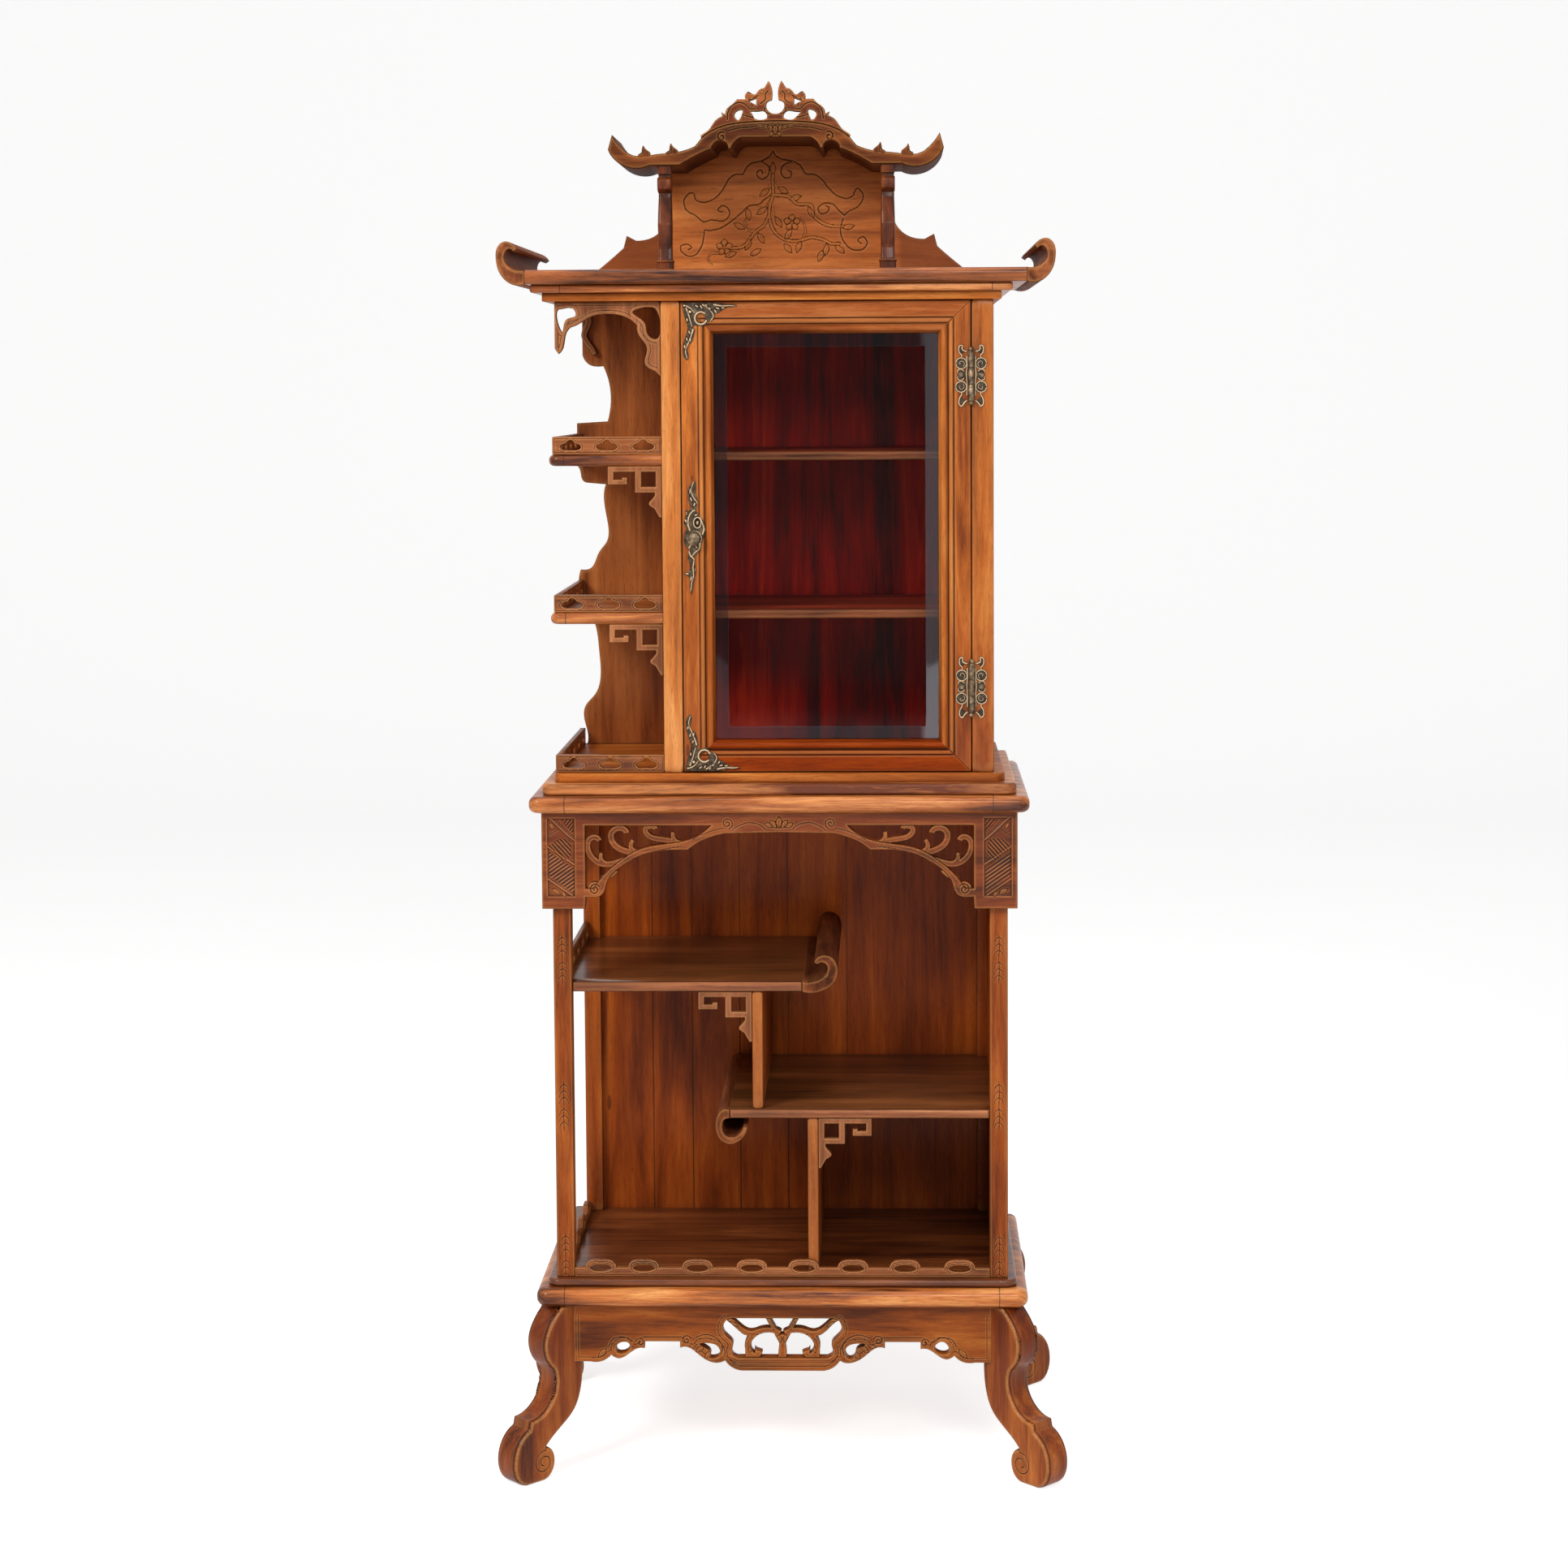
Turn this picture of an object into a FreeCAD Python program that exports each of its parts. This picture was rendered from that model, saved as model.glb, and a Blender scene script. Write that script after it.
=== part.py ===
"""Chinese book cabinet: a curio cabinet of open shelves, a glazed door and a pagoda crest.

The frame is +Z up with the origin on the floor under the middle of the cabinet, and the
front faces -Y.  All sizes are in millimetres and live in the sheet that make_sheet fills.
"""
import FreeCAD, Part
import math
import os
import re
import types

SIZES = {
    # Heights of the storeys, from the floor up
    "leg_height": 234.0, "moulding_height": 25.0, "tier_height": 10.5,
    "stand_height": 641.5, "waist_board_height": 22.0, "waist_step_height": 15.5,
    "waist_fillet_height": 12.0, "cabinet_height": 634.5, "cornice_fillet_height": 11.0,
    "cornice_cove_height": 11.0, "cornice_board_height": 19.0,
    # Half widths of the storeys
    "moulding_half": 334.0, "tier_half": 319.5, "frieze_half": 320.0,
    "waist_half": 336.0, "plinth_half": 319.5, "fillet_half": 304.0,
    "cornice_fillet_half": 306.5, "cornice_cove_half": 321.0, "cornice_board_half": 332.0,
    # Distances of the faces in front of and behind the middle plane
    "moulding_front": 191.0, "tier_front": 176.5, "waist_front": 198.0, "plinth_front": 180.0,
    "fillet_front": 163.0, "cornice_fillet_front": 163.0, "cornice_cove_front": 178.0,
    "cornice_board_front": 192.0, "back_face": 187.0, "cabinet_front": 153.0,
    "shelf_front": 160.0,
    # Rounding of the mouldings
    "plan_round": 16.0, "moulding_round": 11.0, "waist_round": 9.0, "tier_round": 4.0,
    "cornice_round": 7.0, "arris": 1.5,
    # Legs, set diagonally under the corners
    "leg_reach": 95.5, "leg_thickness": 42.0, "leg_x": 305.0, "leg_y": 162.0,
    "leg_scroll_radius": 16.5, "leg_scroll_width": 2.2, "carving_depth": 1.6,
    # Aprons between the legs
    "apron_drop": 92.8, "apron_thickness": 18.0, "apron_inset": 10.0, "vine_width": 7.0,
    # Posts and panels of the open stand
    "post_width": 24.5, "post_front": 164.0, "rear_post_inset": 20.0,
    "back_panel_thickness": 12.0, "seam_width": 2.0, "seam_depth": 1.5,
    "side_panel_thickness": 10.0,
    # Frieze under the waist
    "frieze_drop": 131.5, "frieze_thickness": 16.5, "frieze_side_thickness": 12.5,
    "tendril_width": 6.5, "tendril_thickness": 12.0,
    # Open shelves with curled ends
    "left_shelf_share": 0.63414, "left_shelf_thickness": 14.0, "left_shelf_end": 29.5,
    "left_curl_reach": 48.0, "left_curl_rise": 50.0, "right_shelf_share": 0.36009,
    "right_shelf_thickness": 12.5, "right_shelf_end": 70.5, "right_curl_reach": 18.5,
    "right_curl_drop": 48.0, "divider_thickness": 14.5, "upper_divider_x": 39.0,
    "lower_divider_x": 35.5, "divider_setback": 4.0,
    # Galleries and fret brackets
    "gallery_height": 24.0, "gallery_thickness": 8.0, "base_bar_height": 13.0,
    "loop_width": 43.0, "loop_hole_width": 29.0, "loop_hole_height": 9.0,
    "cloud_width": 29.0, "cloud_height": 15.0, "gallery_inset": 5.0, "fret_width": 73.0,
    "fret_height": 70.0, "fret_thickness": 12.0,
    # Upper cabinet, a little left of the middle, and the open bay beside it
    "upper_shift": 6.5, "cabinet_left": 155.5, "cabinet_right": 289.5,
    "cabinet_post_left_width": 26.0, "cabinet_post_right_width": 29.5,
    "cabinet_post_depth": 26.0, "cabinet_side_thickness": 12.0, "side_setback": 2.5,
    "inner_shelf_thickness": 13.0, "inner_shelf_front": 105.0, "high_shelf_share": 0.68164,
    "low_shelf_share": 0.34279, "cleat_height": 15.0, "cleat_width": 12.0,
    "bay_shelf_reach": 308.0, "bay_shelf_thickness": 15.5, "bay_high_share": 0.6777,
    "bay_low_share": 0.342, "bay_corner_round": 14.0, "bay_back_reach": 303.0,
    "arch_drop": 101.0, "arch_left": 298.0, "rear_bracket_height": 61.0,
    "rear_bracket_width": 17.0, "rear_bracket_root": 10.4,
    # Door, its glass and its hardware
    "door_gap": 1.2, "door_depth": 22.0, "door_frame_width": 43.0, "bead_width": 11.0,
    "bead_height": 3.5, "rebate_width": 9.0, "glass_thickness": 4.0, "glass_clearance": 0.5,
    "glass_bevel_width": 22.0, "glass_bevel_depth": 1.5, "glazing_bead_width": 8.0,
    "glass_front_depth": 9.0, "plate_thickness": 1.5, "lock_x": 112.0, "lock_share": 0.5004,
    "lock_width": 30.0, "lock_length": 154.0, "knob_radius": 10.0, "knob_length": 20.0,
    "knob_lift": 0.25, "stem_radius": 3.0, "running_clearance": 0.05, "tongue_reach": 25.0,
    "tongue_width": 12.0, "tongue_thickness": 3.0, "tongue_clearance": 0.8,
    "mount_width": 76.0, "mount_height": 78.0,
    "barrel_radius": 4.0, "pin_radius": 2.0, "barrel_length": 84.0, "leaf_width": 21.0,
    "leaf_margin": 1.0, "knuckle_gap": 0.4, "upper_hinge_share": 0.83924, "lower_hinge_share": 0.18046,
    "pin_head_radius": 3.0, "pin_head_height": 3.0,
    # Scrolled cornice ends
    "cornice_curl_reach": 38.0, "cornice_curl_rise": 56.5,
    # Crest: panel, brackets, roof and dragons
    "crest_wing_half": 262.0, "crest_panel_height": 186.0, "crest_panel_thickness": 12.0,
    "roof_rear": 4.0, "roof_front": 150.0, "roof_half": 224.0, "roof_height": 197.0,
    "crest_bracket_half": 160.0, "crest_bracket_width": 23.0, "crest_bracket_depth": 22.0,
    "crest_bracket_setback": 10.0, "dragon_half": 99.6, "dragon_height": 52.5,
    "dragon_thickness": 12.0,
    # Overrun of every cut that goes right through, and what counts as level
    "overrun": 5.0, "flat_tolerance": 0.15,
}

# Levels above the floor, written in the sheet's own names
MOULDING_BOTTOM = "leg_height"
TIER_BOTTOM = MOULDING_BOTTOM + " + moulding_height"
DECK_TOP = TIER_BOTTOM + " + tier_height"
WAIST_BOTTOM = DECK_TOP + " + stand_height"
STEP_BOTTOM = WAIST_BOTTOM + " + waist_board_height"
FILLET_BOTTOM = STEP_BOTTOM + " + waist_step_height"
CABINET_BOTTOM = FILLET_BOTTOM + " + waist_fillet_height"
CABINET_TOP = CABINET_BOTTOM + " + cabinet_height"
COVE_BOTTOM = CABINET_TOP + " + cornice_fillet_height"
CORNICE_BOTTOM = COVE_BOTTOM + " + cornice_cove_height"
CORNICE_TOP = CORNICE_BOTTOM + " + cornice_board_height"

# Cells of the sheet that follow other cells, so that boards keep together
DERIVED = {
    "post_half": "frieze_half - frieze_side_thickness",
    "rear_post_half": "frieze_half - rear_post_inset",
    "left_shelf_top": DECK_TOP + " + stand_height * left_shelf_share",
    "right_shelf_top": DECK_TOP + " + stand_height * right_shelf_share",
    "high_shelf_top": CABINET_BOTTOM + " + cabinet_height * high_shelf_share",
    "low_shelf_top": CABINET_BOTTOM + " + cabinet_height * low_shelf_share",
    "bay_high_top": CABINET_BOTTOM + " + cabinet_height * bay_high_share",
    "bay_low_top": CABINET_BOTTOM + " + cabinet_height * bay_low_share",
    "lock_z": CABINET_BOTTOM + " + cabinet_height * lock_share",
    "upper_hinge_z": CABINET_BOTTOM + " + cabinet_height * upper_hinge_share",
    "lower_hinge_z": CABINET_BOTTOM + " + cabinet_height * lower_hinge_share",
}

SMOOTH = "smooth"
MIDDLE = "middle of an arc"


class Model:
    """The document, its sheet of sizes, and short ways to add bound features to it."""

    def __init__(self):
        self.doc = FreeCAD.newDocument("BookCabinet")
        self.sheet = self.doc.addObject("Spreadsheet::Sheet", "Sizes")
        cells = {name: str(size) for name, size in SIZES.items()}
        cells.update((name, "=" + text) for name, text in DERIVED.items())
        for row, (alias, content) in enumerate(cells.items(), start=1):
            self.sheet.set(f"A{row}", alias.replace("_", " "))
            self.sheet.set(f"B{row}", content)
            self.sheet.setAlias(f"B{row}", alias)
        self.doc.recompute()
        self.aliases = set(cells)
        self.size = types.SimpleNamespace(**{name: self.sheet.get(name) for name in cells})
        self.nodes = []

    def bound(self, text):
        """Point every name in an expression at its cell."""
        return re.sub(r"[a-z]\w*", lambda found: "Sizes." * (found.group() in self.aliases)
                      + found.group(), text)

    def value(self, text):
        """The value of an expression, for points that a sketch is drawn through."""
        result = self.sheet.evalExpression(self.bound(text))
        return float(getattr(result, "Value", result))

    def bind(self, item, prop, text):
        if text is not None:
            item.setExpression(prop, self.bound(text))

    def place(self, item, x=None, y=None, z=None):
        for axis, text in (("x", x), ("y", y), ("z", z)):
            self.bind(item, ".Placement.Base." + axis, text)

    def name(self, item, label):
        """Make an object a sub-part: its label is the name of its file."""
        item.Label = label
        self.nodes.append(item)
        return item

    def board(self, name, x, y, z, length, width, height):
        """A plain board from its low corner and its three sizes."""
        box = self.doc.addObject("Part::Box", name)
        for prop, text in (("Length", length), ("Width", width), ("Height", height)):
            self.bind(box, prop, text)
        self.place(box, x, y, z)
        return box

    def sketch(self, body, role, outlines, offset=None):
        """A sketch of closed outlines on one of the body's own origin planes."""
        sketch = body.newObject("Sketcher::SketchObject", body.Name + "_sketch")
        plane = next(item for item in body.Origin.OriginFeatures if item.Role == role)
        sketch.AttachmentSupport = [(plane, "")]
        sketch.MapMode = "FlatFace"
        self.bind(sketch, ".AttachmentOffset.Base.z", offset)
        for outline in outlines:
            for curve in outline_curves(outline):
                sketch.addGeometry(curve, False)
        return sketch

    def pad(self, body, role, outlines, length, offset=None, midplane=False):
        pad = body.newObject("PartDesign::Pad", body.Name + "_pad")
        pad.Profile = self.sketch(body, role, outlines, offset)
        pad.SideType = "Symmetric" if midplane else "One side"
        self.bind(pad, "Length", length)
        body.Tip = pad
        return pad

    def pocket(self, body, role, outlines, length, offset=None, flipped=False, midplane=False):
        """Cut the outlines out of the body, and stop if the cut takes nothing away."""
        self.doc.recompute()
        before = body.Shape.Volume
        pocket = body.newObject("PartDesign::Pocket", body.Name + "_pocket")
        pocket.Profile = self.sketch(body, role, outlines, offset)
        pocket.SideType = "Symmetric" if midplane else "One side"
        pocket.Reversed = flipped
        self.bind(pocket, "Length", length)
        body.Tip = pocket
        self.doc.recompute()
        if not body.Shape.Volume < before:
            raise RuntimeError(body.Name + ": a pocket cuts nothing")
        return pocket

    def body(self, name):
        return self.doc.addObject("PartDesign::Body", name)

    def plate(self, name, role, outlines, length, x=None, y=None, z=None):
        """A body that is one padded sketch, set in its place."""
        body = self.body(name)
        self.pad(body, role, outlines, length)
        self.place(body, x, y, z)
        return body

    def fillet(self, body, radius, chosen):
        """Round the edges of the body's tip that the given test chooses."""
        self.doc.recompute()
        base = body.Tip
        names = [f"Edge{index}" for index, edge in enumerate(base.Shape.Edges, start=1)
                 if chosen(edge.BoundBox)]
        fillet = body.newObject("PartDesign::Fillet", body.Name + "_fillet")
        fillet.Base = (base, names)
        self.bind(fillet, "Radius", radius)
        body.Tip = fillet
        return fillet

    def group(self, label, items):
        """Several like pieces that share one node."""
        group = self.doc.addObject("Part::Compound", label)
        group.Links = items
        return self.name(group, label)


def vector(point):
    return FreeCAD.Vector(point[0], point[1], 0)


def outline_curves(outline):
    """Lines between corners, arcs through one middle point, curves through smooth points."""
    if isinstance(outline[0], Part.Circle):
        return outline
    corners = [index for index, point in enumerate(outline) if len(point) == 2]
    if not corners:
        curve = Part.BSplineCurve()
        curve.interpolate([vector(point) for point in outline], PeriodicFlag=True)
        return [curve]
    curves = []
    for start, stop in zip(corners, corners[1:] + [corners[0] + len(outline)]):
        points = [outline[index % len(outline)] for index in range(start, stop + 1)]
        places = [vector(point) for point in points]
        if len(points) == 2:
            curves.append(Part.LineSegment(*places))
        elif len(points) == 3 and points[1][2] == MIDDLE:
            curves.append(Part.Arc(*places))
        else:
            curve = Part.BSplineCurve()
            curve.interpolate(places)
            curves.append(curve)
    return curves


def scaled(shares, width, height, x=0.0, y=0.0):
    """An outline from shares of a width and a height."""
    return [(x + width * point[0], y + height * point[1], *point[2:]) for point in shares]


def mirrored(outline):
    return [(-point[0], *point[1:]) for point in reversed(outline)]


def both_halves(half):
    """A closed outline from its right half, whose points on the axis are used once."""
    return half + [point for point in mirrored(half) if point[0] != 0]


def rectangle(x_low, y_low, x_high, y_high):
    return [(x_low, y_low), (x_high, y_low), (x_high, y_high), (x_low, y_high)]


def rounded_plan(half, front, rear, radius):
    """A rectangle in plan with its two front corners rounded."""
    inner = radius * (1 - math.sqrt(0.5))
    right = [(half, rear), (half, -front + radius), (half - inner, -front + inner, MIDDLE),
             (half - radius, -front)]
    return right + mirrored(right)


def ellipse(x, y, half_width, half_height):
    steps = 8
    angles = [2 * math.pi * step / steps for step in range(steps)]
    return [(x + half_width * math.cos(angle), y + half_height * math.sin(angle), SMOOTH)
            for angle in angles]


# Outline of a cloud as cut in the galleries, in shares of its half width and half height
CLOUD_SHARES = [
    (-0.36, 0.50), (0.0, 1.0, MIDDLE), (0.36, 0.50), (0.62, 0.30, SMOOTH),
    (0.95, -0.05, SMOOTH), (0.97, -0.25, SMOOTH), (0.75, -0.70, SMOOTH),
    (0.0, -0.80, SMOOTH), (-0.75, -0.70, SMOOTH), (-0.97, -0.25, SMOOTH),
    (-0.95, -0.05, SMOOTH), (-0.62, 0.30, SMOOTH),
]


def cloud(x, y, width, height):
    """A flat cloud with a raised middle lobe, as cut in the galleries."""
    return [(x + width / 2 * point[0], y + height / 2 * point[1], *point[2:])
            for point in CLOUD_SHARES]


def band(centres, widths):
    """A strip of the given widths along a curve through the centre points."""
    curve = Part.BSplineCurve()
    curve.interpolate([vector(point) for point in centres])
    steps = 3 * len(centres)
    left, right = [], []
    for step in range(steps + 1):
        share = step / steps
        along = curve.FirstParameter + share * (curve.LastParameter - curve.FirstParameter)
        place = curve.value(along)
        tangent = curve.tangent(along)[0]
        half = (widths[0] + share * (widths[1] - widths[0])) / 2
        kind = () if step in (0, steps) else (SMOOTH,)
        left.append((place.x - half * tangent.y, place.y + half * tangent.x, *kind))
        right.append((place.x + half * tangent.y, place.y - half * tangent.x, *kind))
    return left + right[::-1]


def scroll(x, y, radii, degrees, widths):
    """A strip wound as a spiral from the first radius and angle to the second."""
    steps = max(4, round(abs(degrees[1] - degrees[0]) / 40))
    centres = []
    for step in range(steps + 1):
        share = step / steps
        radius = radii[0] + share * (radii[1] - radii[0])
        angle = math.radians(degrees[0] + share * (degrees[1] - degrees[0]))
        centres.append((x + radius * math.cos(angle), y + radius * math.sin(angle)))
    return band(centres, widths)


# Leg outline, in shares of the leg's reach and height, from the top of the knee round
LEG_SHARES = [
    (0.115, 1.0), (0.308, 0.919, SMOOTH), (0.423, 0.825, SMOOTH), (0.400, 0.714, SMOOTH),
    (0.269, 0.643), (0.230, 0.556, SMOOTH), (0.308, 0.462, SMOOTH), (0.500, 0.390, SMOOTH),
    (0.693, 0.372), (0.720, 0.325), (0.885, 0.275, SMOOTH), (1.0, 0.155, SMOOTH),
    (0.930, 0.040, SMOOTH), (0.760, 0.0), (0.500, 0.0), (0.330, 0.030, SMOOTH),
    (0.262, 0.100, SMOOTH), (0.300, 0.165, SMOOTH), (0.423, 0.194), (0.346, 0.224),
    (0.154, 0.282, SMOOTH), (-0.115, 0.374, SMOOTH), (-0.230, 0.485, SMOOTH),
    (-0.269, 0.643, SMOOTH), (-0.314, 1.0),
]
LEG_SCROLL_SHARES = (0.478, 0.112)


def make_legs(model):
    """Four scroll legs turned outwards along the diagonals, each with a carved volute."""
    size = model.size
    volute_x = size.leg_reach * LEG_SCROLL_SHARES[0]
    volute_z = size.leg_height * LEG_SCROLL_SHARES[1]
    end_share = 0.2
    corners = (("leg_front_left", -1, -1), ("leg_front_right", 1, -1),
               ("leg_rear_right", 1, 1), ("leg_rear_left", -1, 1))
    for label, side, end in corners:
        body = model.body(label)
        model.pad(body, "XZ_Plane", [scaled(LEG_SHARES, size.leg_reach, size.leg_height)],
                  "leg_thickness", midplane=True)
        groove = scroll(volute_x, volute_z,
                        (size.leg_scroll_radius, size.leg_scroll_radius * end_share),
                        (100, -500), (size.leg_scroll_width, size.leg_scroll_width))
        for offset, flipped in (("leg_thickness / 2", False), ("-leg_thickness / 2", True)):
            model.pocket(body, "XZ_Plane", [groove], "carving_depth", offset, flipped)
        outwards = math.degrees(math.atan2(end, side))
        body.Placement.Rotation = FreeCAD.Rotation(FreeCAD.Vector(0, 0, 1), outwards)
        model.place(body, f"{side} * leg_x", f"{end} * leg_y")
        model.name(body, label)


# Right half of the carved apron, in shares of its half length and its drop
APRON_EDGE_SHARES = [
    (0.0, -1.0), (0.200, -1.0), (0.250, -0.935, SMOOTH), (0.275, -0.850),
    (0.320, -0.885, SMOOTH), (0.390, -0.790, SMOOTH), (0.455, -0.650, SMOOTH),
    (0.490, -0.660), (0.490, -0.565), (0.660, -0.565), (0.660, -0.670),
    (0.700, -0.680, SMOOTH), (0.770, -0.815, SMOOTH), (0.820, -0.770), (0.860, -0.860, SMOOTH),
    (0.920, -0.870), (1.0, -0.870), (1.0, 0.0),
]
PLAIN_APRON_SHARES = [
    (0.0, -0.52, SMOOTH), (0.50, -0.56, SMOOTH), (0.70, -0.62), (0.80, -0.80, SMOOTH),
    (0.90, -0.87), (1.0, -0.87), (1.0, 0.0),
]
APRON_LEAF_SHARES = [
    [(0.310, -0.790, SMOOTH), (0.305, -0.660, SMOOTH), (0.360, -0.590, SMOOTH),
     (0.395, -0.600, SMOOTH), (0.355, -0.680, SMOOTH), (0.345, -0.780, SMOOTH)],
    [(0.735, -0.600, SMOOTH), (0.790, -0.620, SMOOTH), (0.795, -0.700, SMOOTH),
     (0.765, -0.740, SMOOTH)],
]
CARTOUCHE_SHARES = [
    (0.0, -0.800), (0.215, -0.800), (0.242, -0.700, SMOOTH), (0.235, -0.600, SMOOTH),
    (0.280, -0.420, SMOOTH), (0.272, -0.260, SMOOTH), (0.225, -0.215), (0.0, -0.215),
]
# Vine inside the cartouche: centre lines and the share of the vine's width at each end
VINE_SHARES = [
    ([(0.0, -0.84), (0.0, -0.62), (0.012, -0.46)], (1.6, 1.0)),
    ([(0.0, -0.60), (0.035, -0.40), (0.075, -0.18)], (1.0, 0.8)),
    ([(0.010, -0.44), (0.070, -0.39), (0.140, -0.47), (0.165, -0.66), (0.135, -0.78),
      (0.110, -0.70)], (1.0, 1.3)),
    ([(0.120, -0.43), (0.190, -0.40), (0.250, -0.24), (0.300, -0.20)], (1.2, 0.9)),
    ([(0.165, -0.62), (0.160, -0.84)], (1.2, 1.4)),
]


def apron_plate(model, name, half, pierced):
    """An apron board between two legs, facing -Y, with mitred ends on the legs' sides."""
    size = model.size
    half_length = model.value(half)
    shares = APRON_EDGE_SHARES if pierced else PLAIN_APRON_SHARES
    outlines = [both_halves(scaled(shares, half_length, size.apron_drop))]
    if pierced:
        outlines.append(both_halves(scaled(CARTOUCHE_SHARES, half_length, size.apron_drop)))
        for leaf in APRON_LEAF_SHARES:
            hole = scaled(leaf, half_length, size.apron_drop)
            outlines += [hole, mirrored(hole)]
    body = model.body(name)
    model.pad(body, "XZ_Plane", outlines, "apron_thickness")
    if pierced:
        for centres, widths in VINE_SHARES:
            strip = band(scaled(centres, half_length, size.apron_drop),
                         [size.vine_width * share for share in widths])
            for outline in (strip, mirrored(strip)):
                model.pad(body, "XZ_Plane", [outline], "apron_thickness - 2 * carving_depth",
                          "carving_depth")
    inner = half_length - size.apron_thickness
    outer = half_length + size.overrun
    mitre = [(half_length, -size.apron_thickness), (inner, 0), (inner, size.overrun),
             (outer, size.overrun), (outer, -size.apron_thickness - size.overrun),
             (half_length, -size.apron_thickness - size.overrun)]
    model.pocket(body, "XY_Plane", [mitre, mirrored(mitre)], "apron_drop + overrun")
    return body


def make_aprons(model):
    """Aprons seated on the sides of the legs: the front pierced, the others plain."""
    seat = "apron_inset - leg_thickness * sqrt(0.5)"
    depth = "(leg_y + apron_inset - apron_thickness)"
    reach = "(leg_x + apron_inset - apron_thickness)"
    turned = (("apron_front", "leg_x + " + seat, True, 0, None, "-" + depth),
              ("apron_rear", "leg_x + " + seat, False, 180, None, depth),
              ("apron_right", "leg_y + " + seat, False, 90, reach, None),
              ("apron_left", "leg_y + " + seat, False, 270, "-" + reach, None))
    made = []
    for name, half, pierced, angle, x, y in turned:
        body = apron_plate(model, name, half, pierced)
        body.Placement.Rotation = FreeCAD.Rotation(FreeCAD.Vector(0, 0, 1), angle)
        model.place(body, x, y, MOULDING_BOTTOM)
        made.append(body)
    model.name(made[0], "apron_front")
    model.name(made[1], "apron_rear")
    model.group("apron_sides", made[2:])


def slab(model, label, half, front, bottom, height, edge_round, shift=None, corner=None):
    """A moulded board with rounded front corners and rounded edges on all but the back."""
    size = model.size
    tiny = size.flat_tolerance
    rear = size.back_face
    radius = model.value(corner) if corner else size.plan_round
    body = model.plate(label, "XY_Plane",
                       [rounded_plan(model.value(half), model.value(front), rear, radius)],
                       height, shift, None, bottom)
    model.fillet(body, edge_round, lambda box: box.ZLength < tiny and box.YMin < rear - tiny)
    return model.name(body, label)


def make_base(model):
    slab(model, "base_moulding", "moulding_half", "moulding_front", MOULDING_BOTTOM,
         "moulding_height", "moulding_round")
    slab(model, "base_deck", "tier_half", "tier_front", TIER_BOTTOM, "tier_height",
         "tier_round")
    slab(model, "waist_board", "waist_half", "waist_front", WAIST_BOTTOM,
         "waist_board_height", "waist_round")
    slab(model, "waist_step", "plinth_half", "plinth_front", STEP_BOTTOM, "waist_step_height",
         "tier_round")
    slab(model, "waist_fillet", "fillet_half", "fillet_front", FILLET_BOTTOM,
         "waist_fillet_height", "arris")


LOOP_PLACE_SHARES = (-0.875, -0.667, -0.408, -0.146, 0.104, 0.342, 0.592, 0.854)
SIDE_LOOP_PLACE_SHARES = (-0.72, -0.24, 0.24, 0.72)
LOOP_SHOULDER_SHARES = (0.75, 0.9)


def looped_bar(half, places, size):
    """The outline of a low rail with a raised oval loop at each place, and its holes."""
    top = size.gallery_height
    reach = size.loop_width / 2
    shoulder, shoulder_top = (reach * LOOP_SHOULDER_SHARES[0], top * LOOP_SHOULDER_SHARES[1])
    outline = [(-half, 0), (half, 0), (half, size.base_bar_height)]
    holes = []
    for place in reversed(places):
        outline += [(place + reach, size.base_bar_height),
                    (place + shoulder, shoulder_top, SMOOTH), (place, top, SMOOTH),
                    (place - shoulder, shoulder_top, SMOOTH),
                    (place - reach, size.base_bar_height)]
        holes.append(ellipse(place, top / 2, size.loop_hole_width / 2,
                             size.loop_hole_height / 2))
    return [outline + [(-half, size.base_bar_height)], *holes]


def make_base_galleries(model):
    """Looped rails on the deck between the front posts and along the open left end."""
    size = model.size
    front_half = size.post_half - size.post_width
    side_half = (size.post_front + size.back_face) / 2 - size.post_width
    front = model.plate("gallery_front", "XZ_Plane",
                        looped_bar(front_half, [front_half * share
                                                for share in LOOP_PLACE_SHARES], size),
                        "gallery_thickness", None, "divider_setback - shelf_front", DECK_TOP)
    places = [side_half * share for share in SIDE_LOOP_PLACE_SHARES]
    side = model.plate("gallery_side", "YZ_Plane", looped_bar(side_half, places, size),
                       "gallery_thickness", "-rear_post_half",
                       "(back_face - post_front) / 2", DECK_TOP)
    model.group("base_galleries", [front, side])


def make_stand(model):
    """Posts, back and right side of the open stand."""
    front = [model.board(name, x, "-post_front", DECK_TOP, "post_width", "post_width",
                         "stand_height")
             for name, x in (("front_left", "-post_half"),
                             ("front_right", "post_half - post_width"))]
    model.group("front_posts", front)
    rear = [model.board(name, x, "back_face - post_width", DECK_TOP, "post_width",
                        "post_width", "stand_height")
            for name, x in (("rear_left", "-rear_post_half"),
                            ("rear_right", "rear_post_half - post_width"))]
    model.group("rear_posts", rear)
    make_back_panel(model)
    model.name(model.board("lower_side_panel", "rear_post_half - side_panel_thickness",
                           "post_width - post_front", DECK_TOP, "side_panel_thickness",
                           "post_front + back_face - 2 * post_width", "stand_height"),
               "lower_side_panel")


SEAM_SHARES = (-0.726, -0.515, -0.261, -0.005, 0.309)


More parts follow.
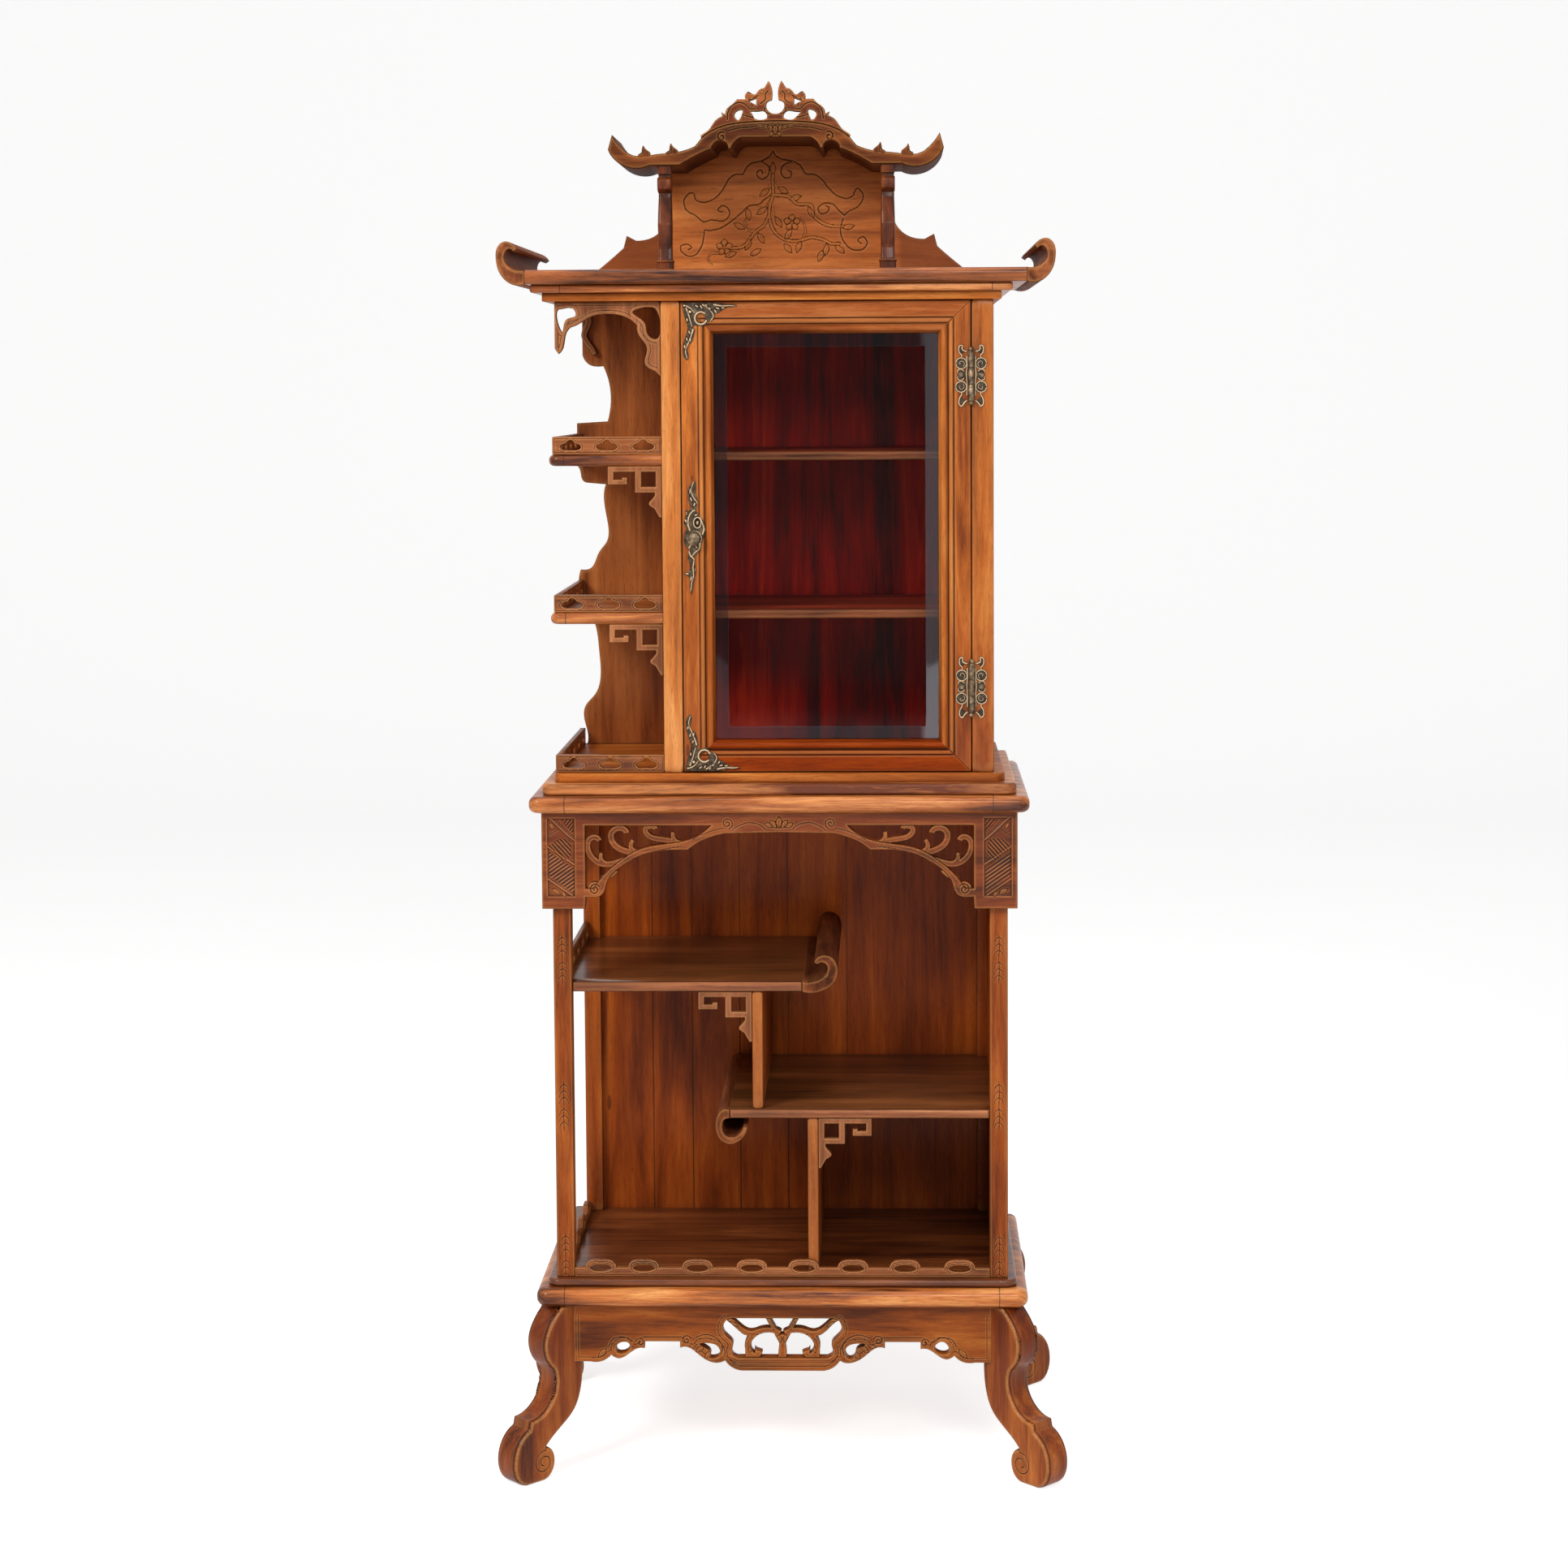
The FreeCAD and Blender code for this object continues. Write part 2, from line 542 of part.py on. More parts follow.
def make_back_panel(model):
    """The boarded back of the stand, with a grooved seam where its boards meet."""
    size = model.size
    half = size.rear_post_half - size.post_width
    body = model.plate("lower_back_panel", "XZ_Plane",
                       [rectangle(-half, 0, half, size.stand_height)],
                       "back_panel_thickness", None, "back_face", DECK_TOP)
    seams = [rectangle(half * share - size.seam_width / 2, -size.overrun,
                       half * share + size.seam_width / 2, size.stand_height + size.overrun)
             for share in SEAM_SHARES]
    model.pocket(body, "XZ_Plane", seams, "seam_depth", "back_panel_thickness")
    model.name(body, "lower_back_panel")


LEFT_CURL_SHARES = [
    (0.0, 0.0), (0.55, 0.02, SMOOTH), (0.93, 0.30, SMOOTH), (1.0, 0.62, SMOOTH),
    (0.86, 0.92, SMOOTH), (0.62, 1.0, SMOOTH), (0.42, 0.93, SMOOTH), (0.34, 0.80),
    (0.44, 0.75), (0.58, 0.80, SMOOTH), (0.70, 0.72, SMOOTH), (0.70, 0.54, SMOOTH),
    (0.50, 0.34, SMOOTH), (0.0, 0.28),
]
RIGHT_CURL_SHARES = [
    (0.0, 0.0), (-0.65, -0.05, SMOOTH), (-0.97, -0.26, SMOOTH), (-1.0, -0.60, SMOOTH),
    (-0.62, -0.90, SMOOTH), (0.05, -1.0, SMOOTH), (0.75, -0.90, SMOOTH),
    (1.15, -0.72, SMOOTH), (1.32, -0.52), (1.0, -0.50), (0.80, -0.68, SMOOTH),
    (0.40, -0.79, SMOOTH), (-0.05, -0.80, SMOOTH), (-0.42, -0.70, SMOOTH),
    (-0.55, -0.50, SMOOTH), (-0.45, -0.33, SMOOTH), (0.0, -0.26),
]


def make_open_shelves(model):
    """Two shelves notched round the posts, each with one curled end, on two dividers."""
    size = model.size
    back = size.back_face - size.back_panel_thickness
    post = size.post_half - size.post_width
    rear = size.rear_post_half - size.post_width
    behind = size.post_width - size.post_front
    before = size.back_face - size.post_width
    panel = size.rear_post_half - size.side_panel_thickness
    depth = "shelf_front + back_face - back_panel_thickness"
    face = "back_face - back_panel_thickness"
    left = [(size.left_shelf_end, -size.shelf_front), (size.left_shelf_end, back),
            (-rear, back), (-rear, before), (-size.rear_post_half, before),
            (-size.rear_post_half, behind), (-post, behind), (-post, -size.shelf_front)]
    right = [(-size.right_shelf_end, -size.shelf_front), (post, -size.shelf_front),
             (post, behind), (panel, behind), (panel, before), (rear, before), (rear, back),
             (-size.right_shelf_end, back)]
    left_bottom = "left_shelf_top - left_shelf_thickness"
    right_bottom = "right_shelf_top - right_shelf_thickness"
    for label, outline, thickness, z in (
            ("left_shelf", left, "left_shelf_thickness", left_bottom),
            ("right_shelf", right, "right_shelf_thickness", right_bottom)):
        model.name(model.plate(label, "XY_Plane", [outline], thickness, z=z), label)
    curl = scaled(LEFT_CURL_SHARES, size.left_curl_reach, size.left_curl_rise)
    model.name(model.plate("left_shelf_scroll", "XZ_Plane", [curl], depth,
                           "left_shelf_end", face, left_bottom), "left_shelf_scroll")
    curl = scaled(RIGHT_CURL_SHARES, size.right_curl_reach, size.right_curl_drop)
    model.name(model.plate("right_shelf_scroll", "XZ_Plane", [curl], depth,
                           "-right_shelf_end", face, "right_shelf_top"),
               "right_shelf_scroll")
    for label, x, low, high in (
            ("upper_divider", "-upper_divider_x", "right_shelf_top", left_bottom),
            ("lower_divider", "lower_divider_x", DECK_TOP, right_bottom)):
        model.name(model.board(label, x, "divider_setback - shelf_front", low,
                               "divider_thickness", depth + " - divider_setback",
                               f"{high} - ({low})"), label)
    side = model.plate("left_shelf_gallery", "YZ_Plane",
                       clouded_rail(behind, before, 5, size), "gallery_thickness",
                       "-rear_post_half", None, "left_shelf_top")
    model.name(side, "left_shelf_gallery")


def clouded_rail(start, stop, count, size):
    """The outline of a plain rail and the clouds pierced through it."""
    pitch = (stop - start) / count
    holes = [cloud(start + pitch * (index + 0.5), size.gallery_height / 2,
                   size.cloud_width, size.cloud_height) for index in range(count)]
    return [rectangle(start, 0, stop, size.gallery_height), *holes]


FRET_SHARES = [
    (0.0, 0.0), (1.0, 0.0), (1.0, 0.36), (0.64, 0.36), (0.64, 0.22), (0.74, 0.22),
    (0.74, 0.26), (0.89, 0.26), (0.89, 0.12), (0.50, 0.12), (0.50, 0.52), (0.14, 0.52),
    (0.17, 0.62, SMOOTH), (0.24, 0.70, SMOOTH), (0.15, 0.82), (0.05, 1.0), (0.0, 1.0),
]
FRET_HOLE_SHARES = [(0.12, 0.12), (0.38, 0.12), (0.38, 0.40), (0.12, 0.40)]


def fret(model, name, side, x, y, z):
    """A fretted bracket in the corner of a post and a shelf, reaching to the given side."""
    size = model.size
    outlines = [scaled(shares, side * size.fret_width, -size.fret_height)
                for shares in (FRET_SHARES, FRET_HOLE_SHARES)]
    return model.plate(name, "XZ_Plane", outlines, "fret_thickness", x, y, z)


def make_brackets(model):
    """Fret brackets under the curled shelves and under the two shelves of the bay."""
    inner = "divider_setback + fret_thickness - shelf_front"
    model.group("lower_fret_brackets", [
        fret(model, "fret_upper", -1, "-upper_divider_x", inner,
             "left_shelf_top - left_shelf_thickness"),
        fret(model, "fret_lower", 1, "lower_divider_x + divider_thickness", inner,
             "right_shelf_top - right_shelf_thickness")])
    inner = "gallery_inset + fret_thickness - cabinet_front"
    model.group("bay_fret_brackets", [
        fret(model, name, -1, "-cabinet_left", inner, top + " - bay_shelf_thickness")
        for name, top in (("fret_high", "bay_high_top"), ("fret_low", "bay_low_top"))])


# Right half of the frieze, in shares of its half width and its drop
FRIEZE_SHARES = [
    (0.0, -0.213), (0.228, -0.222), (0.290, -0.262, SMOOTH), (0.344, -0.319),
    (0.384, -0.392), (0.472, -0.392), (0.588, -0.456, SMOOTH), (0.675, -0.578, SMOOTH),
    (0.725, -0.720, SMOOTH), (0.740, -0.830, SMOOTH), (0.775, -0.880), (0.815, -0.880),
    (0.819, -1.0), (1.0, -1.0), (1.0, 0.0),
]
SPANDREL_SHARES = [
    (0.816, -0.141), (0.288, -0.141), (0.375, -0.281, SMOOTH), (0.462, -0.325, SMOOTH),
    (0.590, -0.388, SMOOTH), (0.662, -0.490, SMOOTH), (0.734, -0.640, SMOOTH),
    (0.780, -0.790), (0.816, -0.790),
]
SIDE_ARCH_SHARES = [
    (0.0, -0.25, SMOOTH), (0.20, -0.30, SMOOTH), (0.38, -0.46, SMOOTH),
    (0.60, -0.72, SMOOTH), (0.68, -0.86), (0.72, -0.86), (0.72, -1.0), (1.0, -1.0),
    (1.0, 0.0),
]
# Tendrils of the spandrels and their buds: centre lines, in shares of the frieze's half width
# and drop, and the share of the tendril's width at each end
TENDRIL_SHARES = [
    ([(0.630, -0.480), (0.690, -0.528), (0.745, -0.538), (0.790, -0.465), (0.806, -0.370),
      (0.800, -0.290), (0.776, -0.262), (0.757, -0.300)], (1.30, 1.20)),
    ([(0.728, -0.540), (0.750, -0.490), (0.748, -0.425)], (1.15, 0.75)),
    ([(0.585, -0.430), (0.650, -0.402), (0.700, -0.315), (0.705, -0.220), (0.682, -0.172),
      (0.652, -0.180), (0.641, -0.222)], (1.35, 1.25)),
    ([(0.598, -0.425), (0.624, -0.365), (0.614, -0.290)], (1.25, 0.80)),
    ([(0.390, -0.365), (0.440, -0.310), (0.510, -0.280), (0.552, -0.240), (0.562, -0.180),
      (0.540, -0.150), (0.518, -0.178)], (1.25, 1.10)),
    ([(0.420, -0.330), (0.445, -0.270), (0.445, -0.210)], (1.20, 0.80)),
    ([(0.688, -0.600), (0.718, -0.668), (0.752, -0.685)], (1.20, 0.70)),
]
# The round end of each spandrel's stem: its centre, and its radius as a share of the drop
EYE_SHARES = (0.777, -0.798, 0.076)


def make_friezes(model):
    """The arched front frieze with scrolled tendrils, and a plainer one at each end."""
    size = model.size
    spandrel = scaled(SPANDREL_SHARES, size.frieze_half, size.frieze_drop)
    outlines = [both_halves(scaled(FRIEZE_SHARES, size.frieze_half, size.frieze_drop)),
                spandrel, mirrored(spandrel)]
    body = model.plate("frieze_front", "XZ_Plane", outlines, "frieze_thickness", None,
                       "-post_front", WAIST_BOTTOM)
    strips = [band(scaled(centres, size.frieze_half, size.frieze_drop),
                   [size.tendril_width * share for share in widths])
              for centres, widths in TENDRIL_SHARES]
    x_share, z_share, radius_share = EYE_SHARES
    radius = size.frieze_drop * radius_share
    strips.append(ellipse(size.frieze_half * x_share, size.frieze_drop * z_share, radius,
                          radius))
    for strip in strips:
        for outline in (strip, mirrored(strip)):
            model.pad(body, "XZ_Plane", [outline], "tendril_thickness",
                      "(frieze_thickness - tendril_thickness) / 2")
    model.name(body, "frieze_front")
    length = size.post_front + size.back_face
    side = both_halves(scaled(SIDE_ARCH_SHARES, length / 2, size.frieze_drop))
    sides = [model.plate(name, "YZ_Plane", [side], "frieze_side_thickness", x,
                         "(back_face - post_front) / 2", WAIST_BOTTOM)
             for name, x in (("frieze_left", "-post_half - frieze_side_thickness"),
                             ("frieze_right", "post_half"))]
    model.group("frieze_sides", sides)


# Left edge of the bay's back board, in shares of its reach and of the cabinet's height
BAY_BACK_SHARES = [
    (0.967, 0.0), (0.967, 0.033, SMOOTH), (0.980, 0.058, SMOOTH), (0.974, 0.088, SMOOTH),
    (0.927, 0.115, SMOOTH), (0.901, 0.150, SMOOTH), (0.905, 0.215, SMOOTH),
    (0.935, 0.290, SMOOTH), (0.990, 0.318), (0.990, 0.342), (1.0, 0.377, SMOOTH),
    (0.990, 0.402), (0.931, 0.411, SMOOTH), (0.900, 0.443, SMOOTH), (0.865, 0.465, SMOOTH),
    (0.861, 0.520, SMOOTH), (0.864, 0.598), (0.957, 0.602), (0.980, 0.612, SMOOTH),
    (0.985, 0.625, SMOOTH), (1.0, 0.640), (1.0, 0.738), (0.852, 0.742),
    (0.852, 0.845, SMOOTH), (0.871, 0.868), (0.948, 0.875, SMOOTH), (0.970, 0.893),
    (0.970, 1.0),
]


def make_upper_cabinet(model):
    """Posts, sides, backs and shelves of the glazed cabinet, and the back of its bay."""
    size = model.size
    front = "-cabinet_front"
    behind = "cabinet_post_depth - cabinet_front"
    inside_depth = "cabinet_front - cabinet_post_depth + back_face - back_panel_thickness"
    face = "back_face - back_panel_thickness"
    for label, x, width in (
            ("cabinet_post_left", "-cabinet_left", "cabinet_post_left_width"),
            ("cabinet_post_right", "cabinet_right - cabinet_post_right_width",
             "cabinet_post_right_width")):
        model.name(model.board(label, x, front, CABINET_BOTTOM, width,
                               "cabinet_post_depth", "cabinet_height"), label)
    sides = [model.board(name, x, behind, CABINET_BOTTOM, "cabinet_side_thickness",
                         inside_depth, "cabinet_height")
             for name, x in (("side_left", "side_setback - cabinet_left"),
                             ("side_right",
                              "cabinet_right - side_setback - cabinet_side_thickness"))]
    model.group("cabinet_sides", sides)
    model.name(model.board("cabinet_back_board", "-cabinet_left", face, CABINET_BOTTOM,
                           "cabinet_left + cabinet_right", "back_panel_thickness",
                           "cabinet_height"), "cabinet_back_board")
    edge = scaled(BAY_BACK_SHARES, -size.bay_back_reach, size.cabinet_height)
    outline = [(-size.cabinet_left, 0), *edge, (-size.cabinet_left, size.cabinet_height)]
    model.name(model.plate("bay_back_board", "XZ_Plane", [outline], "back_panel_thickness",
                           None, "back_face", CABINET_BOTTOM), "bay_back_board")
    inner_left = "side_setback + cabinet_side_thickness - cabinet_left"
    inner_right = "cabinet_right - side_setback - cabinet_side_thickness"
    shelf_depth = "inner_shelf_front + back_face - back_panel_thickness"
    shelves, cleats = [], []
    for name, top in (("high", "high_shelf_top"), ("low", "low_shelf_top")):
        bottom = top + " - inner_shelf_thickness"
        shelves.append(model.board(name + "_shelf", inner_left, "-inner_shelf_front", bottom,
                                   f"{inner_right} - ({inner_left})", shelf_depth,
                                   "inner_shelf_thickness"))
        for side, x in (("left", inner_left), ("right", inner_right + " - cleat_width")):
            cleats.append(model.board(f"{name}_cleat_{side}", x, "-inner_shelf_front",
                                      bottom + " - cleat_height", "cleat_width",
                                      shelf_depth, "cleat_height"))
    model.group("cabinet_shelves", shelves)
    model.group("shelf_cleats", cleats)


ARCH_SHARES = [
    (0.0, 0.0), (1.0, 0.0), (1.0, 0.62), (0.965, 0.69), (0.92, 0.60, SMOOTH),
    (0.90, 0.45, SMOOTH), (0.85, 0.34), (0.78, 0.30, SMOOTH), (0.66, 0.20, SMOOTH),
    (0.50, 0.165, SMOOTH), (0.34, 0.20, SMOOTH), (0.22, 0.32), (0.19, 0.48, SMOOTH),
    (0.13, 0.62, SMOOTH), (0.15, 0.76, SMOOTH), (0.06, 0.92), (0.0, 1.0),
]
ARCH_HOLE_SHARES = [
    [(0.95, 0.10, SMOOTH), (0.955, 0.34, SMOOTH), (0.93, 0.40, SMOOTH),
     (0.89, 0.24, SMOOTH), (0.80, 0.18, SMOOTH), (0.82, 0.10, SMOOTH)],
    [(0.05, 0.10, SMOOTH), (0.18, 0.09, SMOOTH), (0.26, 0.14, SMOOTH),
     (0.15, 0.28, SMOOTH), (0.12, 0.44, SMOOTH), (0.05, 0.50, SMOOTH)],
]


REAR_BRACKET_SHARES = [(0.0, 0.0), (0.45, -0.25), (0.10, -0.55), (0.60, -0.80), (1.0, -1.0)]


def make_bay(model):
    """The open bay: two shelves, a pierced gallery on each level, and its top brackets."""
    size = model.size
    left, right = -size.bay_shelf_reach, -size.cabinet_left
    front, rear = -size.cabinet_front, size.back_face - size.back_panel_thickness
    radius = size.bay_corner_round
    inner = radius * (1 - math.sqrt(0.5))
    plan = [(right, rear), (left, rear), (left, front + radius),
            (left + inner, front + inner, MIDDLE), (left + radius, front), (right, front)]
    tiny = size.flat_tolerance
    shelves, galleries = [], []
    for name, top in (("high", "bay_high_top"), ("low", "bay_low_top")):
        shelf = model.plate(f"bay_shelf_{name}", "XY_Plane", [plan], "bay_shelf_thickness",
                            z=top + " - bay_shelf_thickness")
        model.fillet(shelf, "cornice_round", lambda box: box.ZLength < tiny
                     and box.YMin < rear - tiny and box.XMin < right - tiny)
        shelves.append(shelf)
    model.group("bay_shelves", shelves)
    rail_left = size.gallery_inset - size.bay_shelf_reach
    rail_front = size.gallery_inset + size.gallery_thickness - size.cabinet_front
    for name, level in (("high", "bay_high_top"), ("low", "bay_low_top"),
                        ("waist", CABINET_BOTTOM)):
        galleries.append(model.plate(
            f"rail_front_{name}", "XZ_Plane", clouded_rail(rail_left, right, 3, size),
            "gallery_thickness", None, "gallery_inset + gallery_thickness - cabinet_front",
            level))
        galleries.append(model.plate(
            f"rail_side_{name}", "YZ_Plane", clouded_rail(rail_front, rear, 5, size),
            "gallery_thickness", "gallery_inset - bay_shelf_reach", None, level))
    model.group("bay_galleries", galleries)
    width = size.arch_left - size.cabinet_left
    outlines = [scaled(shares, -width, -size.arch_drop)
                for shares in (ARCH_SHARES, *ARCH_HOLE_SHARES)]
    arch = model.plate("bay_arch_bracket", "XZ_Plane", outlines, "fret_thickness",
                       "-cabinet_left", "gallery_inset + fret_thickness - cabinet_front",
                       CABINET_TOP)
    model.name(arch, "bay_arch_bracket")
    centres = scaled(REAR_BRACKET_SHARES, size.rear_bracket_width, size.rear_bracket_height)
    strip = band(centres, (size.rear_bracket_root, size.tendril_width))
    level = f"{CABINET_TOP} - tendril_width"
    bracket = model.plate("bay_rear_bracket", "XZ_Plane", [strip], "fret_thickness",
                          "-arch_left + tendril_width", "back_face - back_panel_thickness",
                          level)
    model.name(bracket, "bay_rear_bracket")


DOOR_LEFT = "cabinet_post_left_width - cabinet_left + door_gap"
DOOR_RIGHT = "cabinet_right - cabinet_post_right_width - door_gap"
DOOR_BOTTOM = CABINET_BOTTOM + " + door_gap"
DOOR_TOP = CABINET_TOP + " - door_gap"


def door_member(model, label, length, place, angle):
    """One mitred member of the door: a flat, a bead at its inner edge and a rebate."""
    size = model.size
    width, depth = size.door_frame_width, size.door_depth
    flat = width - size.bead_width
    lip = size.glass_front_depth
    bead_end_share = 0.45
    profile = [(0, 0), (flat, 0), (flat + size.bead_width / 3, -size.bead_height, MIDDLE),
               (width - size.bead_width / 4, 0), (width, lip * bead_end_share),
               (width, lip), (width - size.rebate_width, lip),
               (width - size.rebate_width, depth), (0, depth)]
    body = model.body(label)
    model.pad(body, "XY_Plane", [profile], length)
    span = model.value(length)
    extra = size.overrun
    mitre = [(-extra, -extra), (width + extra, width + extra), (width + extra, -extra)]
    upper = [(x, span - z) for x, z in mitre]
    model.pocket(body, "XZ_Plane", [mitre, upper], "2 * (door_depth + overrun)",
                 midplane=True)
    if label == "door_stile_left":
        hole_x = -size.lock_x - model.value(DOOR_LEFT)
        hole_z = size.lock_z - model.value(DOOR_BOTTOM)
        circle = [Part.Circle(FreeCAD.Vector(hole_x, hole_z, 0), FreeCAD.Vector(0, 0, 1),
                              size.stem_radius + size.running_clearance)]
        model.pocket(body, "XZ_Plane", [circle], "2 * (door_depth + overrun)", midplane=True)
    body.Placement.Rotation = FreeCAD.Rotation(FreeCAD.Vector(0, 1, 0), angle)
    model.place(body, *place)
    return body


def make_door(model):
    """The door: four mitred members, the bevelled glass and the beads that hold it."""
    front = "-cabinet_front"
    width, height = f"{DOOR_RIGHT} - ({DOOR_LEFT})", f"{DOOR_TOP} - ({DOOR_BOTTOM})"
    left = door_member(model, "door_stile_left", height, (DOOR_LEFT, front, DOOR_BOTTOM), 0)
    model.name(left, "door_stile_left")
    right = door_member(model, "door_stile_right", height, (DOOR_RIGHT, front, DOOR_TOP), 180)
    model.name(right, "door_stile_right")
    model.group("door_rails", [
        door_member(model, "rail_bottom", width, (DOOR_RIGHT, front, DOOR_BOTTOM), -90),
        door_member(model, "rail_top", width, (DOOR_LEFT, front, DOOR_TOP), 90)])
    inset = "(door_frame_width - rebate_width)"
    left, bottom = f"{DOOR_LEFT} + {inset}", f"{DOOR_BOTTOM} + {inset}"
    inner_width, inner_height = f"{width} - 2 * {inset}", f"{height} - 2 * {inset}"
    make_glass(model, left, bottom, inner_width, inner_height)
    rear = f"{front} + glass_front_depth + glass_thickness"
    deep = "door_depth - glass_front_depth - glass_thickness"
    beads = []
    for name, x in (("left", left), ("right", f"{left} + {inner_width} - glazing_bead_width")):
        beads.append(model.board("glazing_bead_" + name, x, rear, bottom,
                                 "glazing_bead_width", deep, inner_height))
    for name, z in (("low", bottom), ("high", f"{bottom} + {inner_height} "
                                      "- glazing_bead_width")):
        beads.append(model.board("glazing_bead_" + name, left + " + glazing_bead_width",
                                 rear, z, f"{inner_width} - 2 * glazing_bead_width", deep,
                                 "glazing_bead_width"))
    model.group("door_glazing_beads", beads)


def make_glass(model, left, bottom, width, height):
    """The pane: a plain sheet behind a thin pyramid that makes the bevelled margin."""
    wedge = model.doc.addObject("Part::Wedge", "glass_bevel")
    wide, high = f"({width} - 2 * glass_clearance)", f"({height} - 2 * glass_clearance)"
    margin = "(rebate_width + glass_bevel_width)"
    sizes = (("Xmin", margin), ("Xmax", f"{wide} - {margin}"), ("Ymin", "0"),
             ("Ymax", "glass_bevel_depth"), ("Zmin", margin), ("Zmax", f"{high} - {margin}"),
             ("X2min", "0"), ("X2max", wide), ("Z2min", "0"), ("Z2max", high))
    for prop, text in sizes:
        model.bind(wedge, prop, text)
    place = (left + " + glass_clearance", "-cabinet_front + glass_front_depth",
             bottom + " + glass_clearance")
    model.place(wedge, *place)
    sheet = model.board("glass_sheet", place[0], place[1] + " + glass_bevel_depth", place[2],
                        wide, "glass_thickness - glass_bevel_depth", high)
    glass = model.doc.addObject("Part::Fuse", "door_glass")
    glass.Base, glass.Tool = sheet, wedge
    model.name(glass, "door_glass")


# Lock plate round its knob, in shares of its half width and half length
LOCK_SHARES = [
    (0.10, 1.0), (0.17, 0.90, SMOOTH), (0.12, 0.80), (0.32, 0.64, SMOOTH),
    (0.26, 0.54, SMOOTH), (0.12, 0.48), (0.32, 0.43, SMOOTH), (0.70, 0.34, SMOOTH),
    (0.96, 0.22, SMOOTH), (1.0, 0.10, SMOOTH), (0.84, 0.0), (0.72, -0.08, SMOOTH),
    (0.60, -0.16, SMOOTH), (0.25, -0.27, SMOOTH), (0.02, -0.36, SMOOTH),
    (0.06, -0.50, SMOOTH), (0.05, -0.66, SMOOTH), (-0.07, -0.77), (-0.30, -1.0),
    (-0.49, -0.84), (-0.56, -0.68, SMOOTH), (-0.95, -0.63), (-0.55, -0.58),
    (-0.42, -0.46, SMOOTH), (-0.58, -0.36, SMOOTH), (-0.55, -0.26, SMOOTH),
    (-0.46, -0.19), (-0.78, -0.14, SMOOTH), (-0.96, 0.0, SMOOTH), (-0.86, 0.10, SMOOTH),
    (-0.66, 0.15), (-0.94, 0.26), (-0.86, 0.34, SMOOTH), (-0.70, 0.42), (-0.85, 0.48),
    (-0.49, 0.47), (-0.34, 0.52, SMOOTH), (-0.46, 0.63, SMOOTH), (-0.56, 0.82, SMOOTH),
    (-0.34, 0.93, SMOOTH),
]
# Corner mount from the door's corner, in shares of its two arms, and the hole of its ring
CORNER_SHARES = [
    (0.025, 0.016), (0.64, 0.012), (0.72, 0.030, SMOOTH), (0.82, 0.048, SMOOTH),
    (0.92, 0.046, SMOOTH), (1.0, 0.076), (0.93, 0.092, SMOOTH), (0.84, 0.100, SMOOTH),
    (0.74, 0.145, SMOOTH), (0.675, 0.195), (0.62, 0.205), (0.590, 0.272, SMOOTH),
    (0.555, 0.335), (0.47, 0.355), (0.43, 0.405, SMOOTH), (0.355, 0.422, SMOOTH),
    (0.28, 0.405, SMOOTH), (0.215, 0.425), (0.258, 0.480), (0.238, 0.570, SMOOTH),
    (0.206, 0.680), (0.156, 0.725), (0.120, 0.840, SMOOTH), (0.140, 0.950, SMOOTH),
    (0.105, 1.0), (0.060, 0.950, SMOOTH), (0.035, 0.850, SMOOTH), (0.045, 0.730, SMOOTH),
    (0.080, 0.610, SMOOTH), (0.125, 0.480), (0.108, 0.370, SMOOTH), (0.068, 0.250, SMOOTH),
    (0.040, 0.130, SMOOTH),
]
CORNER_RING_SHARES = (0.360, 0.285, 0.075)


def make_lock(model):
    """The lock plate, the turned knob through it and the tongue behind the door."""
    size = model.size
    outline = scaled(LOCK_SHARES, size.lock_width / 2, size.lock_length / 2)
    plate = model.plate("lock_plate", "XZ_Plane", [outline], "plate_thickness", "-lock_x",
                        "-cabinet_front", "lock_z")
    hole = [Part.Circle(FreeCAD.Vector(0, 0, 0), FreeCAD.Vector(0, 0, 1),
                        size.stem_radius + size.running_clearance)]
    model.pocket(plate, "XZ_Plane", [hole], "2 * (plate_thickness + overrun)", midplane=True)
    model.name(plate, "lock_plate")
    make_knob(model)
    reach, half = size.tongue_reach, size.tongue_width / 2
    tongue = [(half, 0), (half, half / 2), (0, half * 1.5, MIDDLE), (-half, half / 2),
              (-half, half - reach), (0, -reach, MIDDLE), (half, half - reach)]
    eye = [Part.Circle(FreeCAD.Vector(0, 0, 0), FreeCAD.Vector(0, 0, 1), size.stem_radius)]
    rear = "cabinet_post_depth - cabinet_front + tongue_clearance + tongue_thickness"
    model.name(model.plate("latch_tongue", "XZ_Plane", [tongue, eye], "tongue_thickness",
                           "-lock_x", rear, "lock_z"), "latch_tongue")


# Knob outline above its seat: shares of its radius and of its length
KNOB_SHARES = [
    (0.75, 0.0), (0.70, 0.09, SMOOTH), (0.42, 0.15, SMOOTH), (0.42, 0.27, SMOOTH),
    (0.85, 0.42, SMOOTH), (1.0, 0.625, SMOOTH), (0.75, 0.90, SMOOTH), (0.25, 1.0), (0.0, 1.0),
]


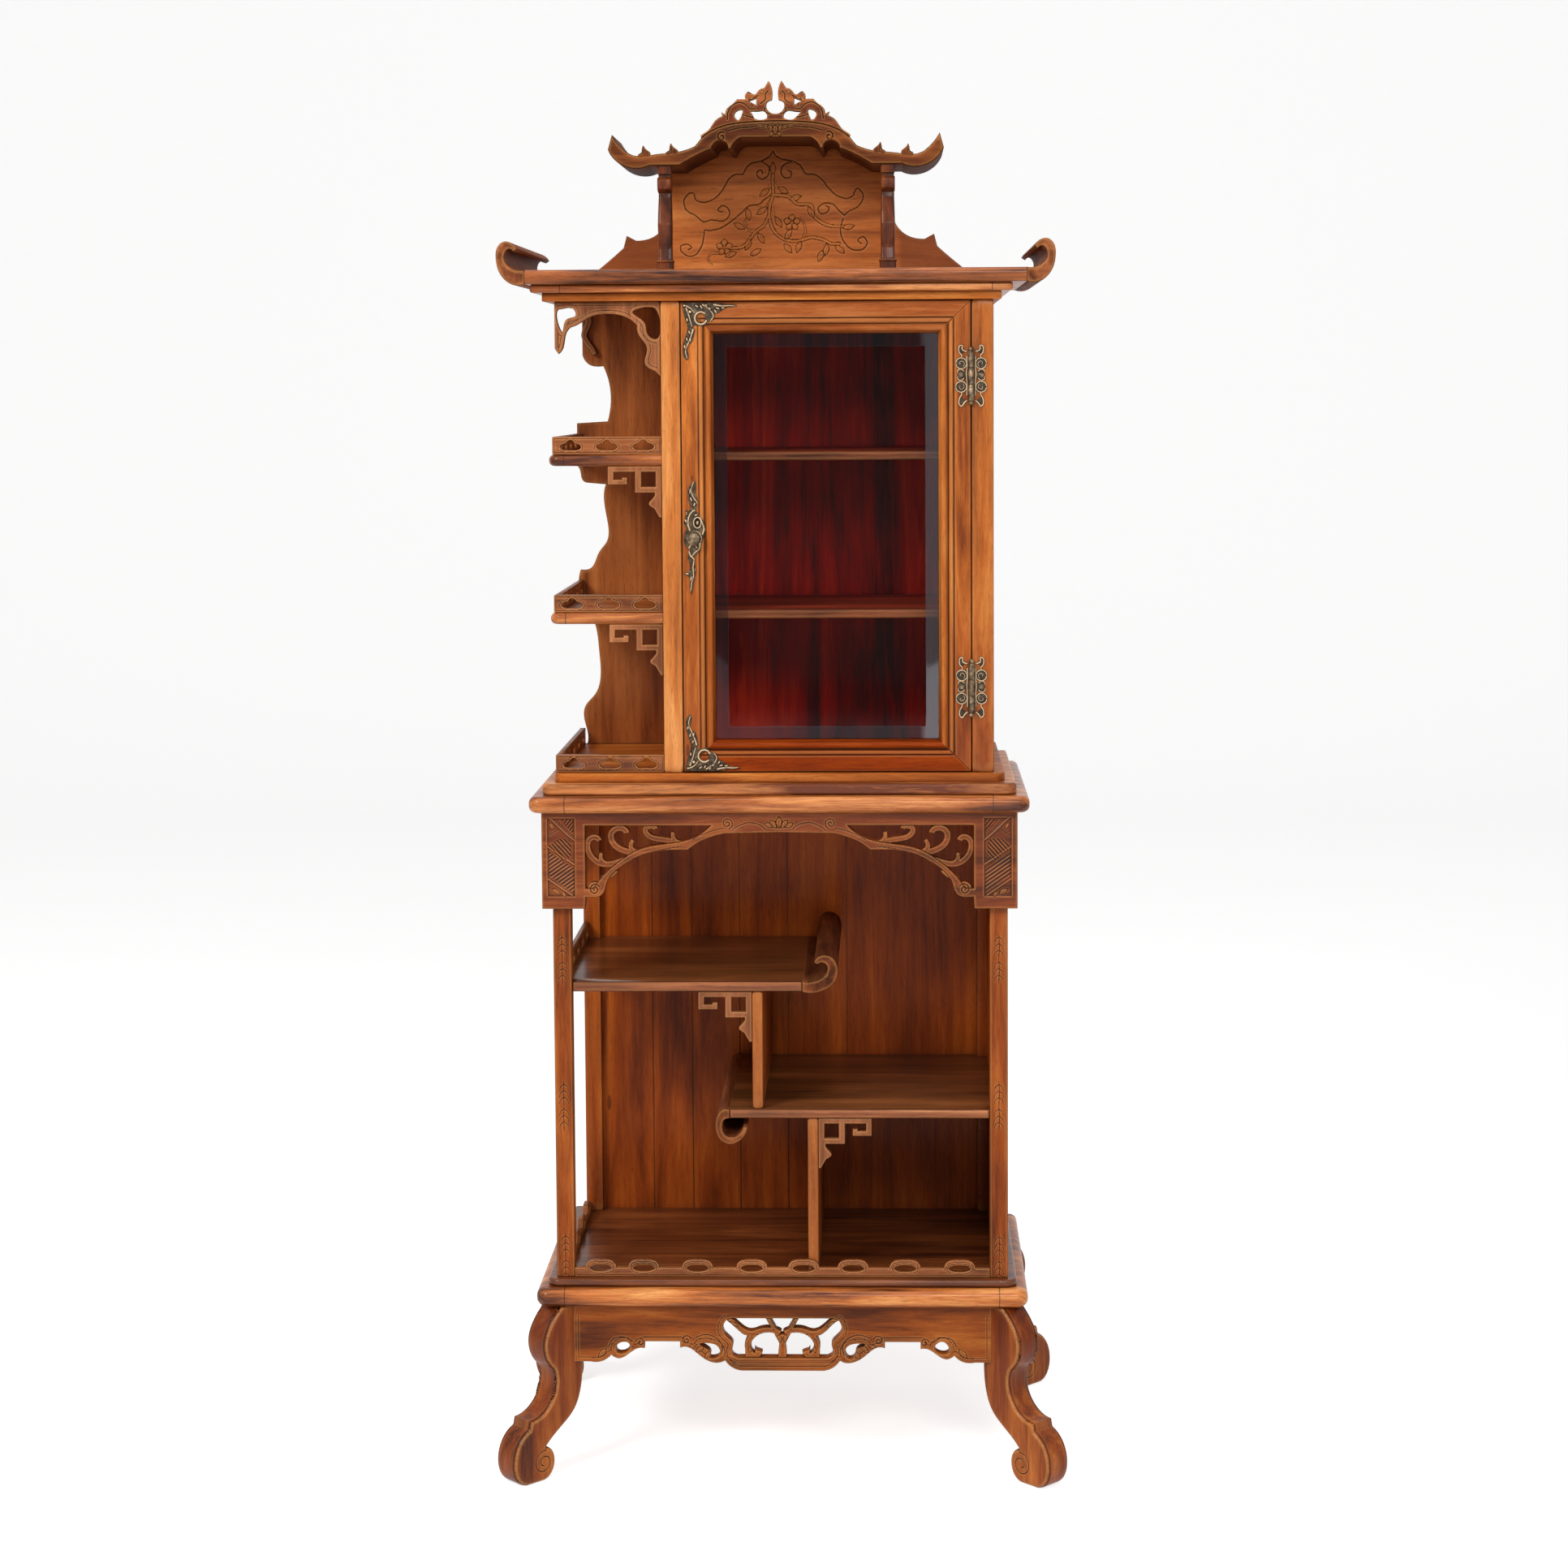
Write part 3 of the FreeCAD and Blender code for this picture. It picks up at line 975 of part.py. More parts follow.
def make_knob(model):
    """A knob turned in one piece with its stem, along the body's own Z axis."""
    size = model.size
    seat = size.plate_thickness + size.knob_lift
    tail = -model.value("cabinet_post_depth + tongue_clearance + tongue_thickness")
    half = [(0, tail), (size.stem_radius, tail), (size.stem_radius, seat),
            *scaled(KNOB_SHARES, size.knob_radius, size.knob_length, y=seat)]
    body = model.body("turn_knob")
    turned = body.newObject("PartDesign::Revolution", "turn_knob_turned")
    sketch = model.sketch(body, "XZ_Plane", [half])
    turned.Profile = sketch
    turned.ReferenceAxis = (sketch, ["V_Axis"])
    turned.Angle = 360
    body.Tip = turned
    body.Placement.Rotation = FreeCAD.Rotation(FreeCAD.Vector(1, 0, 0), 90)
    model.place(body, "-lock_x", "-cabinet_front", "lock_z")
    model.name(body, "turn_knob")


def make_corner_mounts(model):
    """Cut-out mounts on the door's two corners away from the hinges."""
    size = model.size
    across, along, radius = (share * size.mount_width for share in CORNER_RING_SHARES)
    mounts = []
    for name, way, z in (("corner_mount_top", -1, DOOR_TOP),
                         ("corner_mount_bottom", 1, DOOR_BOTTOM)):
        outline = scaled(CORNER_SHARES, size.mount_width, way * size.mount_height)
        ring = ellipse(across, way * along, radius, radius)
        mounts.append(model.plate(name, "XZ_Plane", [outline, ring], "plate_thickness",
                                  DOOR_LEFT, "-cabinet_front", z))
    model.group("corner_mounts", mounts)


LEAF_SHARES = [
    (0.0, -0.92), (0.45, -1.0, SMOOTH), (0.95, -0.86, SMOOTH), (0.70, -0.62, SMOOTH),
    (0.62, -0.40, SMOOTH), (0.98, -0.16, SMOOTH), (1.0, 0.0, SMOOTH), (0.98, 0.16, SMOOTH),
    (0.62, 0.40, SMOOTH), (0.70, 0.62, SMOOTH), (0.95, 0.86, SMOOTH), (0.45, 1.0, SMOOTH),
    (0.0, 0.92),
]
# Holes of a leaf: their distance from the middle and their half sizes
LEAF_HOLE_SHARES = (0.715, 0.16, 0.09)
HINGE_X = "cabinet_right - cabinet_post_right_width - door_gap / 2"
HINGE_Y = "-cabinet_front - barrel_radius"


def hinge_leaf(model, name, side, z, knuckles, bore):
    """One pierced hinge leaf with its knuckles, round an axis at its body's own origin."""
    size = model.size
    start = size.barrel_radius + size.knuckle_gap
    half_length = size.barrel_length / 2
    width = size.leaf_width - start
    edge = [(side * (start + width * point[0]), half_length * point[1], *point[2:])
            for point in LEAF_SHARES]
    away, wide, tall = LEAF_HOLE_SHARES
    holes = [ellipse(side * (start + width / 2), sign * half_length * away, width * wide,
                     half_length * tall) for sign in (-1, 1)]
    body = model.body(name)
    model.pad(body, "XZ_Plane", [edge, *holes], "plate_thickness", "-barrel_radius")
    high = size.barrel_radius
    low = high - size.plate_thickness
    web = rectangle(min(0, side * (start + size.leaf_margin)), low,
                    max(0, side * (start + size.leaf_margin)), high)
    origin, axis = FreeCAD.Vector(0, 0, 0), FreeCAD.Vector(0, 0, 1)
    for offset, length in knuckles:
        ring = [Part.Circle(origin, axis, size.barrel_radius)]
        model.pad(body, "XY_Plane", [ring], length, offset)
        model.pad(body, "XY_Plane", [web], length, offset)
    model.pocket(body, "XY_Plane", [[Part.Circle(origin, axis, model.value(bore))]],
                 "2 * barrel_length", midplane=True)
    model.place(body, HINGE_X, HINGE_Y, z)
    return body


def make_hinges(model):
    """Two surface hinges: post leaves with two knuckles, door leaves with one, and pins."""
    third = "barrel_length / 3"
    post_knuckles = (("-barrel_length / 2", third), ("barrel_length / 6", third))
    door_knuckles = (("-barrel_length / 6 + knuckle_gap", third + " - 2 * knuckle_gap"),)
    post_leaves, door_leaves, pins = [], [], []
    for name, z in (("upper", "upper_hinge_z"), ("lower", "lower_hinge_z")):
        post_leaves.append(hinge_leaf(model, f"post_leaf_{name}", 1, z, post_knuckles,
                                      "pin_radius"))
        door_leaves.append(hinge_leaf(model, f"door_leaf_{name}", -1, z, door_knuckles,
                                      "pin_radius + running_clearance"))
        pins.append(make_pin(model, name, z))
    model.group("hinge_post_leaves", post_leaves)
    model.group("hinge_door_leaves", door_leaves)
    model.group("hinge_pins", pins)


# One half of a pin's head above the barrel: shares of its radius and of its height
PIN_HEAD_SHARES = [(1.0, 0.0), (0.85, 0.70, MIDDLE), (0.33, 1.0), (0.0, 1.0)]


def make_pin(model, name, z):
    """A hinge pin with a domed head at each end of the barrel."""
    size = model.size
    half, radius = size.barrel_length / 2, size.pin_radius
    head = scaled(PIN_HEAD_SHARES, size.pin_head_radius, size.pin_head_height, y=half)
    foot = [(point[0], -point[1], *point[2:]) for point in reversed(head)]
    profile = [*foot, (radius, -half), (radius, half), *head]
    body = model.body("pin_" + name)
    turned = body.newObject("PartDesign::Revolution", f"pin_{name}_turned")
    sketch = model.sketch(body, "XZ_Plane", [profile])
    turned.Profile = sketch
    turned.ReferenceAxis = (sketch, ["V_Axis"])
    turned.Angle = 360
    body.Tip = turned
    model.place(body, HINGE_X, HINGE_Y, z)
    return body


CORNICE_CURL_SHARES = [
    (0.0, 0.0), (0.55, 0.03, SMOOTH), (0.90, 0.30, SMOOTH), (1.0, 0.60, SMOOTH),
    (0.93, 0.88, SMOOTH), (0.70, 1.0, SMOOTH), (0.42, 0.95, SMOOTH), (0.25, 0.82),
    (0.38, 0.76), (0.56, 0.82, SMOOTH), (0.70, 0.70, SMOOTH), (0.66, 0.50, SMOOTH),
    (0.42, 0.365, SMOOTH), (0.0, 0.336),
]


def make_cornice(model):
    """Fillet, bed mould and board of the cornice, and the curled ends of the board."""
    size = model.size
    slab(model, "cornice_fillet", "cornice_fillet_half", "cornice_fillet_front", CABINET_TOP,
         "cornice_fillet_height", "arris", "-upper_shift", "tier_round")
    slab(model, "cornice_bed", "cornice_cove_half", "cornice_cove_front", COVE_BOTTOM,
         "cornice_cove_height", "tier_round", "-upper_shift", "tier_round")
    half, front, rear = size.cornice_board_half, size.cornice_board_front, size.back_face
    board = model.plate("cornice_board", "XY_Plane", [rectangle(-half, -front, half, rear)],
                        "cornice_board_height", z=CORNICE_BOTTOM)
    tiny = size.flat_tolerance
    model.fillet(board, "cornice_round",
                 lambda box: box.ZLength < tiny and box.YMax < -front + tiny)
    model.name(board, "cornice_board")
    curl = scaled(CORNICE_CURL_SHARES, size.cornice_curl_reach, size.cornice_curl_rise)
    ends = [model.plate(name, "XZ_Plane", [outline], "cornice_board_front + back_face", x,
                        "back_face", CORNICE_BOTTOM)
            for name, outline, x in (("curl_left", mirrored(curl), "-cornice_board_half"),
                                     ("curl_right", curl, "cornice_board_half"))]
    model.group("cornice_scrolls", ends)


# Right halves of the crest's outlines, in shares of their own half widths and heights
CREST_PANEL_SHARES = [
    (0.0, 0.0), (1.0, 0.0), (0.900, 0.113, SMOOTH), (0.830, 0.199), (0.813, 0.290),
    (0.763, 0.253), (0.650, 0.300, SMOOTH), (0.600, 0.398), (0.600, 0.785),
    (0.460, 0.860, SMOOTH), (0.250, 0.960, SMOOTH), (0.0, 1.0, SMOOTH),
]
ROOF_SHARES = [
    (0.0, 0.888), (0.200, 0.888), (0.245, 0.855, SMOOTH), (0.262, 0.815), (0.285, 0.812),
    (0.290, 0.845, SMOOTH), (0.330, 0.868, SMOOTH), (0.365, 0.850, SMOOTH), (0.380, 0.815),
    (0.480, 0.765, SMOOTH), (0.571, 0.7056), (0.750, 0.7056), (0.870, 0.690, SMOOTH),
    (0.950, 0.735, SMOOTH), (1.0, 0.815), (0.975, 0.915), (0.920, 0.830, SMOOTH),
    (0.860, 0.780, SMOOTH), (0.714, 0.782, SMOOTH), (0.550, 0.805, SMOOTH),
    (0.480, 0.835), (0.442, 0.888), (0.357, 0.949, SMOOTH), (0.288, 0.975, SMOOTH),
    (0.200, 0.990, SMOOTH), (0.0, 1.0, SMOOTH),
]
DRAGON_SHARES = [
    (0.0, -0.25), (0.50, -0.30), (0.80, -0.42), (0.985, -0.60), (1.0, -0.358),
    (0.931, -0.272), (0.878, -0.185, SMOOTH), (0.800, 0.019, SMOOTH),
    (0.747, 0.091, SMOOTH), (0.709, 0.120), (0.724, 0.223), (0.667, 0.164),
    (0.624, 0.352, SMOOTH), (0.570, 0.427, SMOOTH), (0.525, 0.507), (0.513, 0.543),
    (0.395, 0.543), (0.392, 0.686, SMOOTH), (0.363, 0.731, SMOOTH), (0.311, 0.680, SMOOTH),
    (0.257, 0.672), (0.241, 0.716, SMOOTH), (0.196, 0.796, SMOOTH), (0.151, 0.811),
    (0.135, 0.857, SMOOTH), (0.088, 1.0), (0.057, 0.895, SMOOTH), (0.038, 0.731, SMOOTH),
    (0.046, 0.514), (0.120, 0.400, SMOOTH), (0.095, 0.250, SMOOTH), (0.0, 0.171, SMOOTH),
]
DRAGON_HOLE_SHARES = [
    [(0.352, 0.491), (0.253, 0.560), (0.253, 0.396)],
    [(0.545, 0.12, SMOOTH), (0.500, 0.26, SMOOTH), (0.445, 0.27, SMOOTH),
     (0.455, 0.12, SMOOTH), (0.490, 0.02, SMOOTH)],
    [(0.329, 0.223, SMOOTH), (0.240, 0.235, SMOOTH), (0.150, 0.236, SMOOTH),
     (0.110, 0.091, SMOOTH), (0.196, 0.020, SMOOTH), (0.295, 0.120, SMOOTH)],
]


def make_crest(model):
    """The crest: winged panel, two brackets, the pagoda roof and the pair of dragons."""
    size = model.size
    panel = both_halves(scaled(CREST_PANEL_SHARES, size.crest_wing_half,
                               size.crest_panel_height))
    model.name(model.plate("crest_panel", "XZ_Plane", [panel], "crest_panel_thickness", None,
                           "roof_rear + crest_panel_thickness", CORNICE_TOP), "crest_panel")
    outline = both_halves(scaled(ROOF_SHARES, size.roof_half, size.roof_height))
    roof = model.plate("crest_roof", "XZ_Plane", [outline], "roof_front + roof_rear", None,
                       "roof_rear", CORNICE_TOP)
    model.name(roof, "crest_roof")
    make_crest_brackets(model)
    outlines = [both_halves(scaled(DRAGON_SHARES, size.dragon_half, size.dragon_height))]
    for shares in DRAGON_HOLE_SHARES:
        hole = scaled(shares, size.dragon_half, size.dragon_height)
        outlines += [hole, mirrored(hole)]
    blank = model.plate("dragon_blank", "XZ_Plane", outlines, "dragon_thickness", None,
                        "dragon_thickness - roof_front", CORNICE_TOP + " + roof_height")
    dragons = model.doc.addObject("Part::Cut", "dragon_crest")
    dragons.Base, dragons.Tool = blank, roof
    model.name(dragons, "dragon_crest")


CREST_BRACKET_SHARES = [
    (0.0, 0.0), (1.0, 0.0), (1.0, 0.12), (0.70, 0.22, SMOOTH), (0.62, 0.42, SMOOTH),
    (0.95, 0.66, SMOOTH), (1.0, 0.86), (1.0, 1.0), (0.0, 1.0), (0.0, 0.88),
    (0.10, 0.70, SMOOTH), (-0.02, 0.45, SMOOTH), (0.05, 0.20, SMOOTH), (0.0, 0.10),
]


def make_crest_brackets(model):
    """Two curved brackets that carry the front of the roof on the cornice."""
    size = model.size
    height = size.roof_height * ROOF_SHARES[10][1]
    width = size.crest_bracket_width
    outline = scaled(CREST_BRACKET_SHARES, width, height)
    rear = "crest_bracket_depth + crest_bracket_setback - roof_front"
    brackets = [model.plate(name, "XZ_Plane", [points], "crest_bracket_depth", x, rear,
                            CORNICE_TOP)
                for name, points, x in (
                    ("bracket_right", outline, "crest_bracket_half - crest_bracket_width"),
                    ("bracket_left", mirrored(outline),
                     "crest_bracket_width - crest_bracket_half"))]
    model.group("crest_brackets", brackets)


def check(model):
    """Stop unless every object computed and every sub-part is a valid shape of solids."""
    for item in model.doc.Objects:
        if "Invalid" in item.State or "Error" in item.State:
            raise RuntimeError(f"{item.Name} failed: {item.State}")
    for node in model.nodes:
        shape = node.Shape
        if shape.isNull() or not shape.isValid() or not shape.Solids:
            raise RuntimeError(f"{node.Label} is not a valid solid")


def main():
    model = Model()
    for make in (make_legs, make_aprons, make_base, make_base_galleries, make_stand,
                 make_open_shelves, make_brackets, make_friezes, make_upper_cabinet,
                 make_bay, make_door, make_lock, make_corner_mounts, make_hinges,
                 make_cornice, make_crest):
        make(model)
    model.doc.recompute()
    check(model)
    os.makedirs("parts", exist_ok=True)
    for node in model.nodes:
        node.Shape.exportStep(f"parts/{node.Label}.step")
        print(f"{node.Label}: {len(node.Shape.Solids)} solids, "
              f"{node.Shape.Volume:.0f} mm3")
    print(len(model.nodes), "nodes")


main()
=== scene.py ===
"""Chinese book cabinet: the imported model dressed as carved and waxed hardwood.

The frame is in metres, +Z up, with the origin on the floor under the middle of the cabinet
and the front facing -Y.  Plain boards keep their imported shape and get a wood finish.  Carved
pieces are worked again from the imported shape: each flat face gets a fine grid trimmed to its
outline, and a relief that is a function of the two coordinates of that face.
"""

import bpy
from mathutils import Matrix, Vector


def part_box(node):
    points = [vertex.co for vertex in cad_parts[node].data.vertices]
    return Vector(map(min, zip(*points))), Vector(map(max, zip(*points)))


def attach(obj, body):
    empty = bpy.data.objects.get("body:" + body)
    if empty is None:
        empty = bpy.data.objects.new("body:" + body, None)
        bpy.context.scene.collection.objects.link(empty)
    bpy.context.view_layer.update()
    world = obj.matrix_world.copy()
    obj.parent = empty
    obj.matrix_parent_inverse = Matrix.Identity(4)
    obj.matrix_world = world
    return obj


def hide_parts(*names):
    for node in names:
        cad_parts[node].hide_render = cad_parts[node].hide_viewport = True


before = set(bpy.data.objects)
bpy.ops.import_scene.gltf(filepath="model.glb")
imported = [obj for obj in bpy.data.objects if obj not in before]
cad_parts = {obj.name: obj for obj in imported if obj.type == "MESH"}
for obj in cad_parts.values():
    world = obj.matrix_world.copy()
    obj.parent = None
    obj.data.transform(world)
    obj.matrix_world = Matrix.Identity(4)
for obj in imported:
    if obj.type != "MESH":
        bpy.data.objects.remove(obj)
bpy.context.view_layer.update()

import logging
import math
from dataclasses import dataclass, field, replace
from enum import Enum
from typing import Iterable, Sequence

import bpy
import numpy as np
from mathutils import Matrix, Vector
from mathutils.geometry import delaunay_2d_cdt

LOG = logging.getLogger("cabinet")
MM = 0.001
Array = np.ndarray
Point = tuple[float, float]
Colour = tuple[float, float, float]
Socket = bpy.types.NodeSocket

PAIRS_AT_ONCE = 3_000_000
KNOT_STEPS = 12
SPIRAL_STEP = 30
SAME_PLACE, SAME_LEVEL = 2e-6, 2e-5
SHARP = math.radians(48)


# Lines in a face's plane

def smooth_line(points: Sequence[Point], step: float = 1.0, closed: bool = False) -> Array:
    """A smooth line through points, as evenly spaced points.

    Catmull-Rom: between points b and c, with neighbours a and d, the place at t is
    b + t(c-a)/2 + t^2(2a-5b+4c-d)/2 + t^3(3b-a-3c+d)/2.

    Args:
        points: the points it runs through, in millimetres.
        step: spacing of the result, in millimetres.
        closed: whether the last point runs back to the first.

    Returns:
        An array of points, one a row.
    """
    knots = np.asarray(points, float)
    if closed:
        knots = np.vstack([knots[-1:], knots, knots[:2]])
    else:
        knots = np.vstack([2 * knots[0] - knots[1], knots, 2 * knots[-1] - knots[-2]])
    a, b, c, d = knots[:-3], knots[1:-2], knots[2:-1], knots[3:]
    t = np.linspace(0, 1, KNOT_STEPS, endpoint=False)[None, :, None]
    a, b, c, d = (part[:, None, :] for part in (a, b, c, d))
    dense = b + t * (c - a) / 2 + t**2 * (2*a - 5*b + 4*c - d) / 2 + t**3 * (3*b - a - 3*c + d) / 2
    dense = np.vstack([dense.reshape(-1, 2), knots[-2:-1]])
    along = np.r_[0, np.cumsum(np.linalg.norm(np.diff(dense, axis=0), axis=1))]
    count = max(2, int(round(along[-1] / step)) + 1)
    even = np.linspace(0, along[-1], count)
    return np.column_stack([np.interp(even, along, dense[:, axis]) for axis in (0, 1)])


def spiral(x: float, z: float, radii: Point, degrees: Point) -> list[Point]:
    """Points on a spiral whose radius changes evenly with its angle.

    Args:
        x, z: its centre.
        radii: first and last radius.
        degrees: first and last angle.

    Returns:
        The points, about one each SPIRAL_STEP degrees.
    """
    count = max(4, int(abs(degrees[1] - degrees[0]) / SPIRAL_STEP))
    share = np.linspace(0, 1, count)
    angle = np.radians(degrees[0] + share * (degrees[1] - degrees[0]))
    radius = radii[0] + share * (radii[1] - radii[0])
    return list(zip(x + radius * np.cos(angle), z + radius * np.sin(angle)))


def flipped(points: Iterable[Point]) -> list[Point]:
    """The points mirrored left to right."""
    return [(-x, z) for x, z in points]


def blocks(places: Array, starts: Array) -> Iterable[slice]:
    """Slices of the places, small enough to set each against every segment at once."""
    size = max(1, PAIRS_AT_ONCE // max(1, len(starts)))
    return (slice(first, first + size) for first in range(0, len(places), size))


def line_distance(places: Array, starts: Array, ends: Array) -> tuple[Array, Array]:
    """Distance from each place to the nearest of several straight segments.

    Each place is projected on each segment, the share along it is held between 0 and 1,
    and the least distance is kept.

    Args:
        places: points, one a row.
        starts, ends: ends of the segments, one a row.

    Returns:
        The least distances, and the number of the nearest segment.
    """
    best = np.full(len(places), 1e9)
    index = np.zeros(len(places), int)
    run = ends - starts
    length = np.maximum((run**2).sum(1), 1e-12)
    for block in blocks(places, starts):
        away_x = places[block, 0:1] - starts[:, 0]
        away_z = places[block, 1:2] - starts[:, 1]
        share = np.clip((away_x * run[:, 0] + away_z * run[:, 1]) / length, 0, 1)
        square = (away_x - share * run[:, 0])**2 + (away_z - share * run[:, 1])**2
        index[block] = square.argmin(1)
        best[block] = np.sqrt(square.min(1))
    return best, index


def inside(places: Array, starts: Array, ends: Array) -> Array:
    """Which places lie inside closed outlines, by the even-odd rule of a ray along +X.

    Args:
        places: points, one a row.
        starts, ends: ends of the outlines' segments, one a row.

    Returns:
        True for each place inside.
    """
    crossings = np.zeros(len(places), int)
    rise = ends[:, 1] - starts[:, 1]
    rise = np.where(np.abs(rise) < 1e-12, 1e-12, rise)
    for block in blocks(places, starts):
        height = places[block, 1:2]
        spans = (starts[:, 1] > height) != (ends[:, 1] > height)
        meets = starts[:, 0] + (height - starts[:, 1]) * (ends[:, 0] - starts[:, 0]) / rise
        crossings[block] = (spans & (places[block, 0:1] < meets)).sum(1)
    return crossings % 2 == 1


# What is carved in a face

class Cut(Enum):
    """Ways a carver's line stands on a face."""
    GROOVE = "groove"
    BEAD = "bead"
    STEM = "stem"


@dataclass(frozen=True)
class Stroke:
    """A carved line: a groove, a raised bead, or a stem between two small grooves.

    The taper is the share of its width that is left at its last point.
    """
    points: Sequence[Point]
    width: float
    depth: float
    cut: Cut = Cut.GROOVE
    closed: bool = False
    taper: float = 1.0

    def height(self, places: Array) -> Array:
        """Height of the stroke at each place.

        With q the distance from the line over half the width, a groove is -depth(1-q^2),
        a bead is depth sqrt(1-q^2), and a stem is a bead with a groove along each side.

        Args:
            places: points of the face, in millimetres.

        Returns:
            Their heights, in millimetres.
        """
        line = smooth_line(self.points, min(1.0, self.width), self.closed)
        low, high = line.min(0) - self.width * 2, line.max(0) + self.width * 2
        near = ((places > low) & (places < high)).all(1)
        height = np.zeros(len(places))
        if not near.any():
            return height
        away, index = line_distance(places[near], line[:-1], line[1:])
        half = self.width / 2 * (1 + (self.taper - 1) * index / max(1, len(line) - 2))
        q = away / half
        dome = np.sqrt(np.clip(1 - q**2, 0, None))
        if self.cut is Cut.GROOVE:
            found = -self.depth * np.clip(1 - q**2, 0, None)
        elif self.cut is Cut.BEAD:
            found = self.depth * dome
        else:
            beside, half_groove, share = 1.25, 0.45, 0.6
            sides = np.clip(1 - ((q - beside) / half_groove)**2, 0, None)
            found = self.depth * dome - share * self.depth * sides
        height[near] = found
        return height

    def mirrored(self) -> "Stroke":
        """The stroke mirrored left to right."""
        return replace(self, points=flipped(self.points))


@dataclass(frozen=True)
class Petal:
    """A raised almond in a fine groove, with a vein along it when wanted."""
    x: float
    z: float
    length: float
    width: float
    degrees: float
    rise: float
    vein: float = 0.0

    def height(self, places: Array) -> Array:
        """Height of the petal: rise times the root of what is left of 1 - u^2 - w^2.

        Here u runs along it over half its length and w across it over half its width,
        which narrows towards its ends as 1 - 0.35 u^2.  The groove round it and the vein
        are both -depth(1 - q^2), q being the distance from their middle over half their
        width.

        Args:
            places: points of the face, in millimetres.

        Returns:
            Their heights, in millimetres.
        """
        angle = math.radians(self.degrees)
        x, z = places[:, 0] - self.x, places[:, 1] - self.z
        u = (x * math.cos(angle) + z * math.sin(angle)) / (self.length / 2)
        w = (z * math.cos(angle) - x * math.sin(angle)) / (self.width / 2)
        w = w / np.clip(1 - 0.35 * u**2, 0.2, None)
        reach = np.sqrt(u**2 + w**2)
        rim_at, half_rim, rim_share, half_vein = 1.15, 0.2, 0.8, 0.18
        body = self.rise * np.sqrt(np.clip(1 - u**2 - w**2, 0, None))
        rim = -rim_share * self.rise * np.clip(1 - ((reach - rim_at) / half_rim)**2, 0, None)
        vein = -self.vein * np.clip(1 - (w / half_vein)**2, 0, None) * (u**2 + w**2 < 1)
        return body + rim + vein

    def mirrored(self) -> "Petal":
        """The petal mirrored left to right."""
        return replace(self, x=-self.x, degrees=180 - self.degrees)


@dataclass(frozen=True)
class Field:
    """The part of a face within a closed outline."""
    outline: Sequence[Point]

    def within(self, places: Array) -> tuple[Array, Array]:
        """Which places lie inside, and how far each of those is from the outline."""
        line = np.asarray(self.outline, float)
        after = np.roll(line, -1, axis=0)
        found = inside(places, line, after)
        return found, line_distance(places[found], line, after)[0]

    def mirrored(self) -> "Field":
        """The field mirrored left to right."""
        return replace(self, outline=flipped(self.outline))


@dataclass(frozen=True)
class Ground(Field):
    """A field sunk to a lower level, with sloping sides."""
    depth: float
    slope: float = 1.2

    def height(self, places: Array) -> Array:
        """Height of the field: -depth s^2(3 - 2s), s being the share of the slope passed.

        Args:
            places: points of the face, in millimetres.

        Returns:
            Their heights, in millimetres.
        """
        found, away = self.within(places)
        share = np.clip(away / self.slope, 0, 1)
        height = np.zeros(len(places))
        height[found] = -self.depth * share * share * (3 - 2 * share)
        return height


@dataclass(frozen=True)
class Hatching(Field):
    """Slanting grooves cut side by side in a field, as in a woven pattern."""
    pitch: float
    degrees: float
    depth: float

    def height(self, places: Array) -> Array:
        """Height of the grooves: -depth(1 + cos(2 pi s/pitch))/2, s being across them.

        They rise to nothing over the last millimetre before the outline.

        Args:
            places: points of the face, in millimetres.

        Returns:
            Their heights, in millimetres.
        """
        found, away = self.within(places)
        angle = math.radians(self.degrees)
        across = places[:, 1] * math.cos(angle) - places[:, 0] * math.sin(angle)
        wave = -self.depth * (1 + np.cos(2 * math.pi * across / self.pitch)) / 2
        height = np.zeros(len(places))
        height[found] = wave[found] * np.clip(away, 0, 1)
        return height


@dataclass
class Relief:
    """Everything that is carved in one face, given in that face's own millimetres."""
    parts: list = field(default_factory=list)

    def height(self, places: Array) -> Array:
        """The parts' heights: sunk and raised parts add up, and grooves cut the deepest.

        Args:
            places: points of the face, in millimetres.

        Returns:
            Their heights, in millimetres.
        """
        raised, cut = np.zeros(len(places)), np.zeros(len(places))
        for part in self.parts:
            if not isinstance(part, Ground):
                height = part.height(places)
                raised = np.maximum(raised, height)
                cut = np.minimum(cut, height)
        return self.sunk(places) + raised + cut

    def sunk(self, places: Array) -> Array:
        """The height of the sunk fields alone, at each place."""
        height = np.zeros(len(places))
        for part in self.parts:
            if isinstance(part, Ground):
                height = np.minimum(height, part.height(places))
        return height

    def add(self, *parts: Stroke | Petal | Field) -> "Relief":
        """Add parts, and return the relief itself."""
        self.parts.extend(parts)
        return self

    def both(self, *parts: Stroke | Petal | Field) -> "Relief":
        """Add each part and its mirror image, and return the relief itself."""
        for part in parts:
            self.add(part, part.mirrored())
        return self


# Meshes

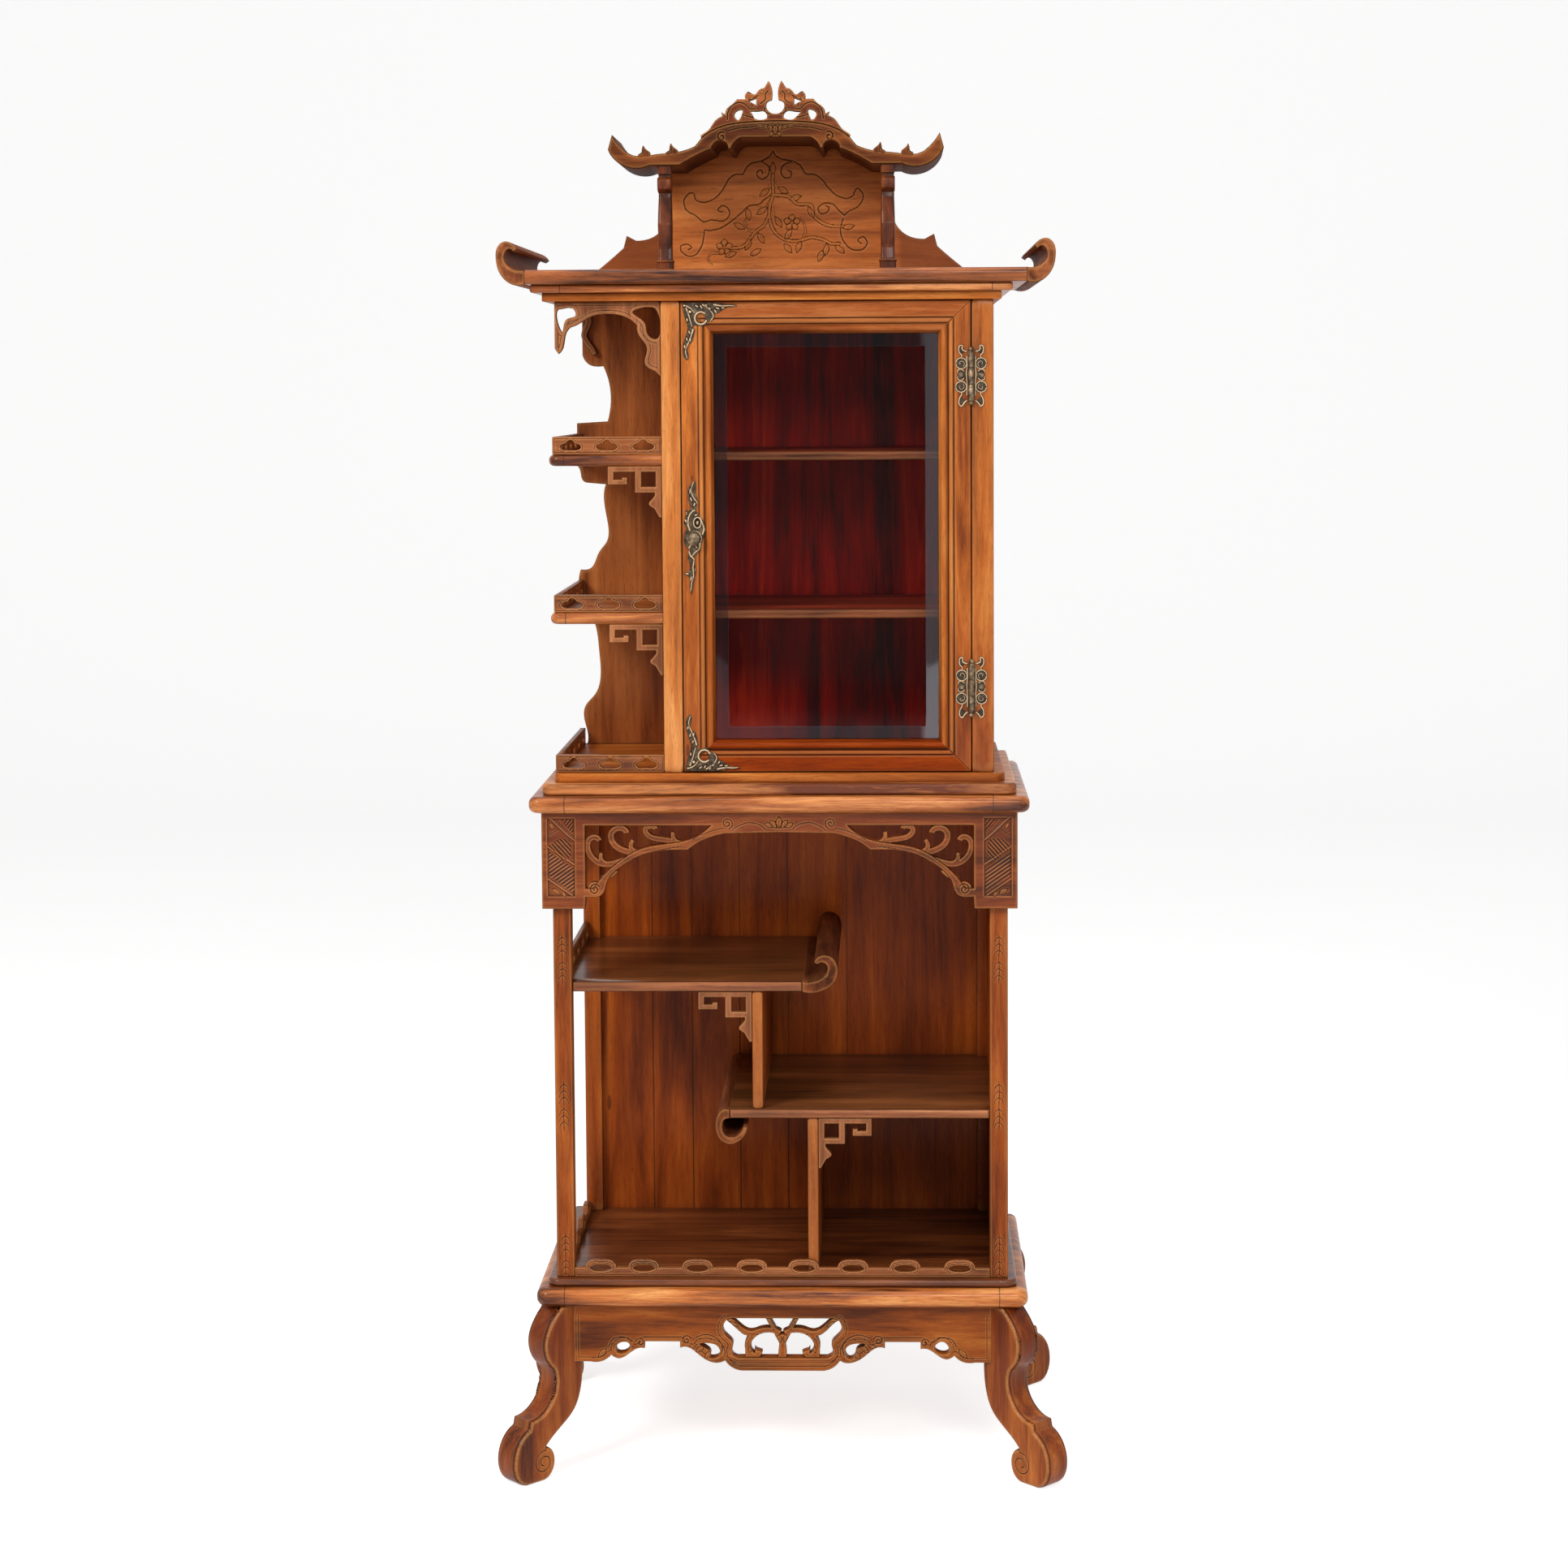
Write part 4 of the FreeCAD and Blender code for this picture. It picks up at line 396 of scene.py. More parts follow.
@dataclass
class Shell:
    """A mesh as arrays: its points in metres, its triangles and how deep each point lies."""
    points: Array
    triangles: Array
    carve: Array

    @staticmethod
    def of_node(name: str) -> "Shell":
        """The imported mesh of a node, with points that coincide made one."""
        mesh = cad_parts[name].data
        mesh.calc_loop_triangles()
        points = np.empty(len(mesh.vertices) * 3)
        mesh.vertices.foreach_get("co", points)
        corners = np.empty(len(mesh.loop_triangles) * 3, np.int32)
        mesh.loop_triangles.foreach_get("vertices", corners)
        points = points.reshape(-1, 3)
        _, first, merged = np.unique(np.round(points / SAME_PLACE).astype(np.int64), axis=0,
                                     return_index=True, return_inverse=True)
        triangles = merged.reshape(-1)[corners].reshape(-1, 3)
        whole = ((triangles[:, 0] != triangles[:, 1]) & (triangles[:, 1] != triangles[:, 2])
                 & (triangles[:, 0] != triangles[:, 2]))
        return Shell(points[first], triangles[whole], np.zeros(len(first)))

    def normals(self) -> Array:
        """Unit normals of the triangles: the cross product of two sides, made one long."""
        a, b, c = (self.points[self.triangles[:, side]] for side in range(3))
        cross = np.cross(b - a, c - a)
        return cross / np.maximum(np.linalg.norm(cross, axis=1, keepdims=True), 1e-18)

    def mesh(self, name: str) -> bpy.types.Mesh:
        """A Blender mesh of the shell, with its depths as the attribute carve."""
        used = np.unique(self.triangles)
        renumbered = np.full(len(self.points), -1)
        renumbered[used] = np.arange(len(used))
        mesh = bpy.data.meshes.new(name)
        mesh.vertices.add(len(used))
        mesh.vertices.foreach_set("co", self.points[used].astype(np.float32).ravel())
        triangles = renumbered[self.triangles]
        mesh.loops.add(triangles.size)
        mesh.loops.foreach_set("vertex_index", triangles.ravel().astype(np.int32))
        mesh.polygons.add(len(triangles))
        mesh.polygons.foreach_set("loop_start", np.arange(0, triangles.size, 3, dtype=np.int32))
        mesh.polygons.foreach_set("loop_total", np.full(len(triangles), 3, np.int32))
        carve = mesh.attributes.new("carve", "FLOAT", "POINT")
        carve.data.foreach_set("value", self.carve[used].astype(np.float32))
        mesh.update(calc_edges=True)
        mesh.validate()
        mesh.shade_smooth()
        mesh.set_sharp_from_angle(angle=SHARP)
        return mesh


def grid_shell(places: Array, closed_across: bool = False) -> Shell:
    """A shell from a grid of points, a row of them at each step along it.

    Args:
        places: points by row, column and coordinate, in metres.
        closed_across: whether each row runs back to its own first point.

    Returns:
        The shell, two triangles to each cell.
    """
    rows, columns = places.shape[:2]
    number = np.arange(rows * columns).reshape(rows, columns)
    if closed_across:
        number = np.column_stack([number, number[:, 0]])
    a, b = number[:-1, :-1].ravel(), number[:-1, 1:].ravel()
    c, d = number[1:, 1:].ravel(), number[1:, :-1].ravel()
    triangles = np.vstack([np.column_stack([a, b, c]), np.column_stack([a, c, d])])
    return Shell(places.reshape(-1, 3), triangles, np.zeros(rows * columns))


def capped(shell: Shell, around: int) -> Shell:
    """A tube made by grid_shell with a fan on each end, and its faces turned outwards.

    The sum of a . (b x c) over the triangles is six times the volume, and all of them are
    turned round where it is below zero.

    Args:
        shell: the tube, made row by row.
        around: points in each row.

    Returns:
        The closed tube.
    """
    count = len(shell.points)
    first, last = shell.points[:around].mean(0), shell.points[-around:].mean(0)
    here = np.arange(around)
    after = np.roll(here, -1)
    start = np.column_stack([np.full(around, count), after, here])
    end = np.column_stack([np.full(around, count + 1), count - around + here,
                           count - around + after])
    points = np.vstack([shell.points, first, last])
    triangles = np.vstack([shell.triangles, start, end])
    a, b, c = (points[triangles[:, corner]] - points.mean(0) for corner in range(3))
    if (a * np.cross(b, c)).sum() < 0:
        triangles = triangles[:, ::-1]
    return Shell(points, triangles, np.concatenate([shell.carve, [0.0, 0.0]]))


def prism(outline: Array, front: float, back: float) -> Shell:
    """A board cut to an outline in the plane that faces forwards.

    Args:
        outline: its corners in x and z, in metres, round a middle that sees them all.
        front, back: the Y of its two faces.

    Returns:
        Its shell.
    """
    count = len(outline)
    turn = np.roll(outline, -1, axis=0)
    if (outline[:, 0] * turn[:, 1] - outline[:, 1] * turn[:, 0]).sum() < 0:
        outline = outline[::-1]
    middle = outline.mean(0)
    flat = np.vstack([outline, middle])
    points = np.vstack([np.column_stack([flat[:, 0], np.full(count + 1, y), flat[:, 1]])
                        for y in (front, back)])
    here = np.arange(count)
    after = np.roll(here, -1)
    face = np.column_stack([here, after, np.full(count, count)])
    rear = np.column_stack([after, here, np.full(count, count)]) + count + 1
    rim = np.vstack([np.column_stack([after, here, here + count + 1]),
                     np.column_stack([after, here + count + 1, after + count + 1])])
    return Shell(points, np.vstack([face, rear, rim]), np.zeros(len(points)))


def bar(points: Sequence[Point], width: float, rise: float, origin: Point, back: float,
        ends: Point) -> Shell:
    """A half-round bar lying along a line on a face that looks forwards.

    At each step its section is half an oval: across the line half the width times cos(a),
    and out of the face the rise times sin(a).  Both shrink towards the ends as the root of
    1 - (1 - d/half)^2, d being the distance from the end.  Its crest is marked as rubbed
    and given a painted highlight, and its foot as hollow and given painted shade:
    1.5 sin(a)^2 - 0.75.

    Args:
        points: places on the line, in millimetres from the origin.
        width, rise: its size, in millimetres.
        origin: the x and z of the face's own zero, in metres.
        back: the Y of the face.
        ends: shares of the width at its first and last place.

    Returns:
        Its shell.
    """
    step = 0.7
    line = smooth_line(points, step)
    run = np.gradient(line, axis=0)
    run /= np.maximum(np.linalg.norm(run, axis=1, keepdims=True), 1e-9)
    side = np.column_stack([-run[:, 1], run[:, 0]])
    away = np.minimum(np.arange(len(line)), np.arange(len(line))[::-1]) * step
    near = np.clip(1 - away / (width / 2), 0, 1)
    size = np.linspace(*ends, len(line)) * np.sqrt(np.clip(1 - near**2, 0.004, 1))
    turn = np.linspace(0, np.pi, 11)
    places = np.empty((len(line), len(turn), 3))
    across = size[:, None] * width / 2 * np.cos(turn)
    places[..., 0] = origin[0] + (line[:, :1] + side[:, :1] * across) * MM
    places[..., 2] = origin[1] + (line[:, 1:] + side[:, 1:] * across) * MM
    places[..., 1] = back - (size[:, None] * rise * np.sin(turn)) * MM
    shell = capped(grid_shell(places, True), len(turn))
    # Painted highlight along the crest and painted shade along the foot, over rubbing and tarnish.
    shell.carve[:-2] = np.tile(1.5 * np.sin(turn)**2 - 0.75, len(line))
    return shell


def turned(profile: Sequence[Point], axis: tuple, upright: bool = True) -> Shell:
    """A shape turned about an upright or a forward axis: each row is a circle.

    Args:
        profile: radius and place along the axis, in millimetres, from one end to the other.
        axis: a point of the axis, in metres.
        upright: whether the axis stands upright, and not forwards.

    Returns:
        Its shell.
    """
    radius, along = np.asarray(profile, float).T * MM
    around = 24
    turn = np.linspace(0, 2 * np.pi, around, endpoint=False)
    ring = (radius[:, None] * np.cos(turn), radius[:, None] * np.sin(turn))
    step = np.broadcast_to(along[:, None], ring[0].shape)
    order = (ring[0], ring[1], step) if upright else (ring[0], -step, ring[1])
    return capped(grid_shell(np.stack(order, -1) + np.asarray(axis), True), around)


def joined(shells: Sequence[Shell]) -> Shell:
    """Several shells as one."""
    starts = np.cumsum([0] + [len(shell.points) for shell in shells[:-1]])
    return Shell(np.vstack([shell.points for shell in shells]),
                 np.vstack([shell.triangles + start for shell, start in zip(shells, starts)]),
                 np.concatenate([shell.carve for shell in shells]))


FRONT, BACK_SIDE = (0.0, -1.0, 0.0), (0.0, 1.0, 0.0)
LEFT, RIGHT = (-1.0, 0.0, 0.0), (1.0, 0.0, 0.0)
UPRIGHT = (FRONT, BACK_SIDE, LEFT, RIGHT)


@dataclass
class CarvedFace:
    """Works the flat faces that look one way into carved ones with rounded edges.

    Lengths are in millimetres, and the centre, the zero of the relief, is in metres.  A
    border is a groove's distance from the edge, its width and its depth.  A filled face
    loses its holes.  A face with polish_and_highlight is rubbed bright, with a painted
    highlight, where it stands as high as that, and its flat ground is darkened with
    tarnish and painted shade.
    """
    LOOKS = 0.9995
    ROW_STEP = 0.87
    RING_SHARES = (0.12, 0.45, 1.0)
    RIM_WEAR = 0.25
    facing: tuple = FRONT
    centre: tuple = (0.0, 0.0, 0.0)
    grid: float = 1.2
    arris: float = 1.2
    pillow: float = 0.0
    border: tuple | None = None
    border_span: Point = (-1e4, 1e4)
    relief: Relief | None = None
    filled: bool = False
    polish_and_highlight: float = 0.0

    def axes(self) -> tuple[Array, Array, Array]:
        """The face's own right and up directions, and the way it faces."""
        out = np.asarray(self.facing, float)
        out /= np.linalg.norm(out)
        up = np.array([0.0, 0.0, 1.0])
        return np.cross(up, out), up, out

    def edge_fall(self, away: Array) -> Array:
        """How far the face falls towards its edge.

        The arris is a quarter circle: r - sqrt(r^2 - (r-d)^2), d being the distance from
        the edge.  A pillow is the same curve over a larger width, laid on top.

        Args:
            away: distances from the edge, in millimetres.

        Returns:
            The heights, zero or less, in millimetres.
        """
        height = np.zeros(len(away))
        for reach, depth in ((self.arris, self.arris), (self.pillow, self.pillow * 0.45)):
            if reach > 0:
                short = np.clip(1 - away / reach, 0, 1)
                height -= depth * (1 - np.sqrt(np.clip(1 - short**2, 0, 1)))
        return height

    def border_line(self, places: Array, away: Array) -> Array:
        """A groove that keeps its distance from the edge: -depth(1 - q^2).

        Here q is the distance from the groove's middle over half its width, and the groove
        is left out above and below the border's span.

        Args:
            places: points of the face, in millimetres.
            away: their distances from the edge.

        Returns:
            Their heights, in millimetres.
        """
        if self.border is None:
            return np.zeros(len(places))
        distance, width, depth = self.border
        within = (places[:, 1] > self.border_span[0]) & (places[:, 1] < self.border_span[1])
        q = (away - distance) / (width / 2)
        return -depth * np.clip(1 - q**2, 0, None) * within

    def grid_points(self, starts: Array, ends: Array) -> Array:
        """Points inside the outline: a staggered grid, and rows that follow the edge.

        Args:
            starts, ends: the outline's segments, in millimetres.

        Returns:
            The points, and each keeps clear of the edge and of its neighbours.
        """
        low, high = starts.min(0), starts.max(0)
        columns = np.arange(low[0] + self.grid / 2, high[0], self.grid)
        rows = np.arange(low[1] + self.grid / 2, high[1], self.grid * self.ROW_STEP)
        x, z = np.meshgrid(columns, rows)
        x = x + (np.arange(len(rows))[:, None] % 2) * self.grid / 2
        field_points = np.column_stack([x.ravel(), z.ravel()])
        reach = max(self.arris, 0.5)
        field_points = field_points[inside(field_points, starts, ends)]
        away, _ = line_distance(field_points, starts, ends)
        kept = [field_points[away > reach + self.grid * 0.45]]
        run = ends - starts
        length = np.linalg.norm(run, axis=1)
        side = np.column_stack([-run[:, 1], run[:, 0]]) / np.maximum(length, 1e-9)[:, None]
        for share in self.RING_SHARES:
            count = np.maximum(1, np.round(length / self.grid)).astype(int)
            which = np.repeat(np.arange(len(run)), count)
            turn = np.arange(len(which)) - np.repeat(np.cumsum(count) - count, count)
            along = (turn + 0.5) / count[which]
            for way in (-1, 1):
                ring = (starts[which] + run[which] * along[:, None]
                        + side[which] * way * reach * share)
                ring = ring[inside(ring, starts, ends)]
                away, _ = line_distance(ring, starts, ends)
                ring = ring[away > reach * share * 0.9]
                cell = np.round(ring / (self.grid * 0.55)).astype(np.int64)
                _, first = np.unique(cell, axis=0, return_index=True)
                kept.append(ring[first])
        return np.vstack(kept)

    @staticmethod
    def outer(edge: Array, points: Array) -> Array:
        """The sides of the outline that the lowest point belongs to, without its holes."""
        reached = np.zeros(len(points), bool)
        reached[edge[points[edge[:, 0], 2].argmin(), 0]] = True
        while (touched := reached[edge].any(1) & ~reached[edge].all(1)).any():
            reached[edge[touched]] = True
        return edge[reached[edge[:, 0]]]

    def rim(self, chosen: Array, points: Array) -> Array:
        """The sides that only one of the chosen triangles has, as pairs of numbers."""
        sides = np.vstack([chosen[:, [0, 1]], chosen[:, [1, 2]], chosen[:, [2, 0]]])
        _, first, count = np.unique(np.sort(sides, axis=1), axis=0, return_index=True,
                                    return_counts=True)
        edge = sides[first[count == 1]]
        return self.outer(edge, points) if self.filled else edge

    def meshed(self, flat: Array, edge: Array) -> tuple[Array, Array, Array, Array]:
        """Fill an outline with triangles between its own points and those of the grid.

        Args:
            flat: every point of the shell in the face's plane, in millimetres.
            edge: the outline's sides, as pairs of point numbers.

        Returns:
            The points, the triangles, each point's distance from the edge, and the number
            that it has in the shell, or -1 if it is new.
        """
        starts, ends = flat[edge[:, 0]], flat[edge[:, 1]]
        rim, numbered = np.unique(edge.ravel(), return_inverse=True)
        every = np.vstack([flat[rim], self.grid_points(starts, ends)])
        made = delaunay_2d_cdt([Vector(place) for place in every.tolist()],
                               numbered.reshape(-1, 2).tolist(), [], 1, 1e-4)
        places, cells = np.array([tuple(place) for place in made[0]]), np.array(made[2])
        cells = cells[inside(places[cells].mean(1), starts, ends)]
        a, b, c = (places[cells[:, corner]] for corner in range(3))
        turn = (b[:, 0]-a[:, 0])*(c[:, 1]-a[:, 1]) - (b[:, 1]-a[:, 1])*(c[:, 0]-a[:, 0])
        cells[turn < 0] = cells[turn < 0][:, ::-1]
        origin = np.array([found[0] if found else -1 for found in made[3]])
        known = (origin >= 0) & (origin < len(rim))
        origin = np.where(known, rim[np.where(known, origin, 0)], -1)
        return places, cells, line_distance(places, starts, ends)[0], origin

    def carved(self, places: Array, cells: Array, away: Array) -> tuple[Array, Array]:
        """Carve the filled face.

        Args:
            places: its points, in millimetres.
            cells: its triangles.
            away: the points' distances from the edge.

        Returns:
            The points' heights in millimetres, and how deep each lies, from -1 to 1.
        """
        cut = self.border_line(places, away)
        if self.relief:
            cut = cut + self.relief.height(places)
        cut = cut * np.clip(away / max(self.arris, 0.3), 0, 1)
        height = self.edge_fall(away) + cut
        # Raised parts rubbed bright with a painted highlight, and the flat ground darkened with
        # tarnish and painted shade.
        if self.polish_and_highlight:
            return height, np.clip(1.3 * cut / self.polish_and_highlight - 0.42, -1, 1)
        shown = cut - 0.8 * self.relief.sunk(places) if self.relief else cut
        return height, self.hollowness(cells, height, shown)

    def work(self, shell: Shell) -> Shell:
        """Replace the shell's flat faces that look this way by carved ones.

        A face narrower than two cells of the grid is left as it is.

        Args:
            shell: the shell to work on.

        Returns:
            The worked shell.
        """
        right, up, out = self.axes()
        middle = np.asarray(self.centre)
        looks = shell.normals() @ out > self.LOOKS
        level = shell.points[shell.triangles].mean(1) @ out
        level = np.round(level / SAME_LEVEL).astype(np.int64)
        flat = np.column_stack([(shell.points - middle) @ right,
                                (shell.points - middle) @ up]) / MM
        points, triangles = shell.points.copy(), [shell.triangles[~looks]]
        carve, added = shell.carve.copy(), []
        total = len(points)
        for plane in np.unique(level[looks]):
            chosen = shell.triangles[looks & (level == plane)]
            edge = self.rim(chosen, shell.points)
            if len(edge) < 3 or np.ptp(flat[edge[:, 0]], axis=0).min() < 2 * self.grid:
                triangles.append(chosen)
                continue
            places, cells, away, origin = self.meshed(flat, edge)
            height, hollow = self.carved(places, cells, away)
            depth = shell.points[chosen[0, 0]] @ out - middle @ out
            world = (middle + places[:, :1] * MM * right + places[:, 1:] * MM * up
                     + out * (depth + height * MM)[:, None])
            old = origin >= 0
            points[origin[old]] = world[old]
            carve[origin[old]] = self.RIM_WEAR
            added.append((world, hollow))
            triangles.append(np.where(old, origin, np.arange(len(places)) + total)[cells])
            total += len(places)
        points = np.vstack([points] + [world for world, _ in added])
        carve = np.concatenate([carve] + [hollow for _, hollow in added])
        return Shell(points, np.vstack(triangles), carve)

    @staticmethod
    def hollowness(cells: Array, height: Array, carved: Array) -> Array:
        """How deep each point lies under its neighbours: below 0 in hollows, above on crests.

        It is the point's height less the mean height of the points it shares a side with,
        plus the same spread once to the neighbours, plus what is carved away there.

        Args:
            cells: the triangles between the points.
            height: the points' heights.
            carved: the part of the height that is carving.

        Returns:
            Values from -1 to 1.
        """
        ties = np.vstack([cells[:, [0, 1]], cells[:, [1, 2]], cells[:, [2, 0]]])
        ties = np.vstack([ties, ties[:, ::-1]])
        count = np.maximum(np.bincount(ties[:, 0], minlength=len(height)), 1)
        mean = np.bincount(ties[:, 0], height[ties[:, 1]], len(height)) / count
        curve = height - mean
        spread = np.bincount(ties[:, 0], curve[ties[:, 1]], len(height)) / count
        crisp, darkening = 4.0, 0.85
        return np.clip(crisp * (curve + spread) + darkening * np.minimum(carved, 0), -1, 1)


# Finishes

class Grain(Enum):
    """The axis that a board's grain runs along."""
    X = 0
    Y = 1
    Z = 2


class Nodes:
    """Short ways to add linked shader nodes to a material or a world."""

    def __init__(self, owner: bpy.types.Material | bpy.types.World) -> None:
        """Empty the owner's tree and keep it."""
        owner.use_nodes = True
        self.tree = owner.node_tree
        self.tree.nodes.clear()

    def add(self, kind: str, inputs: dict | None = None, **settings: object) -> bpy.types.Node:
        """Add a node.

        Args:
            kind: its type name without ShaderNode.
            inputs: sockets to set or link, by name or number.
            settings: its own properties.

        Returns:
            The node.
        """
        node = self.tree.nodes.new("ShaderNode" + kind)
        for name, value in settings.items():
            setattr(node, name, value)
        for name, value in (inputs or {}).items():
            if isinstance(value, Socket):
                self.tree.links.new(value, node.inputs[name])
            else:
                node.inputs[name].default_value = value
        return node

    def math(self, operation: str, *values: object, clamp: bool = False) -> Socket:
        """The result of a Math node on numbers or sockets."""
        node = self.add("Math", dict(enumerate(values)), operation=operation, use_clamp=clamp)
        return node.outputs[0]

    def ramp(self, value: object, stops: Sequence[tuple]) -> Socket:
        """The colour of a ramp at a value, from stops of (place, colour)."""
        node = self.add("ValToRGB", {"Fac": value})
        ramp = node.color_ramp
        ramp.interpolation = "LINEAR"
        while len(ramp.elements) < len(stops):
            ramp.elements.new(0.5)
        for element, (place, colour) in zip(ramp.elements, stops):
            element.position = place
            element.color = (*colour, 1)
        return node.outputs[0]

    def mix(self, share: object, one: object, two: object, blend: str = "MIX") -> Socket:
        """Two colours mixed by a share."""
        node = self.add("Mix", data_type="RGBA", blend_type=blend)
        for index, value in ((0, share), (6, one), (7, two)):
            if isinstance(value, Socket):
                self.tree.links.new(value, node.inputs[index])
            else:
                node.inputs[index].default_value = (
                    (*value, 1) if index > 0 and len(value) == 3 else value)
        return node.outputs[2]

    def noise(self, place: object, scale: float, detail: float = 4.0, rough: float = 0.55,
              distortion: float = 0.0) -> Socket:
        """The value of a noise texture."""
        return self.add("TexNoise", {"Vector": place, "Scale": scale, "Detail": detail,
                                     "Roughness": rough, "Distortion": distortion}).outputs[0]

    def place(self) -> Socket:
        """Object coordinates, which stay with the piece."""
        return self.add("TexCoord").outputs["Object"]

    def axis(self, place: object, number: int) -> Socket:
        """One coordinate of a place."""
        return self.add("SeparateXYZ", {0: place}).outputs[number]

    def attribute(self, name: str) -> Socket:
        """A number that the mesh holds at each of its points."""
        return self.add("Attribute", attribute_name=name,
                        attribute_type="GEOMETRY").outputs["Fac"]

    def total(self, start: float, *parts: tuple) -> Socket:
        """A number plus parts, each given as a socket and its weight."""
        for socket, weight in parts:
            start = self.math("ADD", start, self.math("MULTIPLY", socket, weight))
        return start

    def span(self, value: object, low: float, high: float, first: float = 0.0,
             last: float = 1.0) -> Socket:
        """A value carried evenly from low and high to first and last, and held there."""
        return self.add("MapRange", {"Value": value, "From Min": low, "From Max": high,
                                     "To Min": first, "To Max": last}).outputs[0]

    def over(self, under: object, colour: object, share: object, weight: float) -> Socket:
        """A colour laid over another one, by a share times a weight."""
        return self.mix(self.math("MULTIPLY", share, weight, clamp=True), under, colour)

    def bump(self, height: object, strength: float, distance: float, **more: object) -> Socket:
        """The normal of a surface that is uneven by a height."""
        return self.add("Bump", {"Height": height, "Strength": strength,
                                 "Distance": distance, **more}).outputs[0]

    def seen(self) -> Socket:
        """1 where the camera sees it, straight, through glass or mirrored, and 0 for light."""
        ray = self.add("LightPath").outputs
        straight = self.math("MAXIMUM", ray["Is Camera Ray"], ray["Is Transmission Ray"])
        return self.math("MAXIMUM", straight, ray["Is Glossy Ray"])

    def close(self, shader: Socket) -> None:
        """Link a shader to the material's output."""
        self.add("OutputMaterial", {"Surface": shader})


def linear(shown: str) -> Colour:
    """A colour written as a screen shows it, in six hexadecimal digits, as light values."""
    return tuple(part / 12.92 if part <= 0.04045 else ((part + 0.055) / 1.055) ** 2.4
                 for part in (byte / 255 for byte in bytes.fromhex(shown)))


@dataclass(frozen=True)
class Finish:
    """A finish, whose material is made once and then given again."""
    name: str

    def title(self, grain: Grain) -> str:
        """The material's name."""
        return self.name

    def material(self, grain: Grain) -> bpy.types.Material:
        """The finish's material.

        Args:
            grain: the axis that the grain runs along, which only wood heeds.

        Returns:
            The material, made at the first call.
        """
        material = bpy.data.materials.get(self.title(grain))
        if material is None:
            material = bpy.data.materials.new(self.title(grain))
            nodes = Nodes(material)
            nodes.close(self.shader(nodes, grain))
        return material

    def shader(self, nodes: Nodes, grain: Grain) -> Socket:
        """The shader, which each kind of finish makes from its own nodes."""
        raise NotImplementedError


